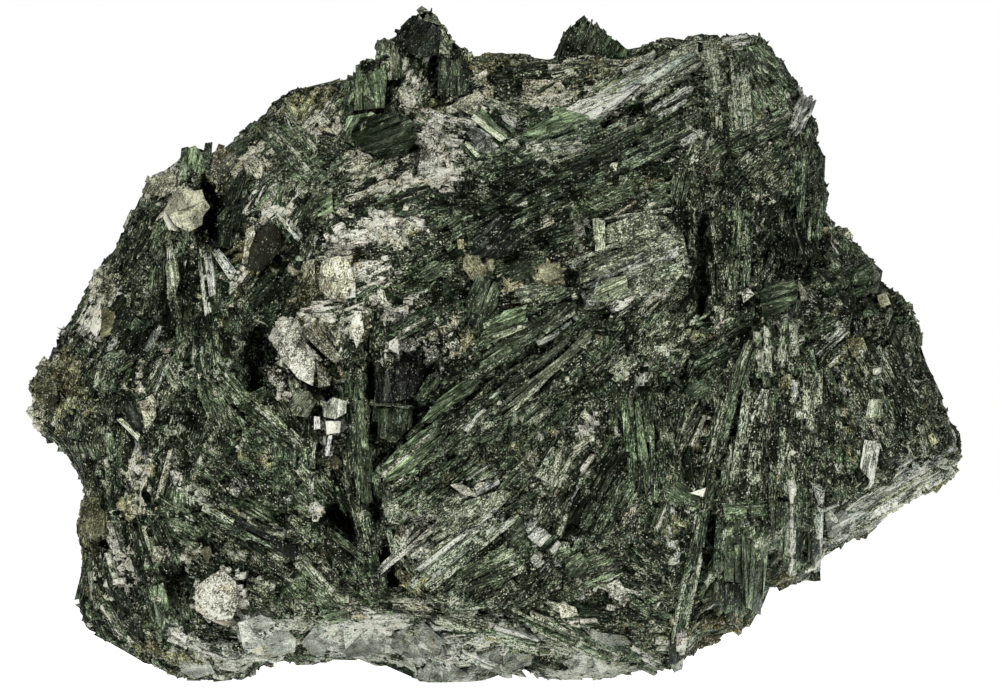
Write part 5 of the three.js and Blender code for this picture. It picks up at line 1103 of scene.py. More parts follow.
class Geology:
    """Says which mineral shows at a spot, and which way its blades run."""

    FRONT_DEPTH = 9.0  # patches of the showy face reach this far into the rim
    HIDDEN_PATCHES = 150
    HIDDEN_RUNS = 110

    def __init__(self, skin: Skin, rng: np.random.Generator) -> None:
        """Places the patches and runs on the skin, and spreads more over the sides and the back."""
        self.rng = rng
        self.spots = np.array([skin.touch(*patch.at)[0] for patch in PATCHES])
        places = [skin.touch(*run.at) for run in RUNS]
        angles = np.radians([run.angle for run in RUNS])
        flat = np.stack([np.cos(angles), np.zeros(len(angles)), np.sin(angles)], axis=1)
        hidden = skin.pick(rng, 4000)
        hidden = hidden[self.hidden_share(skin.points[hidden]) > 0.9]
        runs, patches = hidden[: self.HIDDEN_RUNS], hidden[self.HIDDEN_RUNS :][: self.HIDDEN_PATCHES]
        self.run_places = np.concatenate([np.array([place for place, _ in places]), skin.points[runs]])
        loose = across_of(rng.normal(size=(len(runs), 3)), skin.normals[runs])
        self.run_ways = np.concatenate([flat, loose])
        self.run_reaches = np.concatenate([[run.reach for run in RUNS], rng.uniform(4, 9, len(runs))])
        self.hidden_places = skin.points[patches]
        self.hidden_sizes = rng.uniform(1.4, 5.0, len(patches))
        kinds = [FELDSPAR, CREAM, BRIGHT, PALE, DARK, GREY, BROWN, GREEN]
        shares = [0.13, 0.15, 0.16, 0.17, 0.14, 0.10, 0.07, 0.08]
        self.hidden_kinds = [kinds[i] for i in rng.choice(len(kinds), len(patches), p=shares)]

    def hidden_share(self, points: np.ndarray) -> np.ndarray:
        """Returns how far each point is out of the showy face: 0 on it, 1 on the sides and back."""
        return np.clip((points[:, 1] + 2.0) / self.FRONT_DEPTH, 0, 1)

    def minerals(self, points: np.ndarray) -> np.ndarray:
        """Returns the mineral at each point, as an index into the list of minerals."""
        rng = self.rng
        order = list(Mineral)
        shares = np.array([GROUND_MIX.get(mineral, 0.0) for mineral in order])
        found = rng.choice(len(order), len(points), p=shares / shares.sum())
        showy = 1 - self.hidden_share(points)
        for patch, spot in zip(PATCHES, self.spots):
            turn = math.radians(patch.turn)
            dx, dz = points[:, 0] - patch.at[0], points[:, 2] - patch.at[1]
            along = (dx * math.cos(turn) + dz * math.sin(turn)) / (patch.size[0] / 2)
            up = (dz * math.cos(turn) - dx * math.sin(turn)) / (patch.size[1] / 2)
            reach = np.hypot(along, up) + rng.normal(0, 0.12, len(points))
            deep = np.abs(points[:, 1] - spot[1]) < 7 + max(patch.size)
            chance = patch.share * np.clip((1.2 - reach) / 0.3, 0, 1) * showy * deep
            found[rng.random(len(points)) < chance] = order.index(patch.mineral)
        for place, size, kind in zip(self.hidden_places, self.hidden_sizes, self.hidden_kinds):
            reach = np.linalg.norm(points - place, axis=1) / size + rng.normal(0, 0.15, len(points))
            chance = 0.75 * np.clip((1.2 - reach) / 0.3, 0, 1) * (1 - showy)
            found[rng.random(len(points)) < chance] = order.index(kind)
        return found

    def ways(self, points: np.ndarray, normals: np.ndarray, stray: float) -> np.ndarray:
        """Returns the way that a blade runs at each point.

        Args:
            points: Where the blades grow.
            normals: The way the surface looks there.
            stray: How far a blade strays from its neighbours', in radians.

        Returns:
            One unit vector to a point, lying in the surface.
        """
        rng = self.rng
        far = np.linalg.norm(points[:, None, :] - self.run_places[None, :, :], axis=2) / self.run_reaches
        nearest = np.argmin(far**2 + rng.gumbel(0, 0.12, far.shape), axis=1)
        ways = across_of(self.run_ways[nearest], normals)
        angle = rng.normal(0, stray, len(points))
        free = rng.random(len(points)) < 0.12
        angle = np.where(free, rng.uniform(-math.pi, math.pi, len(points)), angle)[:, None]
        return unit(ways * np.cos(angle) + np.cross(normals, ways) * np.sin(angle))


@dataclass
class Dress:
    """What a mesh's faces are dressed with: one row to a face or to a copied shape."""

    colours: np.ndarray
    feels: np.ndarray

    @classmethod
    def of(cls, kinds: np.ndarray, rng: np.random.Generator, tones: np.ndarray | None = None) -> "Dress":
        """Mixes the colour and feel of each row.

        Args:
            kinds: The mineral of each row, as an index.
            rng: The source of chance.
            tones: How bright each row is beside its neighbours, as a natural logarithm, or nothing.

        Returns:
            The colours and, as roughness, flecks and streaks, the feels.
        """
        looks = [LOOKS[mineral] for mineral in Mineral]
        colours = np.array([look.colour for look in looks])[kinds]
        spreads = np.array([look.spread for look in looks])[kinds]
        tones = rng.normal(0, 1, len(kinds)) if tones is None else tones
        colours = colours * np.exp(spreads * tones)[:, None] * rng.normal(1, 0.03, colours.shape)
        feels = np.array([(look.rough, look.fleck, look.streak) for look in looks])[kinds]
        feels = feels * rng.uniform(0.8, 1.2, feels.shape)
        return cls(np.clip(colours, 0.003, 0.85), np.clip(feels, 0, 1))

    def rows(self, index: np.ndarray) -> "Dress":
        """Returns the rows with these indices."""
        return Dress(self.colours[index], self.feels[index])


def finish_mesh(obj: bpy.types.Object, axes: np.ndarray, shifts: np.ndarray, dress: Dress) -> None:
    """Gives each face of a mesh its grain, colour and feel.

    Args:
        obj: The mesh, in metres.
        axes: The way the grain runs on each face.
        shifts: How far each face's grain is shifted, so that neighbours differ.
        dress: The colour and feel of each face.
    """
    mesh = obj.data
    normals = read(mesh.polygons, "normal", 3)
    counts = read(mesh.polygons, "loop_total", 1, int)
    face = np.repeat(np.arange(len(counts)), counts)
    sideways = np.cross(normals, axes)
    on_end = np.linalg.norm(sideways, axis=1) < 0.4
    helper = np.where(np.abs(axes[:, [2]]) < 0.8, (0.0, 0.0, 1.0), (1.0, 0.0, 0.0))
    axes = np.where(on_end[:, None], across_of(helper, normals), axes)
    sideways = unit(np.cross(normals, axes))
    corners = read(mesh.vertices, "co", 3)[read(mesh.loops, "vertex_index", 1, int)] / MM
    along = np.sum(corners * axes[face], axis=1) + shifts[face]
    aside = np.sum(corners * sideways[face], axis=1) + 1.7 * shifts[face]
    layer = mesh.uv_layers.new(name="grain")
    layer.uv.foreach_set("vector", np.stack([along, aside], axis=1).astype(np.float32).ravel())
    for name, rows in (("mineral_colour", dress.colours), ("mineral_feel", dress.feels)):
        values = np.concatenate([rows, np.ones((len(rows), 1))], axis=1)[face]
        made = mesh.attributes.new(name, "FLOAT_COLOR", "CORNER")
        made.data.foreach_set("color", values.astype(np.float32).ravel())


# ---- Finishes ----------------------------------------------------------------------------------------


@dataclass(frozen=True)
class RockFinish:
    """The finish of a piece of the rock.

    Colour and feel come with each face. The finish adds streaks along the grain, pale and dark flecks,
    and the fine relief that both leave. It also paints a sheen and glints into the colour.

    Attributes:
        name: The material's name.
        relief: Depth of the fine relief, in millimetres.
        fleck_size: Size of a fleck, in millimetres.
        contrast: How far the streaks and flecks change the colour.
        shine: Strength of its reflection, where 0.5 is that of clear crystal.
    """

    name: str
    relief: float
    fleck_size: float
    contrast: float
    shine: float

    def material(self) -> bpy.types.Material:
        """Builds the node material."""
        made = bpy.data.materials.new(self.name)
        made.use_nodes = True
        made.node_tree.nodes.clear()
        return _build_rock_nodes(made, self)


def _node(
    tree: bpy.types.NodeTree, kind: str, inputs: dict | None = None, **settings: object
) -> bpy.types.Node:
    """Adds a node to a tree.

    Args:
        tree: The tree.
        kind: The node's type.
        inputs: Values or sockets for its inputs, by name or index.
        settings: Its other settings.

    Returns:
        The node.
    """
    node = tree.nodes.new(kind)
    for name, value in settings.items():
        setattr(node, name, value)
    for name, value in (inputs or {}).items():
        if isinstance(value, bpy.types.NodeSocket):
            tree.links.new(value, node.inputs[name])
        else:
            node.inputs[name].default_value = value
    return node


def _math(
    tree: bpy.types.NodeTree, operation: str, *values: object, clamp: bool = False
) -> bpy.types.NodeSocket:
    """Adds a math node and returns its output."""
    node = _node(tree, "ShaderNodeMath", dict(enumerate(values)), operation=operation, use_clamp=clamp)
    return node.outputs[0]


def _build_rock_nodes(made: bpy.types.Material, finish: RockFinish) -> bpy.types.Material:
    """Fills the material of a rock finish.

    Args:
        made: The empty material.
        finish: Its sizes.

    Returns:
        The same material.
    """
    tree = made.node_tree
    colour = _node(tree, "ShaderNodeAttribute", attribute_name="mineral_colour").outputs["Color"]
    feel = _node(tree, "ShaderNodeAttribute", attribute_name="mineral_feel").outputs["Vector"]
    parts = _node(tree, "ShaderNodeSeparateXYZ", {0: feel}).outputs
    rough, fleck, streak = parts["X"], parts["Y"], parts["Z"]
    grain = _node(tree, "ShaderNodeUVMap", uv_map="grain").outputs[0]
    place = _node(tree, "ShaderNodeTexCoord").outputs["Object"]

    def times(first: object, second: object) -> bpy.types.NodeSocket:
        """Returns the product of two values."""
        return _math(tree, "MULTIPLY", first, second)

    def plus(first: object, second: object) -> bpy.types.NodeSocket:
        """Returns the sum of two values."""
        return _math(tree, "ADD", first, second)

    def swing(noise: bpy.types.NodeSocket) -> bpy.types.NodeSocket:
        """Returns noise that lies about 0 instead of about one half."""
        return _math(tree, "SUBTRACT", noise, 0.5)

    def painted(under: object, over: object, share: object) -> bpy.types.NodeSocket:
        """Returns one colour laid over another."""
        inputs = {"Factor": share, "A": under, "B": over}
        return _node(tree, "ShaderNodeMix", inputs, data_type="RGBA").outputs["Result"]

    def shifted(tint: bpy.types.NodeSocket, way: str, by: tuple[float, float, float]) -> bpy.types.NodeSocket:
        """Returns a colour changed by another, each channel on its own."""
        return _node(tree, "ShaderNodeVectorMath", {0: tint, 1: by}, operation=way).outputs[0]

    def noise(where: object, scale: float, detail: float, room: str) -> bpy.types.NodeSocket:
        """Returns noise on the plane or in the room, where its fine details are a little stronger."""
        roughness = 0.6 if room == "2D" else 0.65
        inputs = {"Vector": where, "Scale": scale, "Detail": detail, "Roughness": roughness}
        return _node(tree, "ShaderNodeTexNoise", inputs, noise_dimensions=room).outputs[0]

    def streaks(along: float, aside: float, detail: float) -> bpy.types.NodeSocket:
        """Returns noise drawn out along the grain."""
        return noise(shifted(grain, "MULTIPLY", (along, aside, 1)), 1.0, detail, "2D")

    def speckle(size: float, detail: float) -> bpy.types.NodeSocket:
        """Returns even noise of a size in millimetres."""
        return noise(place, 1000 / size, detail, "3D")

    def sharpened(value: bpy.types.NodeSocket, low: float, high: float) -> bpy.types.NodeSocket:
        """Returns noise stretched so that low becomes 0 and high 1."""
        inputs = {"Value": value, "From Min": low, "From Max": high}
        return _node(tree, "ShaderNodeMapRange", inputs).outputs[0]

    fine = sharpened(streaks(1.1, 7.0, 2.0), 0.30, 0.70)
    broad = sharpened(streaks(0.25, 2.0, 2.0), 0.32, 0.68)
    bands = sharpened(streaks(0.10, 0.65, 1.0), 0.32, 0.68)
    round_dots, long_dots = speckle(finish.fleck_size, 1.0), streaks(1.3, 4.0, 1.0)
    dots = sharpened(times(plus(round_dots, long_dots), 0.5), 0.37, 0.63)
    grit = sharpened(speckle(0.17, 0.0), 0.30, 0.70)
    knots = sharpened(speckle(1.5, 2.0), 0.35, 0.65)
    clouds = sharpened(speckle(5.0, 2.0), 0.35, 0.65)

    # How bright each spot is, as a natural logarithm.
    lines = plus(times(fine, 0.7), times(broad, 0.3))
    lit = times(swing(lines), times(streak, 2.6))
    speck = times(swing(dots), times(fleck, 2.8))
    sandy = times(swing(grit), _math(tree, "MULTIPLY_ADD", fleck, 2.1, 0.35))
    knot = times(swing(knots), _math(tree, "MULTIPLY_ADD", fleck, 1.4, 0.3))
    clear = times(_math(tree, "MULTIPLY_ADD", fleck, -2.2, 1.0, clamp=True), streak)
    banded = times(swing(bands), _math(tree, "MULTIPLY_ADD", clear, 2.0, 0.2))
    cloud = plus(times(swing(clouds), 0.85), banded)
    total = plus(plus(lit, plus(speck, sandy)), plus(knot, cloud))
    gain = _math(tree, "EXPONENT", times(total, finish.contrast))
    toned = _node(tree, "ShaderNodeVectorMath", {0: colour, "Scale": gain}, operation="SCALE").outputs[0]
    toned = shifted(toned, "MINIMUM", (0.56, 0.56, 0.49))

    # Rusty stains on what is granular.
    massive = _math(tree, "MULTIPLY_ADD", streak, -2.2, 1.6, clamp=True)
    rusty = _math(tree, "MULTIPLY", _math(tree, "SUBTRACT", 0.42, speckle(2.6, 2.0)), 9.0, clamp=True)
    toned = painted(toned, shifted(toned, "MULTIPLY", (0.80, 0.66, 0.42)), times(times(rusty, massive), 0.6))

    # Painted sheen: a pale highlight laid into the colour where a clear crystal's streaks and bands are both
    # high.
    high = plus(times(fine, 0.45), times(bands, 0.55))
    sheen = _math(tree, "MULTIPLY", _math(tree, "SUBTRACT", high, 0.60), 3.5, clamp=True)
    toned = painted(toned, shifted(toned, "ADD", (0.10, 0.112, 0.085)), times(sheen, times(clear, 0.9)))

    # Pale flecks where the grain's and the dots' noise are both high, dark pits where both are low.
    both = times(plus(plus(fine, dots), knots), 0.3333)
    edge = _node(tree, "ShaderNodeMapRange", {"Value": fleck, "To Min": 0.85, "To Max": 0.60}).outputs[0]
    pale = _math(tree, "MULTIPLY", _math(tree, "SUBTRACT", both, edge), 10.0, clamp=True)
    dark = _math(tree, "MULTIPLY", _math(tree, "SUBTRACT", 0.34, both), 9.0, clamp=True)
    flecked = painted(toned, (0.335, 0.345, 0.262, 1), times(pale, 0.75))
    pitted = painted(flecked, (0.003, 0.004, 0.002, 1), times(dark, 0.85))

    # Here and there a painted glint, a grain as bright as a spark; elsewhere a pore.
    cells = _node(tree, "ShaderNodeTexVoronoi", {"Vector": place, "Scale": 1000 / 0.32}).outputs
    chance = _node(tree, "ShaderNodeSeparateColor", {0: cells["Color"]}).outputs[0]
    shown = times(_math(tree, "LESS_THAN", cells["Distance"], 0.30), times(fleck, 1.4))
    spot = _math(tree, "MULTIPLY", shown, _math(tree, "GREATER_THAN", chance, 0.75), clamp=True)
    pore = _math(tree, "MULTIPLY", shown, _math(tree, "LESS_THAN", chance, 0.30), clamp=True)
    # Painted glints: tiny pale spots mixed into the colour.
    pitted = painted(pitted, (0.47, 0.48, 0.40, 1), spot)
    pitted = painted(pitted, (0.002, 0.003, 0.001, 1), pore)

    height = plus(times(lines, streak), times(dots, 0.9))
    bump = _node(tree, "ShaderNodeBump", {"Strength": 1.0, "Distance": finish.relief * MM, "Height": height})
    gloss = _math(tree, "ADD", rough, times(_math(tree, "SUBTRACT", 0.5, dots), 0.3), clamp=True)
    green = _node(tree, "ShaderNodeSeparateColor", {0: pitted}).outputs[1]
    shine = times(_math(tree, "MULTIPLY_ADD", green, 9.0, 0.22, clamp=True), finish.shine)
    surface = {"Base Color": pitted, "Roughness": gloss, "Normal": bump.outputs[0], "IOR": 1.6,
               "Specular IOR Level": shine, "Specular Tint": (0.92, 1.0, 0.80, 1)}
    shader = _node(tree, "ShaderNodeBsdfPrincipled", surface)
    _node(tree, "ShaderNodeOutputMaterial", {"Surface": shader.outputs[0]})
    return made


FINISHES = {
    "ground": RockFinish("ground_mass", relief=0.24, fleck_size=0.30, contrast=1.55, shine=0.10),
    "blade": RockFinish("amphibole_blades", relief=0.12, fleck_size=0.28, contrast=1.50, shine=0.13),
    "crystal": RockFinish("glassy_crystals", relief=0.06, fleck_size=0.24, contrast=1.30, shine=0.22),
    "grain": RockFinish("feldspar_grains", relief=0.10, fleck_size=0.30, contrast=1.15, shine=0.15),
}


# ---- The ground mass ---------------------------------------------------------------------------------


@dataclass
class Cells:
    """Cleavage cells: spots of the surface that part as one, longer along the grain than across it.

    Attributes:
        places: The middle of each cell.
        ways: The way its grain runs.
        length: How much longer than wide it is.
        steps: How far it stands in or out, in millimetres.
        tilts: Its slope along X, Y and Z.
    """

    places: np.ndarray
    ways: np.ndarray
    length: float
    steps: np.ndarray
    tilts: np.ndarray
    tree: KDTree = field(init=False)

    def __post_init__(self) -> None:
        """Sorts the cells in space."""
        self.tree = KDTree(len(self.places))
        for index, place in enumerate(self.places):
            self.tree.insert(place, index)
        self.tree.balance()

    def of(self, points: np.ndarray) -> tuple[np.ndarray, np.ndarray]:
        """Returns the cell of each point, and how far the point is from the next cell."""
        near = np.array([[found[1] for found in self.tree.find_n(point, 14)] for point in points])
        away = points[:, None, :] - self.places[near]
        along = np.sum(away * self.ways[near], axis=2)
        squares = np.sum(away**2, axis=2) - (1 - 1 / self.length**2) * along**2
        order = np.argsort(squares, axis=1)[:, :2]
        rows = np.arange(len(points))
        reach = np.sqrt(np.take_along_axis(squares, order, axis=1).clip(0))
        return near[rows, order[:, 0]], reach[:, 1] - reach[:, 0]

    def height(self, points: np.ndarray, cell: np.ndarray) -> np.ndarray:
        """Returns how far the surface stands out at points of these cells."""
        slope = np.sum((points - self.places[cell]) * self.tilts[cell], axis=1)
        return self.steps[cell] + slope


def opened(points: np.ndarray) -> np.ndarray:
    """Returns how deep a joint or cavity of the showy face lies open at each point, in millimetres."""
    flat = points[:, [0, 2]]
    waver = 1 + 0.35 * np.sin(flat @ [1.9, 2.7]) + 0.3 * np.sin(flat @ [5.3, -3.9])
    deep = np.zeros(len(points))
    for crack in CRACKS:
        line = np.array(crack.along)
        away = np.min([distance_to_line(flat, a, b) for a, b in zip(line, line[1:])], axis=0)
        deep = np.maximum(deep, crack.depth * np.clip(1.25 * waver - away / (crack.width / 2), 0, 1))
    for hollow in HOLLOWS:
        reach = np.linalg.norm((flat - np.array(hollow.at)) / (np.array(hollow.size) / 2), axis=1)
        deep = np.maximum(deep, hollow.depth * np.clip(1.3 - reach, 0, 1))
    return deep * (points[:, 1] < 2.0)


def painted_light_and_shade(points: np.ndarray) -> np.ndarray:
    """Returns how much brighter the washes paint each point, as a natural logarithm: painted light and
    painted shade.
    """
    tone = np.zeros(len(points))
    for wash in WASHES:
        reach = np.linalg.norm((points[:, [0, 2]] - np.array(wash.at)) / (np.array(wash.size) / 2), axis=1)
        tone += wash.tone * np.exp(-0.9 * reach**2)
    return tone * np.clip(1.5 - points[:, 1] / 8, 0, 1)


@dataclass(frozen=True)
class Cleavage:
    """How finely the surface breaks.

    Attributes:
        count: How many cells there are.
        length: How much longer than wide they are.
        step: How far they stand in or out.
        tilt: Their greatest usual slope.
    """

    count: int
    length: float
    step: float
    tilt: float


class GroundMass:
    """The rock itself: the solid's form, broken into cleavage cells."""

    VOXEL = 0.64
    COARSE = Cleavage(2600, 4.0, 0.50, 0.28)
    FINE = Cleavage(15000, 3.2, 0.16, 0.35)
    SPARE = 0.6  # how far the ground mass may stand outside the box of its solid
    FOOT = 1.5  # below this height the relief fades, so that the rock still rests on its flats
    JOINT_SHADE = 1.1  # painted shade: how much darker a joint or cavity is at its bottom, as a natural logarithm

    def __init__(self, rng: np.random.Generator) -> None:
        """Copies the solid as one even mesh and reads its skin."""
        self.rng = rng
        self.obj = self._even_copy()
        self.skin = Skin.of(self.obj, passes=2)

    def _even_copy(self) -> bpy.types.Object:
        """Returns a copy of the solid with vertices evenly spread over it."""
        choose(bpy.data.objects[NODE])
        bpy.ops.object.duplicate()
        copy = bpy.context.view_layer.objects.active
        for name in list(copy.keys()):
            del copy[name]
        copy.data.materials.clear()
        bpy.ops.object.transform_apply(location=True, rotation=True, scale=True)
        bpy.ops.object.mode_set(mode="EDIT")
        bpy.ops.mesh.select_all(action="SELECT")
        bpy.ops.mesh.remove_doubles(threshold=0.01 * MM)
        bpy.ops.object.mode_set(mode="OBJECT")
        remesh = copy.modifiers.new("even", "REMESH")
        remesh.mode = "VOXEL"
        remesh.voxel_size = self.VOXEL * MM
        bpy.ops.object.modifier_apply(modifier=remesh.name)
        copy.name = copy.data.name = "ground_mass"
        points = read(copy.data.vertices, "co", 3) / MM
        moved = points.copy()
        for nudge in NUDGES:
            off = (points[:, [0, 2]] - np.array(nudge.at)) / (np.array(nudge.size) / 2)
            near = np.exp(-0.8 * np.sum(off**2, axis=1))[:, None]
            moved[:, [0, 2]] += near * nudge.shift
        moved[:, 2] = np.maximum(moved[:, 2], 0)
        copy.data.vertices.foreach_set("co", (moved * MM).astype(np.float32).ravel())
        copy.data.update()
        return copy

    def _cells(self, geology: Geology, kind: Cleavage) -> Cells:
        """Spreads cells over the skin.

        Args:
            geology: Says which way the grain runs.
            kind: How many cells there are, and their shape.

        Returns:
            The cells.
        """
        rng = self.rng
        picked = self.skin.pick(rng, kind.count)
        places, normals = self.skin.points[picked], self.skin.normals[picked]
        ways = geology.ways(places, normals, 0.12)
        sides = np.cross(normals, ways)
        across = sides * rng.normal(0, kind.tilt, (kind.count, 1))
        tilts = across + ways * rng.normal(0, kind.tilt / 3, (kind.count, 1))
        return Cells(places, ways, kind.length, rng.uniform(-kind.step, kind.step, kind.count), tilts)

    def dress(self, geology: Geology) -> bpy.types.Object:
        """Breaks the surface into cells, opens its joints, gives every face its mineral and paints light and
        shade into its colours.
        """
        rng, mesh = self.rng, self.obj.data
        points, normals = self.skin.points, self.skin.normals
        coarse = self._cells(geology, self.COARSE)
        fine = self._cells(geology, self.FINE)
        big, big_gap = coarse.of(points)
        small, small_gap = fine.of(points)
        rise = np.clip(coarse.height(points, big), -0.8, 0.6) + np.clip(fine.height(points, small), -0.3, 0.3)
        rise -= 0.10 + 0.35 * np.exp(-((big_gap / 0.35) ** 2)) + 0.12 * np.exp(-((small_gap / 0.2) ** 2))
        resting = np.clip(points[:, 2] / self.FOOT, 0, 1)
        deep = opened(points)
        inward = np.array([0.0, 1.0, 0.0])
        moved = points + normals * (rise * resting)[:, None] + inward * (deep * resting)[:, None]
        box = np.array(CAD_BOX) / MM
        moved = np.clip(moved, box[0] - [self.SPARE, self.SPARE, 0], box[1] + self.SPARE)
        mesh.vertices.foreach_set("co", (moved * MM).astype(np.float32).ravel())
        mesh.update()
        corners = read(mesh.loops, "vertex_index", 1, int)
        starts = read(mesh.polygons, "loop_start", 1, int)
        lead = corners[starts]
        cell = small[lead]
        kinds = geology.minerals(fine.places)
        shared = geology.minerals(coarse.places)[big[lead]]
        kinds = np.where(rng.random(len(fine.places))[cell] < 0.45, shared, kinds[cell])
        tones = rng.normal(0, 0.8, self.FINE.count)[cell]
        tones = tones + rng.normal(0, 0.6, self.COARSE.count)[big[lead]]
        dress = Dress.of(kinds, rng, tones)
        # Painted shade darkens the faces of the joints and cavities with their depth; the washes add painted
        # light and shade.
        joint_shade = self.JOINT_SHADE * np.clip(deep[lead] / 1.2, 0, 1.2)
        dress.colours *= np.exp(painted_light_and_shade(points[lead]) - joint_shade)[:, None]
        finish_mesh(self.obj, fine.ways[cell], (cell % 977) * 0.37, dress)
        LOG.info("ground mass: %d faces", len(mesh.polygons))
        return self.obj


# ---- Small shapes ------------------------------------------------------------------------------------


@dataclass
class Shape:
    """A small closed shape that is modelled once and copied.

    X runs along it and Y across it, both from -0.5 to 0.5. Its crest is at Z 0 and its root at Z -1.

    Attributes:
        points: Its points.
        faces: Its triangles.
        stray: How far a copy's points stray, as a share of its size.
    """

    points: np.ndarray
    faces: np.ndarray
    stray: tuple[float, float, float]


class Shapes:
    """Models each small shape."""

    def lath(self) -> Shape:
        """A flat blade: a plain box."""
        bpy.ops.mesh.primitive_cube_add(size=1, location=(0, 0, -0.5))
        obj = bpy.context.view_layer.objects.active
        self._narrow(obj, lambda co: abs(co.x) > 0.4, (1.0, 0.72, 1.0))
        return self._take(obj, (0.03, 0.12, 0.05))

    def prism(self) -> Shape:
        """A six-sided blade that lies with one side up, narrowed towards one end."""
        turn = (0, math.pi / 2, 0)
        bpy.ops.mesh.primitive_cylinder_add(
            vertices=6, radius=0.5, depth=1, location=(0, 0, -0.5), rotation=turn
        )
        obj = bpy.context.view_layer.objects.active
        bpy.ops.object.transform_apply(location=True, rotation=True, scale=True)
        self._narrow(obj, lambda co: co.x > 0.4, (1.0, 0.8, 0.85))
        return self._take(obj, (0.06, 0.06, 0.05))

    def splinter(self) -> Shape:
        """A sharp splinter: a coarse ico sphere, decimated to about half its faces."""
        bpy.ops.mesh.primitive_ico_sphere_add(subdivisions=1, radius=0.5, location=(0, 0, -0.5))
        obj = bpy.context.view_layer.objects.active
        decimate = obj.modifiers.new("fewer", "DECIMATE")
        decimate.ratio = 0.5
        bpy.ops.object.modifier_apply(modifier=decimate.name)
        return self._take(obj, (0.10, 0.12, 0.10))

    def _narrow(self, obj: bpy.types.Object, chosen: object, scale: tuple[float, float, float]) -> None:
        """Scales the chosen points of a shape about its middle line."""
        for vertex in obj.data.vertices:
            if chosen(vertex.co):
                vertex.co.y *= scale[1]
                vertex.co.z = -0.5 + (vertex.co.z + 0.5) * scale[2]

    def _take(self, obj: bpy.types.Object, stray: tuple[float, float, float]) -> Shape:
        """Reads the modelled shape, fits it to its box and removes the object."""
        choose(obj)
        bpy.ops.object.transform_apply(location=True, rotation=True, scale=True)
        bpy.ops.object.mode_set(mode="EDIT")
        bpy.ops.mesh.select_all(action="SELECT")
        bpy.ops.mesh.quads_convert_to_tris()
        bpy.ops.mesh.normals_make_consistent(inside=False)
        bpy.ops.object.mode_set(mode="OBJECT")
        points = read(obj.data.vertices, "co", 3)
        faces = read(obj.data.polygons, "vertices", 3, int)
        low, high = points.min(axis=0), points.max(axis=0)
        points = (points - low) / (high - low) - (0.5, 0.5, 1.0)
        bpy.ops.object.delete()
        return Shape(points, faces, stray)


class Growth:
    """Copies of small shapes, joined into one mesh."""

    def __init__(self, name: str, finish: RockFinish, rng: np.random.Generator) -> None:
        """Starts an empty growth."""
        self.name, self.finish, self.rng = name, finish, rng
        self.points, self.faces, self.ways, self.shifts, self.dresses = [], [], [], [], []
        self.size = 0

    def add(self, shape: Shape, places: np.ndarray, ways: np.ndarray, normals: np.ndarray, sizes: np.ndarray,
            dress: Dress) -> None:
        """Adds copies of a shape.

        Args:
            shape: The shape.
            places: The middle of each copy's crest.
            ways: The way each copy runs.
            normals: The way each copy's crest looks, square to the way it runs.
            sizes: Length, width and depth of each copy, in millimetres.
            dress: Colour and feel of each copy.
        """
        rng = self.rng
        sides = np.cross(normals, ways)
        local = shape.points[None] + rng.normal(0, 1, (len(places), *shape.points.shape)) * shape.stray
        local = local * sizes[:, None, :]
        points = places[:, None, :] + local[..., :1] * ways[:, None, :]
        points = points + local[..., 1:2] * sides[:, None, :] + local[..., 2:] * normals[:, None, :]
        box = np.array(CAD_BOX) / MM
        low, high = box[0] - [SPARE_MM, SPARE_MM, 0.0], box[1] + SPARE_MM
        kept = np.all((points > low) & (points < high), axis=(1, 2))
        points, ways, dress = points[kept], ways[kept], dress.rows(kept)
        count, corners, faces = len(points), len(shape.points), len(shape.faces)
        first = corners * np.arange(count)
        triangles = (shape.faces[None] + first[:, None, None]).reshape(-1, 3)
        shifts = np.repeat(rng.uniform(0, 300, count), faces)
        self.join(points.reshape(-1, 3), triangles, np.repeat(ways, faces, axis=0), shifts,
                  dress.rows(np.repeat(np.arange(count), faces)))

    def join(self, points: np.ndarray, faces: np.ndarray, ways: np.ndarray, shifts: np.ndarray,
             dress: Dress) -> None:
        """Adds triangles, each with its grain, its shift and its dress."""
        self.points.append(points)
        self.faces.append(faces + self.size)
        self.ways.append(ways)
        self.shifts.append(shifts)
        self.dresses.append(dress)
        self.size += len(points)

    def build(self) -> bpy.types.Object:
        """Joins the copies into one mesh."""
        points, faces = np.concatenate(self.points), np.concatenate(self.faces)
        mesh = bpy.data.meshes.new(self.name)
        mesh.vertices.add(len(points))
        mesh.vertices.foreach_set("co", (points * MM).astype(np.float32).ravel())
        mesh.loops.add(faces.size)
        mesh.loops.foreach_set("vertex_index", faces.astype(np.int32).ravel())
        mesh.polygons.add(len(faces))
        mesh.polygons.foreach_set("loop_start", np.arange(0, faces.size, 3, dtype=np.int32))
        mesh.update(calc_edges=True)
        obj = bpy.data.objects.new(self.name, mesh)
        bpy.context.scene.collection.objects.link(obj)
        dress = Dress(np.concatenate([dress.colours for dress in self.dresses]),
                      np.concatenate([dress.feels for dress in self.dresses]))
        finish_mesh(obj, np.concatenate(self.ways), np.concatenate(self.shifts), dress)
        mesh.materials.append(self.finish.material())
        LOG.info("%s: %d triangles", self.name, len(faces))
        return obj


# ---- Blades ------------------------------------------------------------------------------------------


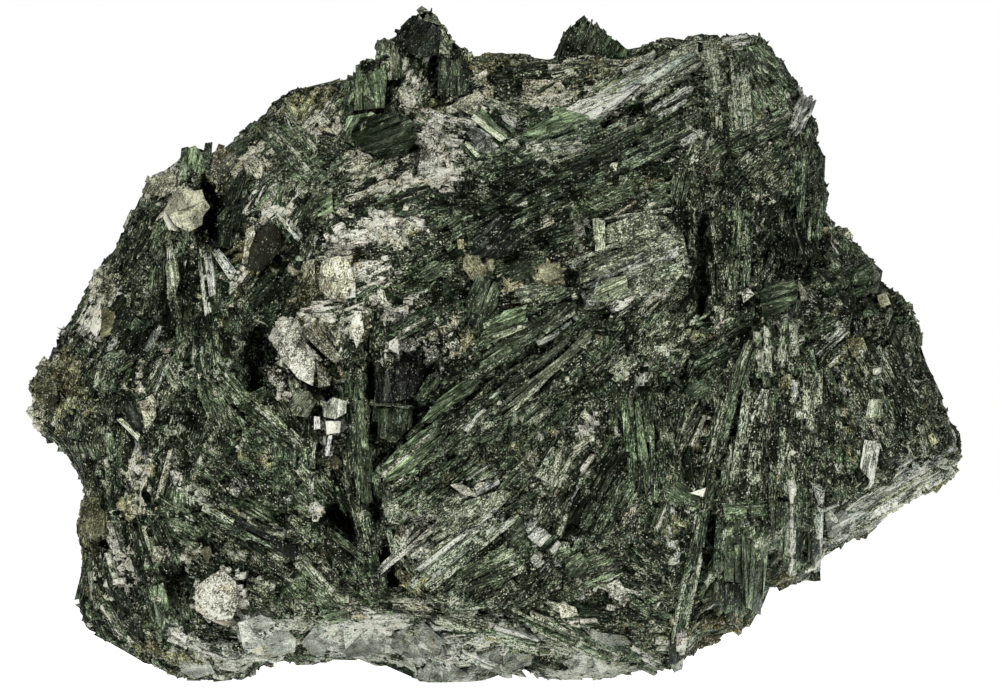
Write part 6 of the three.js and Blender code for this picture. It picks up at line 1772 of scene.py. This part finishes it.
@dataclass
class Blades:
    """Blades laid on the rock.

    Attributes:
        places: The middle of each crest.
        ways: The way each runs.
        normals: The way its crest looks.
        sizes: Length, width and depth.
        kinds: Its mineral, as an index.
        tones: Its brightness, as a natural logarithm.
    """

    places: np.ndarray
    ways: np.ndarray
    normals: np.ndarray
    sizes: np.ndarray
    kinds: np.ndarray
    tones: np.ndarray

    def rows(self, index: np.ndarray) -> "Blades":
        """Returns the blades with these indices."""
        return Blades(self.places[index], self.ways[index], self.normals[index], self.sizes[index],
                      self.kinds[index], self.tones[index])

    def onto(self, growth: Growth, shape: Shape) -> None:
        """Adds the blades to a growth."""
        dress = Dress.of(self.kinds, growth.rng, self.tones)
        # The washes' painted light and shade, as on the ground mass.
        dress.colours *= np.exp(painted_light_and_shade(self.places))[:, None]
        growth.add(shape, self.places, self.ways, self.normals, self.sizes, dress)


def lay(skin: Skin, blades: Blades, float_limit: float, sink_limit: float) -> Blades:
    """Lays straight blades on an uneven surface.

    Both ends of a blade come to the surface nearest to them. A blade that would float over a hollow or sink
    into a swell is left out.

    Args:
        skin: The surface.
        blades: The blades, each with its middle on the surface.
        float_limit: How far the middle may stand off the surface.
        sink_limit: How far the middle may lie under it.

    Returns:
        The blades that fit.
    """
    half = blades.ways * blades.sizes[:, :1] / 2
    ends = []
    for side in (-1, 1):
        reached = [skin.tree.find_nearest(Vector(spot))[0] for spot in blades.places + side * half]
        ends.append(np.array([tuple(spot) for spot in reached]))
    middles = (ends[0] + ends[1]) / 2
    ways = unit(ends[1] - ends[0])
    normals = across_of(blades.normals, ways)
    off = np.sum((middles - blades.places) * normals, axis=1)
    straight = np.sum(ways * blades.ways, axis=1) > 0.75
    lengths = np.linalg.norm(ends[1] - ends[0], axis=1)
    full = lengths > 0.55 * blades.sizes[:, 0]
    kept = (off < float_limit) & (off > -sink_limit) & straight & full
    places = middles + normals * np.where(off < 0, -off * 0.6, 0)[:, None]
    sizes = np.concatenate([lengths[:, None], blades.sizes[:, 1:]], axis=1)
    return Blades(places, ways, normals, sizes, blades.kinds, blades.tones).rows(kept)


@dataclass
class BundleGrower:
    """Grows bundles of parallel blades over the whole rock.

    Attributes:
        count: How many bundles.
        blades: Fewest and most blades in a bundle.
        length: Shortest and longest blade.
        width: Narrowest and widest blade.
        rise: Least and greatest height of the crests over the surface.
        depth: How deep each reaches.
        float_limit: How far a blade's middle may stand off the surface.
        sink_limit: How far it may lie under it.
    """

    count: int
    blades: tuple[int, int]
    length: tuple[float, float]
    width: tuple[float, float]
    rise: tuple[float, float]
    depth: float = 1.4
    float_limit: float = 0.7
    sink_limit: float = 1.0

    def grow(self, skin: Skin, geology: Geology, rng: np.random.Generator) -> Blades:
        """Returns the blades."""
        picked = skin.pick(rng, self.count)
        centres, normals = skin.points[picked], skin.normals[picked]
        ways = geology.ways(centres, normals, 0.14)
        kinds = geology.minerals(centres)
        members = rng.integers(self.blades[0], self.blades[1] + 1, self.count)
        widths = np.exp(rng.uniform(math.log(self.width[0]), math.log(self.width[1]), self.count))
        lengths = np.exp(rng.uniform(math.log(self.length[0]), math.log(self.length[1]), self.count))
        lengths = np.maximum(lengths, 2.5 * widths)
        tones = rng.normal(0, 0.7, self.count)
        rng.uniform(*self.rise, self.count)  # not used, but the draws after it keep their order
        row = np.repeat(np.arange(self.count), members)
        order = np.arange(len(row)) - np.repeat(np.cumsum(members) - members, members)
        spread = (order - (members[row] - 1) / 2) * widths[row] * 0.95
        sides = np.cross(normals, ways)
        slide = rng.normal(0, 0.14, len(row)) * lengths[row]
        spots = centres[row] + sides[row] * spread[:, None] + ways[row] * slide[:, None]
        near = [skin.tree.find_nearest(Vector(spot))[0] for spot in spots]
        spots = np.array([tuple(spot) for spot in near])
        size = np.stack([lengths[row] * rng.uniform(0.55, 1.0, len(row)),
                         widths[row] * rng.uniform(0.8, 1.25, len(row)),
                         np.full(len(row), self.depth)], axis=1)
        own = geology.minerals(spots)
        kinds = np.where(rng.random(len(row)) < 0.7, kinds[row], own)
        roll = rng.normal(0, 0.22, len(row)) + rng.normal(0, 0.2, self.count)[row]
        leaning = unit(normals[row] * np.cos(roll)[:, None] + sides[row] * np.sin(roll)[:, None])
        blades = Blades(spots, ways[row], leaning, size, kinds, tones[row] + rng.normal(0, 0.5, len(row)))
        laid = lay(skin, blades, self.float_limit, self.sink_limit)
        lift = rng.uniform(0.7, 1.2, len(laid.places)) * rng.uniform(*self.rise, len(laid.places))
        on_rim = np.clip((np.abs(laid.normals[:, 1]) - 0.15) / 0.4, 0, 1)
        lift = lift * on_rim - 0.12 * (1 - on_rim)
        laid.places += laid.normals * lift[:, None]
        deep = opened(laid.places)
        return laid.rows(deep < 0.35)


@dataclass
class SheafGrower:
    """Lays the sheaves of the showy face.

    Each blade's crest follows the surface from its start to its end as well as a straight line can.

    Attributes:
        depth: How deep each blade reaches.
        steps: At how many spots it is laid on the surface.
        piece: Half the usual length of the pieces that it breaks into.
        proud: How far a sheaf that rises by 1 stands proud.
    """

    depth: float = 2.0
    steps: int = 7
    piece: float = 3.4
    proud: float = 0.62

    def grow(self, skin: Skin, rng: np.random.Generator) -> Blades:
        """Returns the blades of all sheaves."""
        order = list(Mineral)
        rows = []
        for sheaf in SHEAVES:
            first = np.array(sheaf.first)
            run = first[1] - first[0]
            aside = np.array([-run[1], run[0]]) / np.linalg.norm(run)
            if sheaf.last is not None:
                aside = np.sign(aside @ (np.array(sheaf.last)[0] - first[0])) * aside
            crests = rng.uniform(0.3, 1.0, sheaf.blades)
            tones = rng.normal(0, 0.5, sheaf.blades)
            for index in range(sheaf.blades):
                share = (index + 0.5) / sheaf.blades
                if sheaf.last is None:
                    line = first + aside * (share - 0.5) * sheaf.width
                else:
                    line = first * (1 - share) + np.array(sheaf.last) * share
                slide = rng.uniform(-0.06, 0.10, 2) if sheaf.blades > 1 else np.zeros(2)
                line = np.array([line[0] + run * slide[0], line[1] - run * slide[1]])
                width = sheaf.width / sheaf.blades * rng.uniform(0.85, 1.2)
                for piece in self._broken(line, rng):
                    kind = sheaf.also if sheaf.also and rng.random() < 0.38 else sheaf.mineral
                    laid = self._blade(skin, piece, width, self.proud * sheaf.rise * crests[index])
                    rows.append((*laid, order.index(kind), tones[index] + rng.normal(0, 0.45)))
        columns = [np.array(column) for column in zip(*rows)]
        return Blades(*columns)

    def _broken(self, line: np.ndarray, rng: np.random.Generator) -> list[np.ndarray]:
        """Breaks a long blade across into pieces that lie end to end."""
        length = np.linalg.norm(line[1] - line[0])
        breaks = np.sort(rng.uniform(0.12, 0.88, rng.poisson(length / self.piece / 2)))
        stops = np.concatenate([[0], breaks, [1]])
        joint = 0.08 / length
        ends = [(a + joint * (a > 0), b - joint * (b < 1)) for a, b in zip(stops, stops[1:]) if b - a > 0.1]
        start, along = line[0], line[1] - line[0]
        return [np.array([start + along * first, start + along * second]) for first, second in ends]

    def _blade(self, skin: Skin, line: np.ndarray, width: float, rise: float) -> tuple:
        """Lays one blade.

        Args:
            skin: The surface.
            line: Its start and end as X and Z.
            width: Its width.
            rise: How far its crest stands over the surface.

        Returns:
            Its middle, the way it runs, the way its crest looks and its size.
        """
        shares = np.linspace(0, 1, self.steps)
        touched = [skin.touch(*(line[0] * (1 - share) + line[1] * share)) for share in shares]
        depths = np.array([place[1] for place, _ in touched])
        slope, level = np.polyfit(shares, depths, 1, w=1.5 - depths / max(1.0, np.abs(depths).max()))
        fitted = level + slope * shares
        level -= np.percentile(fitted - depths, 70)
        start = np.array([line[0][0], level, line[0][1]])
        end = np.array([line[1][0], level + slope, line[1][1]])
        way = unit(end - start)
        normal = across_of(np.mean([look for _, look in touched], axis=0) + np.array([0, -1.2, 0]), way)
        middle = (start + end) / 2 + normal * rise
        return middle, way, normal, np.array([np.linalg.norm(end - start), width, self.depth])


def clipped(ring: np.ndarray, normal: np.ndarray, limit: float) -> np.ndarray:
    """Returns the part of a flat outline that lies on the low side of a line."""
    if len(ring) == 0:
        return ring
    heights = ring @ normal - limit
    kept = []
    for index, (here, height) in enumerate(zip(ring, heights)):
        after, above = ring[(index + 1) % len(ring)], heights[(index + 1) % len(ring)]
        if height <= 0:
            kept.append(here)
        if (height < 0) != (above < 0) and height != above:
            kept.append(here + (after - here) * height / (height - above))
    return np.array(kept)


def area_of(ring: np.ndarray) -> float:
    """Returns the area of a flat outline, positive when it turns to the left."""
    after = np.roll(ring, -1, axis=0)
    return float(np.sum(ring[:, 0] * after[:, 1] - ring[:, 1] * after[:, 0]) / 2)


class CrystalGrower:
    """Cuts the crystals of the showy face that have faces of their own.

    Each crystal is cut from its outline into the fibres or facets that it breaks into along its grain.
    """

    DEPTHS = (2.0, 3.0, 4.5, 7.0)  # how deep a piece may reach, until its back is inside the rock
    BEVEL = 0.05
    SMALLEST = 0.04  # area of the smallest facet that is cut

    def __init__(self, skin: Skin, coat: Skin, rng: np.random.Generator) -> None:
        """Fits each crystal's face to the rock behind its outline, on which its pieces are to be rooted."""
        self.rng = rng
        self.coat = coat
        self.faces = [self._fit(skin, crystal) for crystal in CRYSTALS]

    @staticmethod
    def _terms(crystal: Crystal, flat: np.ndarray) -> np.ndarray:
        """Returns the terms of a gently bent face at places given as X and Z."""
        off = (flat - np.mean(crystal.outline, axis=0)) / 4
        x, z = off[:, 0], off[:, 1]
        return np.stack([np.ones(len(off)), x, z, x * x, x * z, z * z], axis=1)

    def _fit(self, skin: Skin, crystal: Crystal) -> np.ndarray:
        """Returns the shares of the terms that make up a crystal's face."""
        corners = np.array(crystal.outline)
        middle = corners.mean(axis=0)
        spots = np.concatenate([middle + (corners - middle) * share for share in (1.0, 0.7, 0.35, 0.0)])
        depths = np.array([skin.touch(*spot)[0][1] for spot in spots])
        terms = self._terms(crystal, spots)
        calm = np.diag([0, 0.02, 0.02, 2.0, 2.0, 2.0])
        face = np.linalg.solve(terms.T @ terms + calm, terms.T @ depths)
        face[1:3] = np.clip(face[1:3], -4.0, 4.0)
        face[3:] = np.clip(face[3:], -1.5, 1.5)
        face[0] += np.percentile(depths - terms @ face, 30) - 0.15 - 0.5 * crystal.rise
        return face

    def covers(self, points: np.ndarray) -> np.ndarray:
        """Returns how clean the crystal in front of each point is, or 0 where there is none."""
        clean = np.zeros(len(points))
        flat = points[:, [0, 2]] + self.rng.normal(0, 0.35, (len(points), 2))
        for crystal, face in zip(CRYSTALS, self.faces):
            outline = np.array(crystal.outline)
            inside = np.zeros(len(points), dtype=bool)
            for start, end in zip(outline, np.roll(outline, -1, axis=0)):
                spans = (start[1] > flat[:, 1]) != (end[1] > flat[:, 1])
                slant = (end[0] - start[0]) / (end[1] - start[1] or 1.0)
                inside ^= spans & (flat[:, 0] < slant * (flat[:, 1] - start[1]) + start[0])
            near = points[:, 1] < self._terms(crystal, flat) @ face + 3.0
            clean = np.maximum(clean, inside * near * (0.45 + 0.55 * crystal.clean))
        return clean

    def onto(self, growth: Growth) -> None:
        """Adds every crystal to a growth."""
        for crystal, face in zip(CRYSTALS, self.faces):
            self._cut(growth, crystal, face)

    def _pieces(self, crystal: Crystal, run: np.ndarray) -> list[np.ndarray]:
        """Cuts a crystal's outline into strips along its grain and each strip into pieces.

        Args:
            crystal: The crystal.
            run: The way its grain runs, as X and Z.

        Returns:
            The outlines of the pieces.
        """
        rng = self.rng
        ring = np.array(crystal.outline)
        ring = ring + rng.normal(0, 0.13, ring.shape)
        ring = ring if area_of(ring) > 0 else ring[::-1]
        if crystal.clean < 0.15 or crystal.mineral in BLOCKY:
            return self._shards(ring, 0.5 + 2.6 * crystal.clean)
        aside = np.array([-run[1], run[0]])
        width = 0.28 + 1.1 * crystal.clean
        length = 2.2 + 3.5 * crystal.clean
        spread = ring @ aside
        pieces = []
        low = spread.min()
        while low < spread.max():
            high = low + width * rng.lognormal(0, 0.35)
            lean = rng.normal(0, 0.03)
            strip = clipped(clipped(ring, aside + lean * run, high + lean * (ring.mean(axis=0) @ run)),
                            -aside - lean * run, -low - lean * (ring.mean(axis=0) @ run))
            low = high
            if len(strip) < 3:
                continue
            along = strip @ run
            start = along.min() - 0.01
            while start < along.max():
                end = start + length * rng.lognormal(0, 0.5)
                skew = aside * rng.normal(0, 0.35)
                middle = strip.mean(axis=0) @ skew
                piece = clipped(strip, run + skew, end + middle)
                strip = clipped(strip, -run - skew, -end - middle)
                start = end
                if len(piece) >= 3:
                    pieces.append(piece)
                if len(strip) < 3:
                    break
        return [piece for piece in pieces if area_of(piece) > self.SMALLEST]

    def _shards(self, ring: np.ndarray, size: float) -> list[np.ndarray]:
        """Breaks an outline across its longest way again and again.

        Args:
            ring: The outline.
            size: About how wide its pieces end up.

        Returns:
            The outlines of the pieces.
        """
        rng = self.rng
        waiting, shards = [ring], []
        while waiting:
            shard = waiting.pop()
            area = area_of(shard)
            if area < size**2 * rng.lognormal(0, 0.4):
                shards += [shard] if area > self.SMALLEST else []
                continue
            middle = shard.mean(axis=0)
            angles = rng.uniform(0, math.pi) + np.linspace(0, math.pi, 7)[:-1]
            ways = np.stack([np.cos(angles), np.sin(angles)], axis=1)
            longest = ways[np.argmax(np.ptp(shard @ ways.T, axis=0))]
            limit = (middle + rng.normal(0, 0.12 * size, 2)) @ longest
            halves = [clipped(shard, longest, limit), clipped(shard, -longest, -limit)]
            waiting += [half for half in halves if len(half) >= 3]
        return shards

    def _cut(self, growth: Growth, crystal: Crystal, face: np.ndarray) -> None:
        """Cuts one crystal and adds it to a growth."""
        rng = self.rng
        angle = math.radians(crystal.run)
        run = np.array([math.cos(angle), math.sin(angle)])
        aside = np.array([-run[1], run[0]])
        outline = np.array(crystal.outline)
        middle = outline.mean(axis=0)
        reach = np.abs(outline - middle).max(axis=0) * 1.1
        coarse = crystal.clean < 0.15 or crystal.mineral in BLOCKY
        even = 0.5 - 0.3 * crystal.clean if coarse else 1.0
        unlike = even * (0.12 + 0.5 * (1 - crystal.clean))
        drift = rng.normal(0, 0.3, 2)
        tinted = 0.0 if crystal.mineral in BLOCKY else 0.3
        order = list(Mineral).index(crystal.mineral)
        way = unit(np.array([run[0], face[1:3] @ run / 4, run[1]]))
        for piece in self._pieces(crystal, run):
            centre = piece.mean(axis=0)
            toward = (centre - middle) / reach
            stray = aside * rng.normal(0, 0.16) + run * rng.normal(0, 0.05)
            tilt = -2 * crystal.crown * toward / reach + even * stray
            height = crystal.crown * (1 - toward @ toward) + even * rng.normal(0, 0.07)
            size = np.array([np.ptp(piece @ run), np.ptp(piece @ aside)]) + 0.01
            local = np.stack([(piece - centre) @ run, (piece - centre) @ aside], axis=1)
            inset = local * np.clip(1 - 2.5 * self.BEVEL / size, 0.3, 1.0)
            inset = centre + inset[:, :1] * run + inset[:, 1:] * aside

            def level(flat: np.ndarray, drop: float) -> np.ndarray:
                """Returns an outline laid so far under the piece's crest."""
                lift = height + (flat - centre) @ tilt - drop
                return np.stack([flat[:, 0], self._terms(crystal, flat) @ face - lift, flat[:, 1]], axis=1)

            backs = [level(piece, depth) for depth in self.DEPTHS]
            rooted = [back for back in backs if self.coat.outside(back.mean(axis=0)[None])[0] < 0]
            if not rooted:
                LOG.info("left out a piece of a crystal that hangs past the rim, near %s", centre.round(1))
                continue
            levels = [rooted[0], level(piece, self.BEVEL * 1.4), level(inset, 0.0)]
            faces = self._shell(piece)
            # Painted shade: pieces nearer the crystal's outline are made darker.
            to_edge = min(distance_to_line(centre[None], a, b)[0]
                          for a, b in zip(outline, np.roll(outline, -1, axis=0)))
            edge = math.exp(-to_edge / (0.1 * reach.sum()))
            tone = crystal.tone + rng.normal(0, unlike) + drift @ toward - 0.5 * edge
            dress = Dress.of(np.array([order]), rng, np.array([0.0]))
            look = np.array(LOOKS[crystal.mineral].colour)
            look = look * (look / look.max()) ** (tinted * crystal.clean) * math.exp(tone)
            dress.colours = np.clip(np.repeat([look], len(faces), axis=0), 0.003, 0.85)
            dress.feels = np.repeat(dress.feels, len(faces), axis=0)
            lined = 1 - (0.85 if coarse else 0.35) * crystal.clean
            dress.feels = dress.feels * [1 - 0.4 * crystal.clean, 1 - 0.75 * crystal.clean, lined]
            growth.join(np.concatenate(levels), faces, np.repeat(way[None], len(faces), axis=0),
                        np.full(len(faces), rng.uniform(0, 300)), dress)

    @staticmethod
    def _shell(ring: np.ndarray) -> np.ndarray:
        """Returns the triangles of three stacked rings, closed at both ends."""
        count = len(ring)
        faces = []
        for level in range(2):
            for index in range(count):
                a, b = level * count + index, level * count + (index + 1) % count
                faces += [(a, b, b + count), (a, b + count, a + count)]
        loop = [Vector((*spot, 0)) for spot in ring]
        for a, b, c in tessellate_polygon([loop]):
            flip = (loop[b] - loop[a]).cross(loop[c] - loop[a]).z < 0
            b, c = (c, b) if flip else (b, c)
            faces += [(a + 2 * count, b + 2 * count, c + 2 * count), (a, c, b)]
        return np.array(faces)


@dataclass
class SplinterGrower:
    """Scatters small splinters of broken blades over the rock.

    Attributes:
        count: How many.
        length: Shortest and longest.
        width: Narrowest and widest.
    """

    count: int
    length: tuple[float, float]
    width: tuple[float, float]

    def grow(self, skin: Skin, geology: Geology, rng: np.random.Generator) -> Blades:
        """Returns the splinters."""
        picked = skin.pick(rng, self.count)
        places, normals = skin.points[picked], skin.normals[picked]
        stray = rng.normal(0, 0.25, places.shape)
        places = places + stray - normals * np.sum(stray * normals, axis=1, keepdims=True)
        leaning = unit(normals + rng.normal(0, 0.28, normals.shape))
        ways = across_of(geology.ways(places, normals, 0.35), leaning)
        size = np.stack([rng.uniform(*self.length, self.count), rng.uniform(*self.width, self.count),
                         np.full(self.count, 0.9)], axis=1)
        lift = rng.uniform(0.02, 0.42, self.count) * np.clip(np.abs(normals[:, 1]) + 0.25, 0, 1)
        splinters = Blades(places + normals * lift[:, None], ways, leaning, size, geology.minerals(places),
                           rng.normal(0, 1.0, self.count))
        return splinters.rows(opened(places) < 0.5)


@dataclass
class GrainGrower:
    """Packs crumbs of feldspar where granular patches show.

    Attributes:
        tries: How many spots are tried.
        size: Smallest and largest crumb.
        most: The most crumbs there may be.
    """

    tries: int
    size: tuple[float, float]
    most: int

    def grow(self, skin: Skin, geology: Geology, rng: np.random.Generator) -> Blades:
        """Returns the crumbs."""
        picked = skin.pick(rng, self.tries)
        places, normals = skin.points[picked], skin.normals[picked]
        stray = rng.normal(0, 0.2, places.shape)
        places = places + stray - normals * np.sum(stray * normals, axis=1, keepdims=True)
        kinds = geology.minerals(places)
        granular = np.array([LOOKS[mineral].granular for mineral in Mineral])[kinds]
        kept = np.flatnonzero(granular & (opened(places) < 0.6))[: self.most]
        places, normals, kinds = places[kept], normals[kept], kinds[kept]
        count = len(kept)
        leaning = unit(normals + rng.normal(0, 0.35, normals.shape))
        ways = across_of(rng.normal(size=normals.shape), leaning)
        width = np.exp(rng.uniform(math.log(self.size[0]), math.log(self.size[1]), count))
        size = np.stack([width * rng.uniform(1.0, 2.4, count), width, width], axis=1)
        lift = width * rng.uniform(0.0, 0.8, count)
        return Blades(places + normals * lift[:, None], ways, leaning, size, kinds, rng.normal(0, 0.8, count))


# ---- The studio --------------------------------------------------------------------------------------


@dataclass(frozen=True)
class Softbox:
    """A soft lamp that looks at the specimen's middle.

    Attributes:
        name: Its name.
        place: Where it hangs, in metres.
        size: Its width and height, in metres.
        power: Its power, in watts.
    """

    name: str
    place: tuple[float, float, float]
    size: tuple[float, float]
    power: float


class Studio:
    """A white floor, soft light all round and a camera at the height of the specimen's middle."""

    MIDDLE = (0.00045, 0.0024, 0.0427)
    VIEW_WIDTH = 0.1289
    DISTANCE = 2.4
    SENSOR_MM = 36.0
    FLOOR_WIDTH = 6.0
    FLOOR_GLOW, FLOOR_GLOW_SEEN = 0.95, 0.05  # the second is added where the camera looks at it
    ROOM_LIGHT, ROOM_SEEN = 0.09, 1.0
    LAMPS = (
        Softbox("key_lamp", (-0.16, -0.46, 0.42), (0.12, 0.12), 3.45),
        Softbox("fill_lamp", (0.50, -0.50, 0.16), (0.25, 0.25), 1.1),
        Softbox("top_lamp", (0.10, 0.20, 0.55), (0.25, 0.25), 1.1),
    )

    def build(self) -> None:
        """Places the floor, the lamps, the surroundings and the camera."""
        bpy.ops.mesh.primitive_plane_add(size=self.FLOOR_WIDTH, location=(0, 0, 0))
        floor = bpy.context.view_layer.objects.active
        floor.name = "floor"
        paper = bpy.data.materials.new("white_paper")
        paper.use_nodes = True
        shader = paper.node_tree.nodes["Principled BSDF"]
        shader.inputs["Base Color"].default_value = (0.93, 0.93, 0.93, 1)
        shader.inputs["Roughness"].default_value = 0.9
        shader.inputs["Emission Color"].default_value = (1, 1, 1, 1)
        seen = _node(paper.node_tree, "ShaderNodeLightPath").outputs["Is Camera Ray"]
        glow = _math(paper.node_tree, "MULTIPLY_ADD", seen, self.FLOOR_GLOW_SEEN, self.FLOOR_GLOW)
        paper.node_tree.links.new(glow, shader.inputs["Emission Strength"])
        floor.data.materials.append(paper)
        for lamp in self.LAMPS:
            self._hang(lamp)
        self._surround()
        self._point_camera()
        bpy.context.scene.view_settings.view_transform = "Standard"
        LOG.info("studio: %d lamps", len(self.LAMPS))

    def _hang(self, lamp: Softbox) -> None:
        """Hangs one lamp."""
        light = bpy.data.lights.new(lamp.name, "AREA")
        light.shape = "RECTANGLE"
        light.size, light.size_y = lamp.size
        light.energy = lamp.power
        obj = bpy.data.objects.new(lamp.name, light)
        bpy.context.scene.collection.objects.link(obj)
        obj.location = lamp.place
        away = Vector(lamp.place) - Vector(self.MIDDLE)
        obj.rotation_euler = away.to_track_quat("Z", "Y").to_euler()

    def _surround(self) -> None:
        """Surrounds the specimen with white that lights it softly."""
        world = bpy.data.worlds.new("white_room")
        bpy.context.scene.world = world
        world.use_nodes = True
        tree = world.node_tree
        tree.nodes.clear()
        seen = _node(tree, "ShaderNodeLightPath").outputs["Is Camera Ray"]
        lit = _node(tree, "ShaderNodeBackground", {"Color": (1, 1, 1, 1), "Strength": self.ROOM_LIGHT})
        shown = _node(tree, "ShaderNodeBackground", {"Color": (1, 1, 1, 1), "Strength": self.ROOM_SEEN})
        mixed = _node(tree, "ShaderNodeMixShader", {0: seen, 1: lit.outputs[0], 2: shown.outputs[0]})
        _node(tree, "ShaderNodeOutputWorld", {"Surface": mixed.outputs[0]})

    def _point_camera(self) -> None:
        """Sets the camera level with the specimen's middle, far off, with a long lens."""
        camera = bpy.data.cameras.new("camera")
        camera.sensor_width = self.SENSOR_MM
        camera.lens = self.SENSOR_MM * self.DISTANCE / self.VIEW_WIDTH
        camera.clip_start, camera.clip_end = 0.05, 10.0
        obj = bpy.data.objects.new("camera", camera)
        bpy.context.scene.collection.objects.link(obj)
        obj.location = Vector(self.MIDDLE) - Vector((0, self.DISTANCE, 0))
        obj.rotation_euler = (math.pi / 2, 0, 0)
        bpy.context.scene.camera = obj


# ---- The specimen ------------------------------------------------------------------------------------


def place(piece: bpy.types.Object) -> None:
    """Fastens a piece to the rock."""
    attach(piece, "root")
    LOG.info("%s: placed", piece.name)


def main() -> None:
    """Builds the specimen and its studio."""
    logging.basicConfig(level=logging.INFO, format="%(name)s: %(message)s")
    rng = np.random.default_rng(SEED)
    ground = GroundMass(rng)
    skin = ground.skin
    geology = Geology(skin, rng)
    body = ground.dress(geology)
    coat = Skin.of(body, passes=3)
    body.data.materials.append(FINISHES["ground"].material())
    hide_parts(NODE)
    place(body)

    shapes = Shapes()
    lath, prism, splinter = shapes.lath(), shapes.prism(), shapes.splinter()
    cutter = CrystalGrower(skin, coat, rng)

    def fit(blades: Blades) -> Blades:
        """Leaves out the blades that would hide a clean crystal, and those whose root would miss the rock."""
        shown = cutter.covers(blades.places) < rng.random(len(blades.places))
        roots = blades.places - blades.normals * blades.sizes[:, 2:]
        return blades.rows(shown & (coat.outside(roots) < 0))

    bundles = Growth("blade_bundles", FINISHES["blade"], rng)
    flat_blades = BundleGrower(1700, (3, 7), (1.8, 7.0), (0.35, 1.0), (-0.15, 0.28))
    thick_blades = BundleGrower(330, (2, 5), (3.0, 10.0), (0.5, 1.3), (0.0, 0.4))
    fit(flat_blades.grow(skin, geology, rng)).onto(bundles, lath)
    fit(thick_blades.grow(skin, geology, rng)).onto(bundles, prism)
    place(bundles.build())

    sheaves = Growth("showy_sheaves", FINISHES["blade"], rng)
    fit(SheafGrower().grow(skin, rng)).onto(sheaves, lath)
    place(sheaves.build())

    crystals = Growth("named_crystals", FINISHES["crystal"], rng)
    cutter.onto(crystals)
    place(crystals.build())

    splinters = Growth("splinters", FINISHES["blade"], rng)
    fit(SplinterGrower(17000, (0.4, 1.8), (0.2, 0.65)).grow(coat, geology, rng)).onto(splinters, splinter)
    place(splinters.build())

    grains = Growth("feldspar_grains", FINISHES["grain"], rng)
    fit(GrainGrower(60000, (0.16, 0.6), 9000).grow(coat, geology, rng)).onto(grains, splinter)
    fit(GrainGrower(40000, (0.25, 0.9), 5000).grow(coat, geology, rng)).onto(grains, lath)
    place(grains.build())

    Studio().build()


if __name__ == "__main__":
    main()
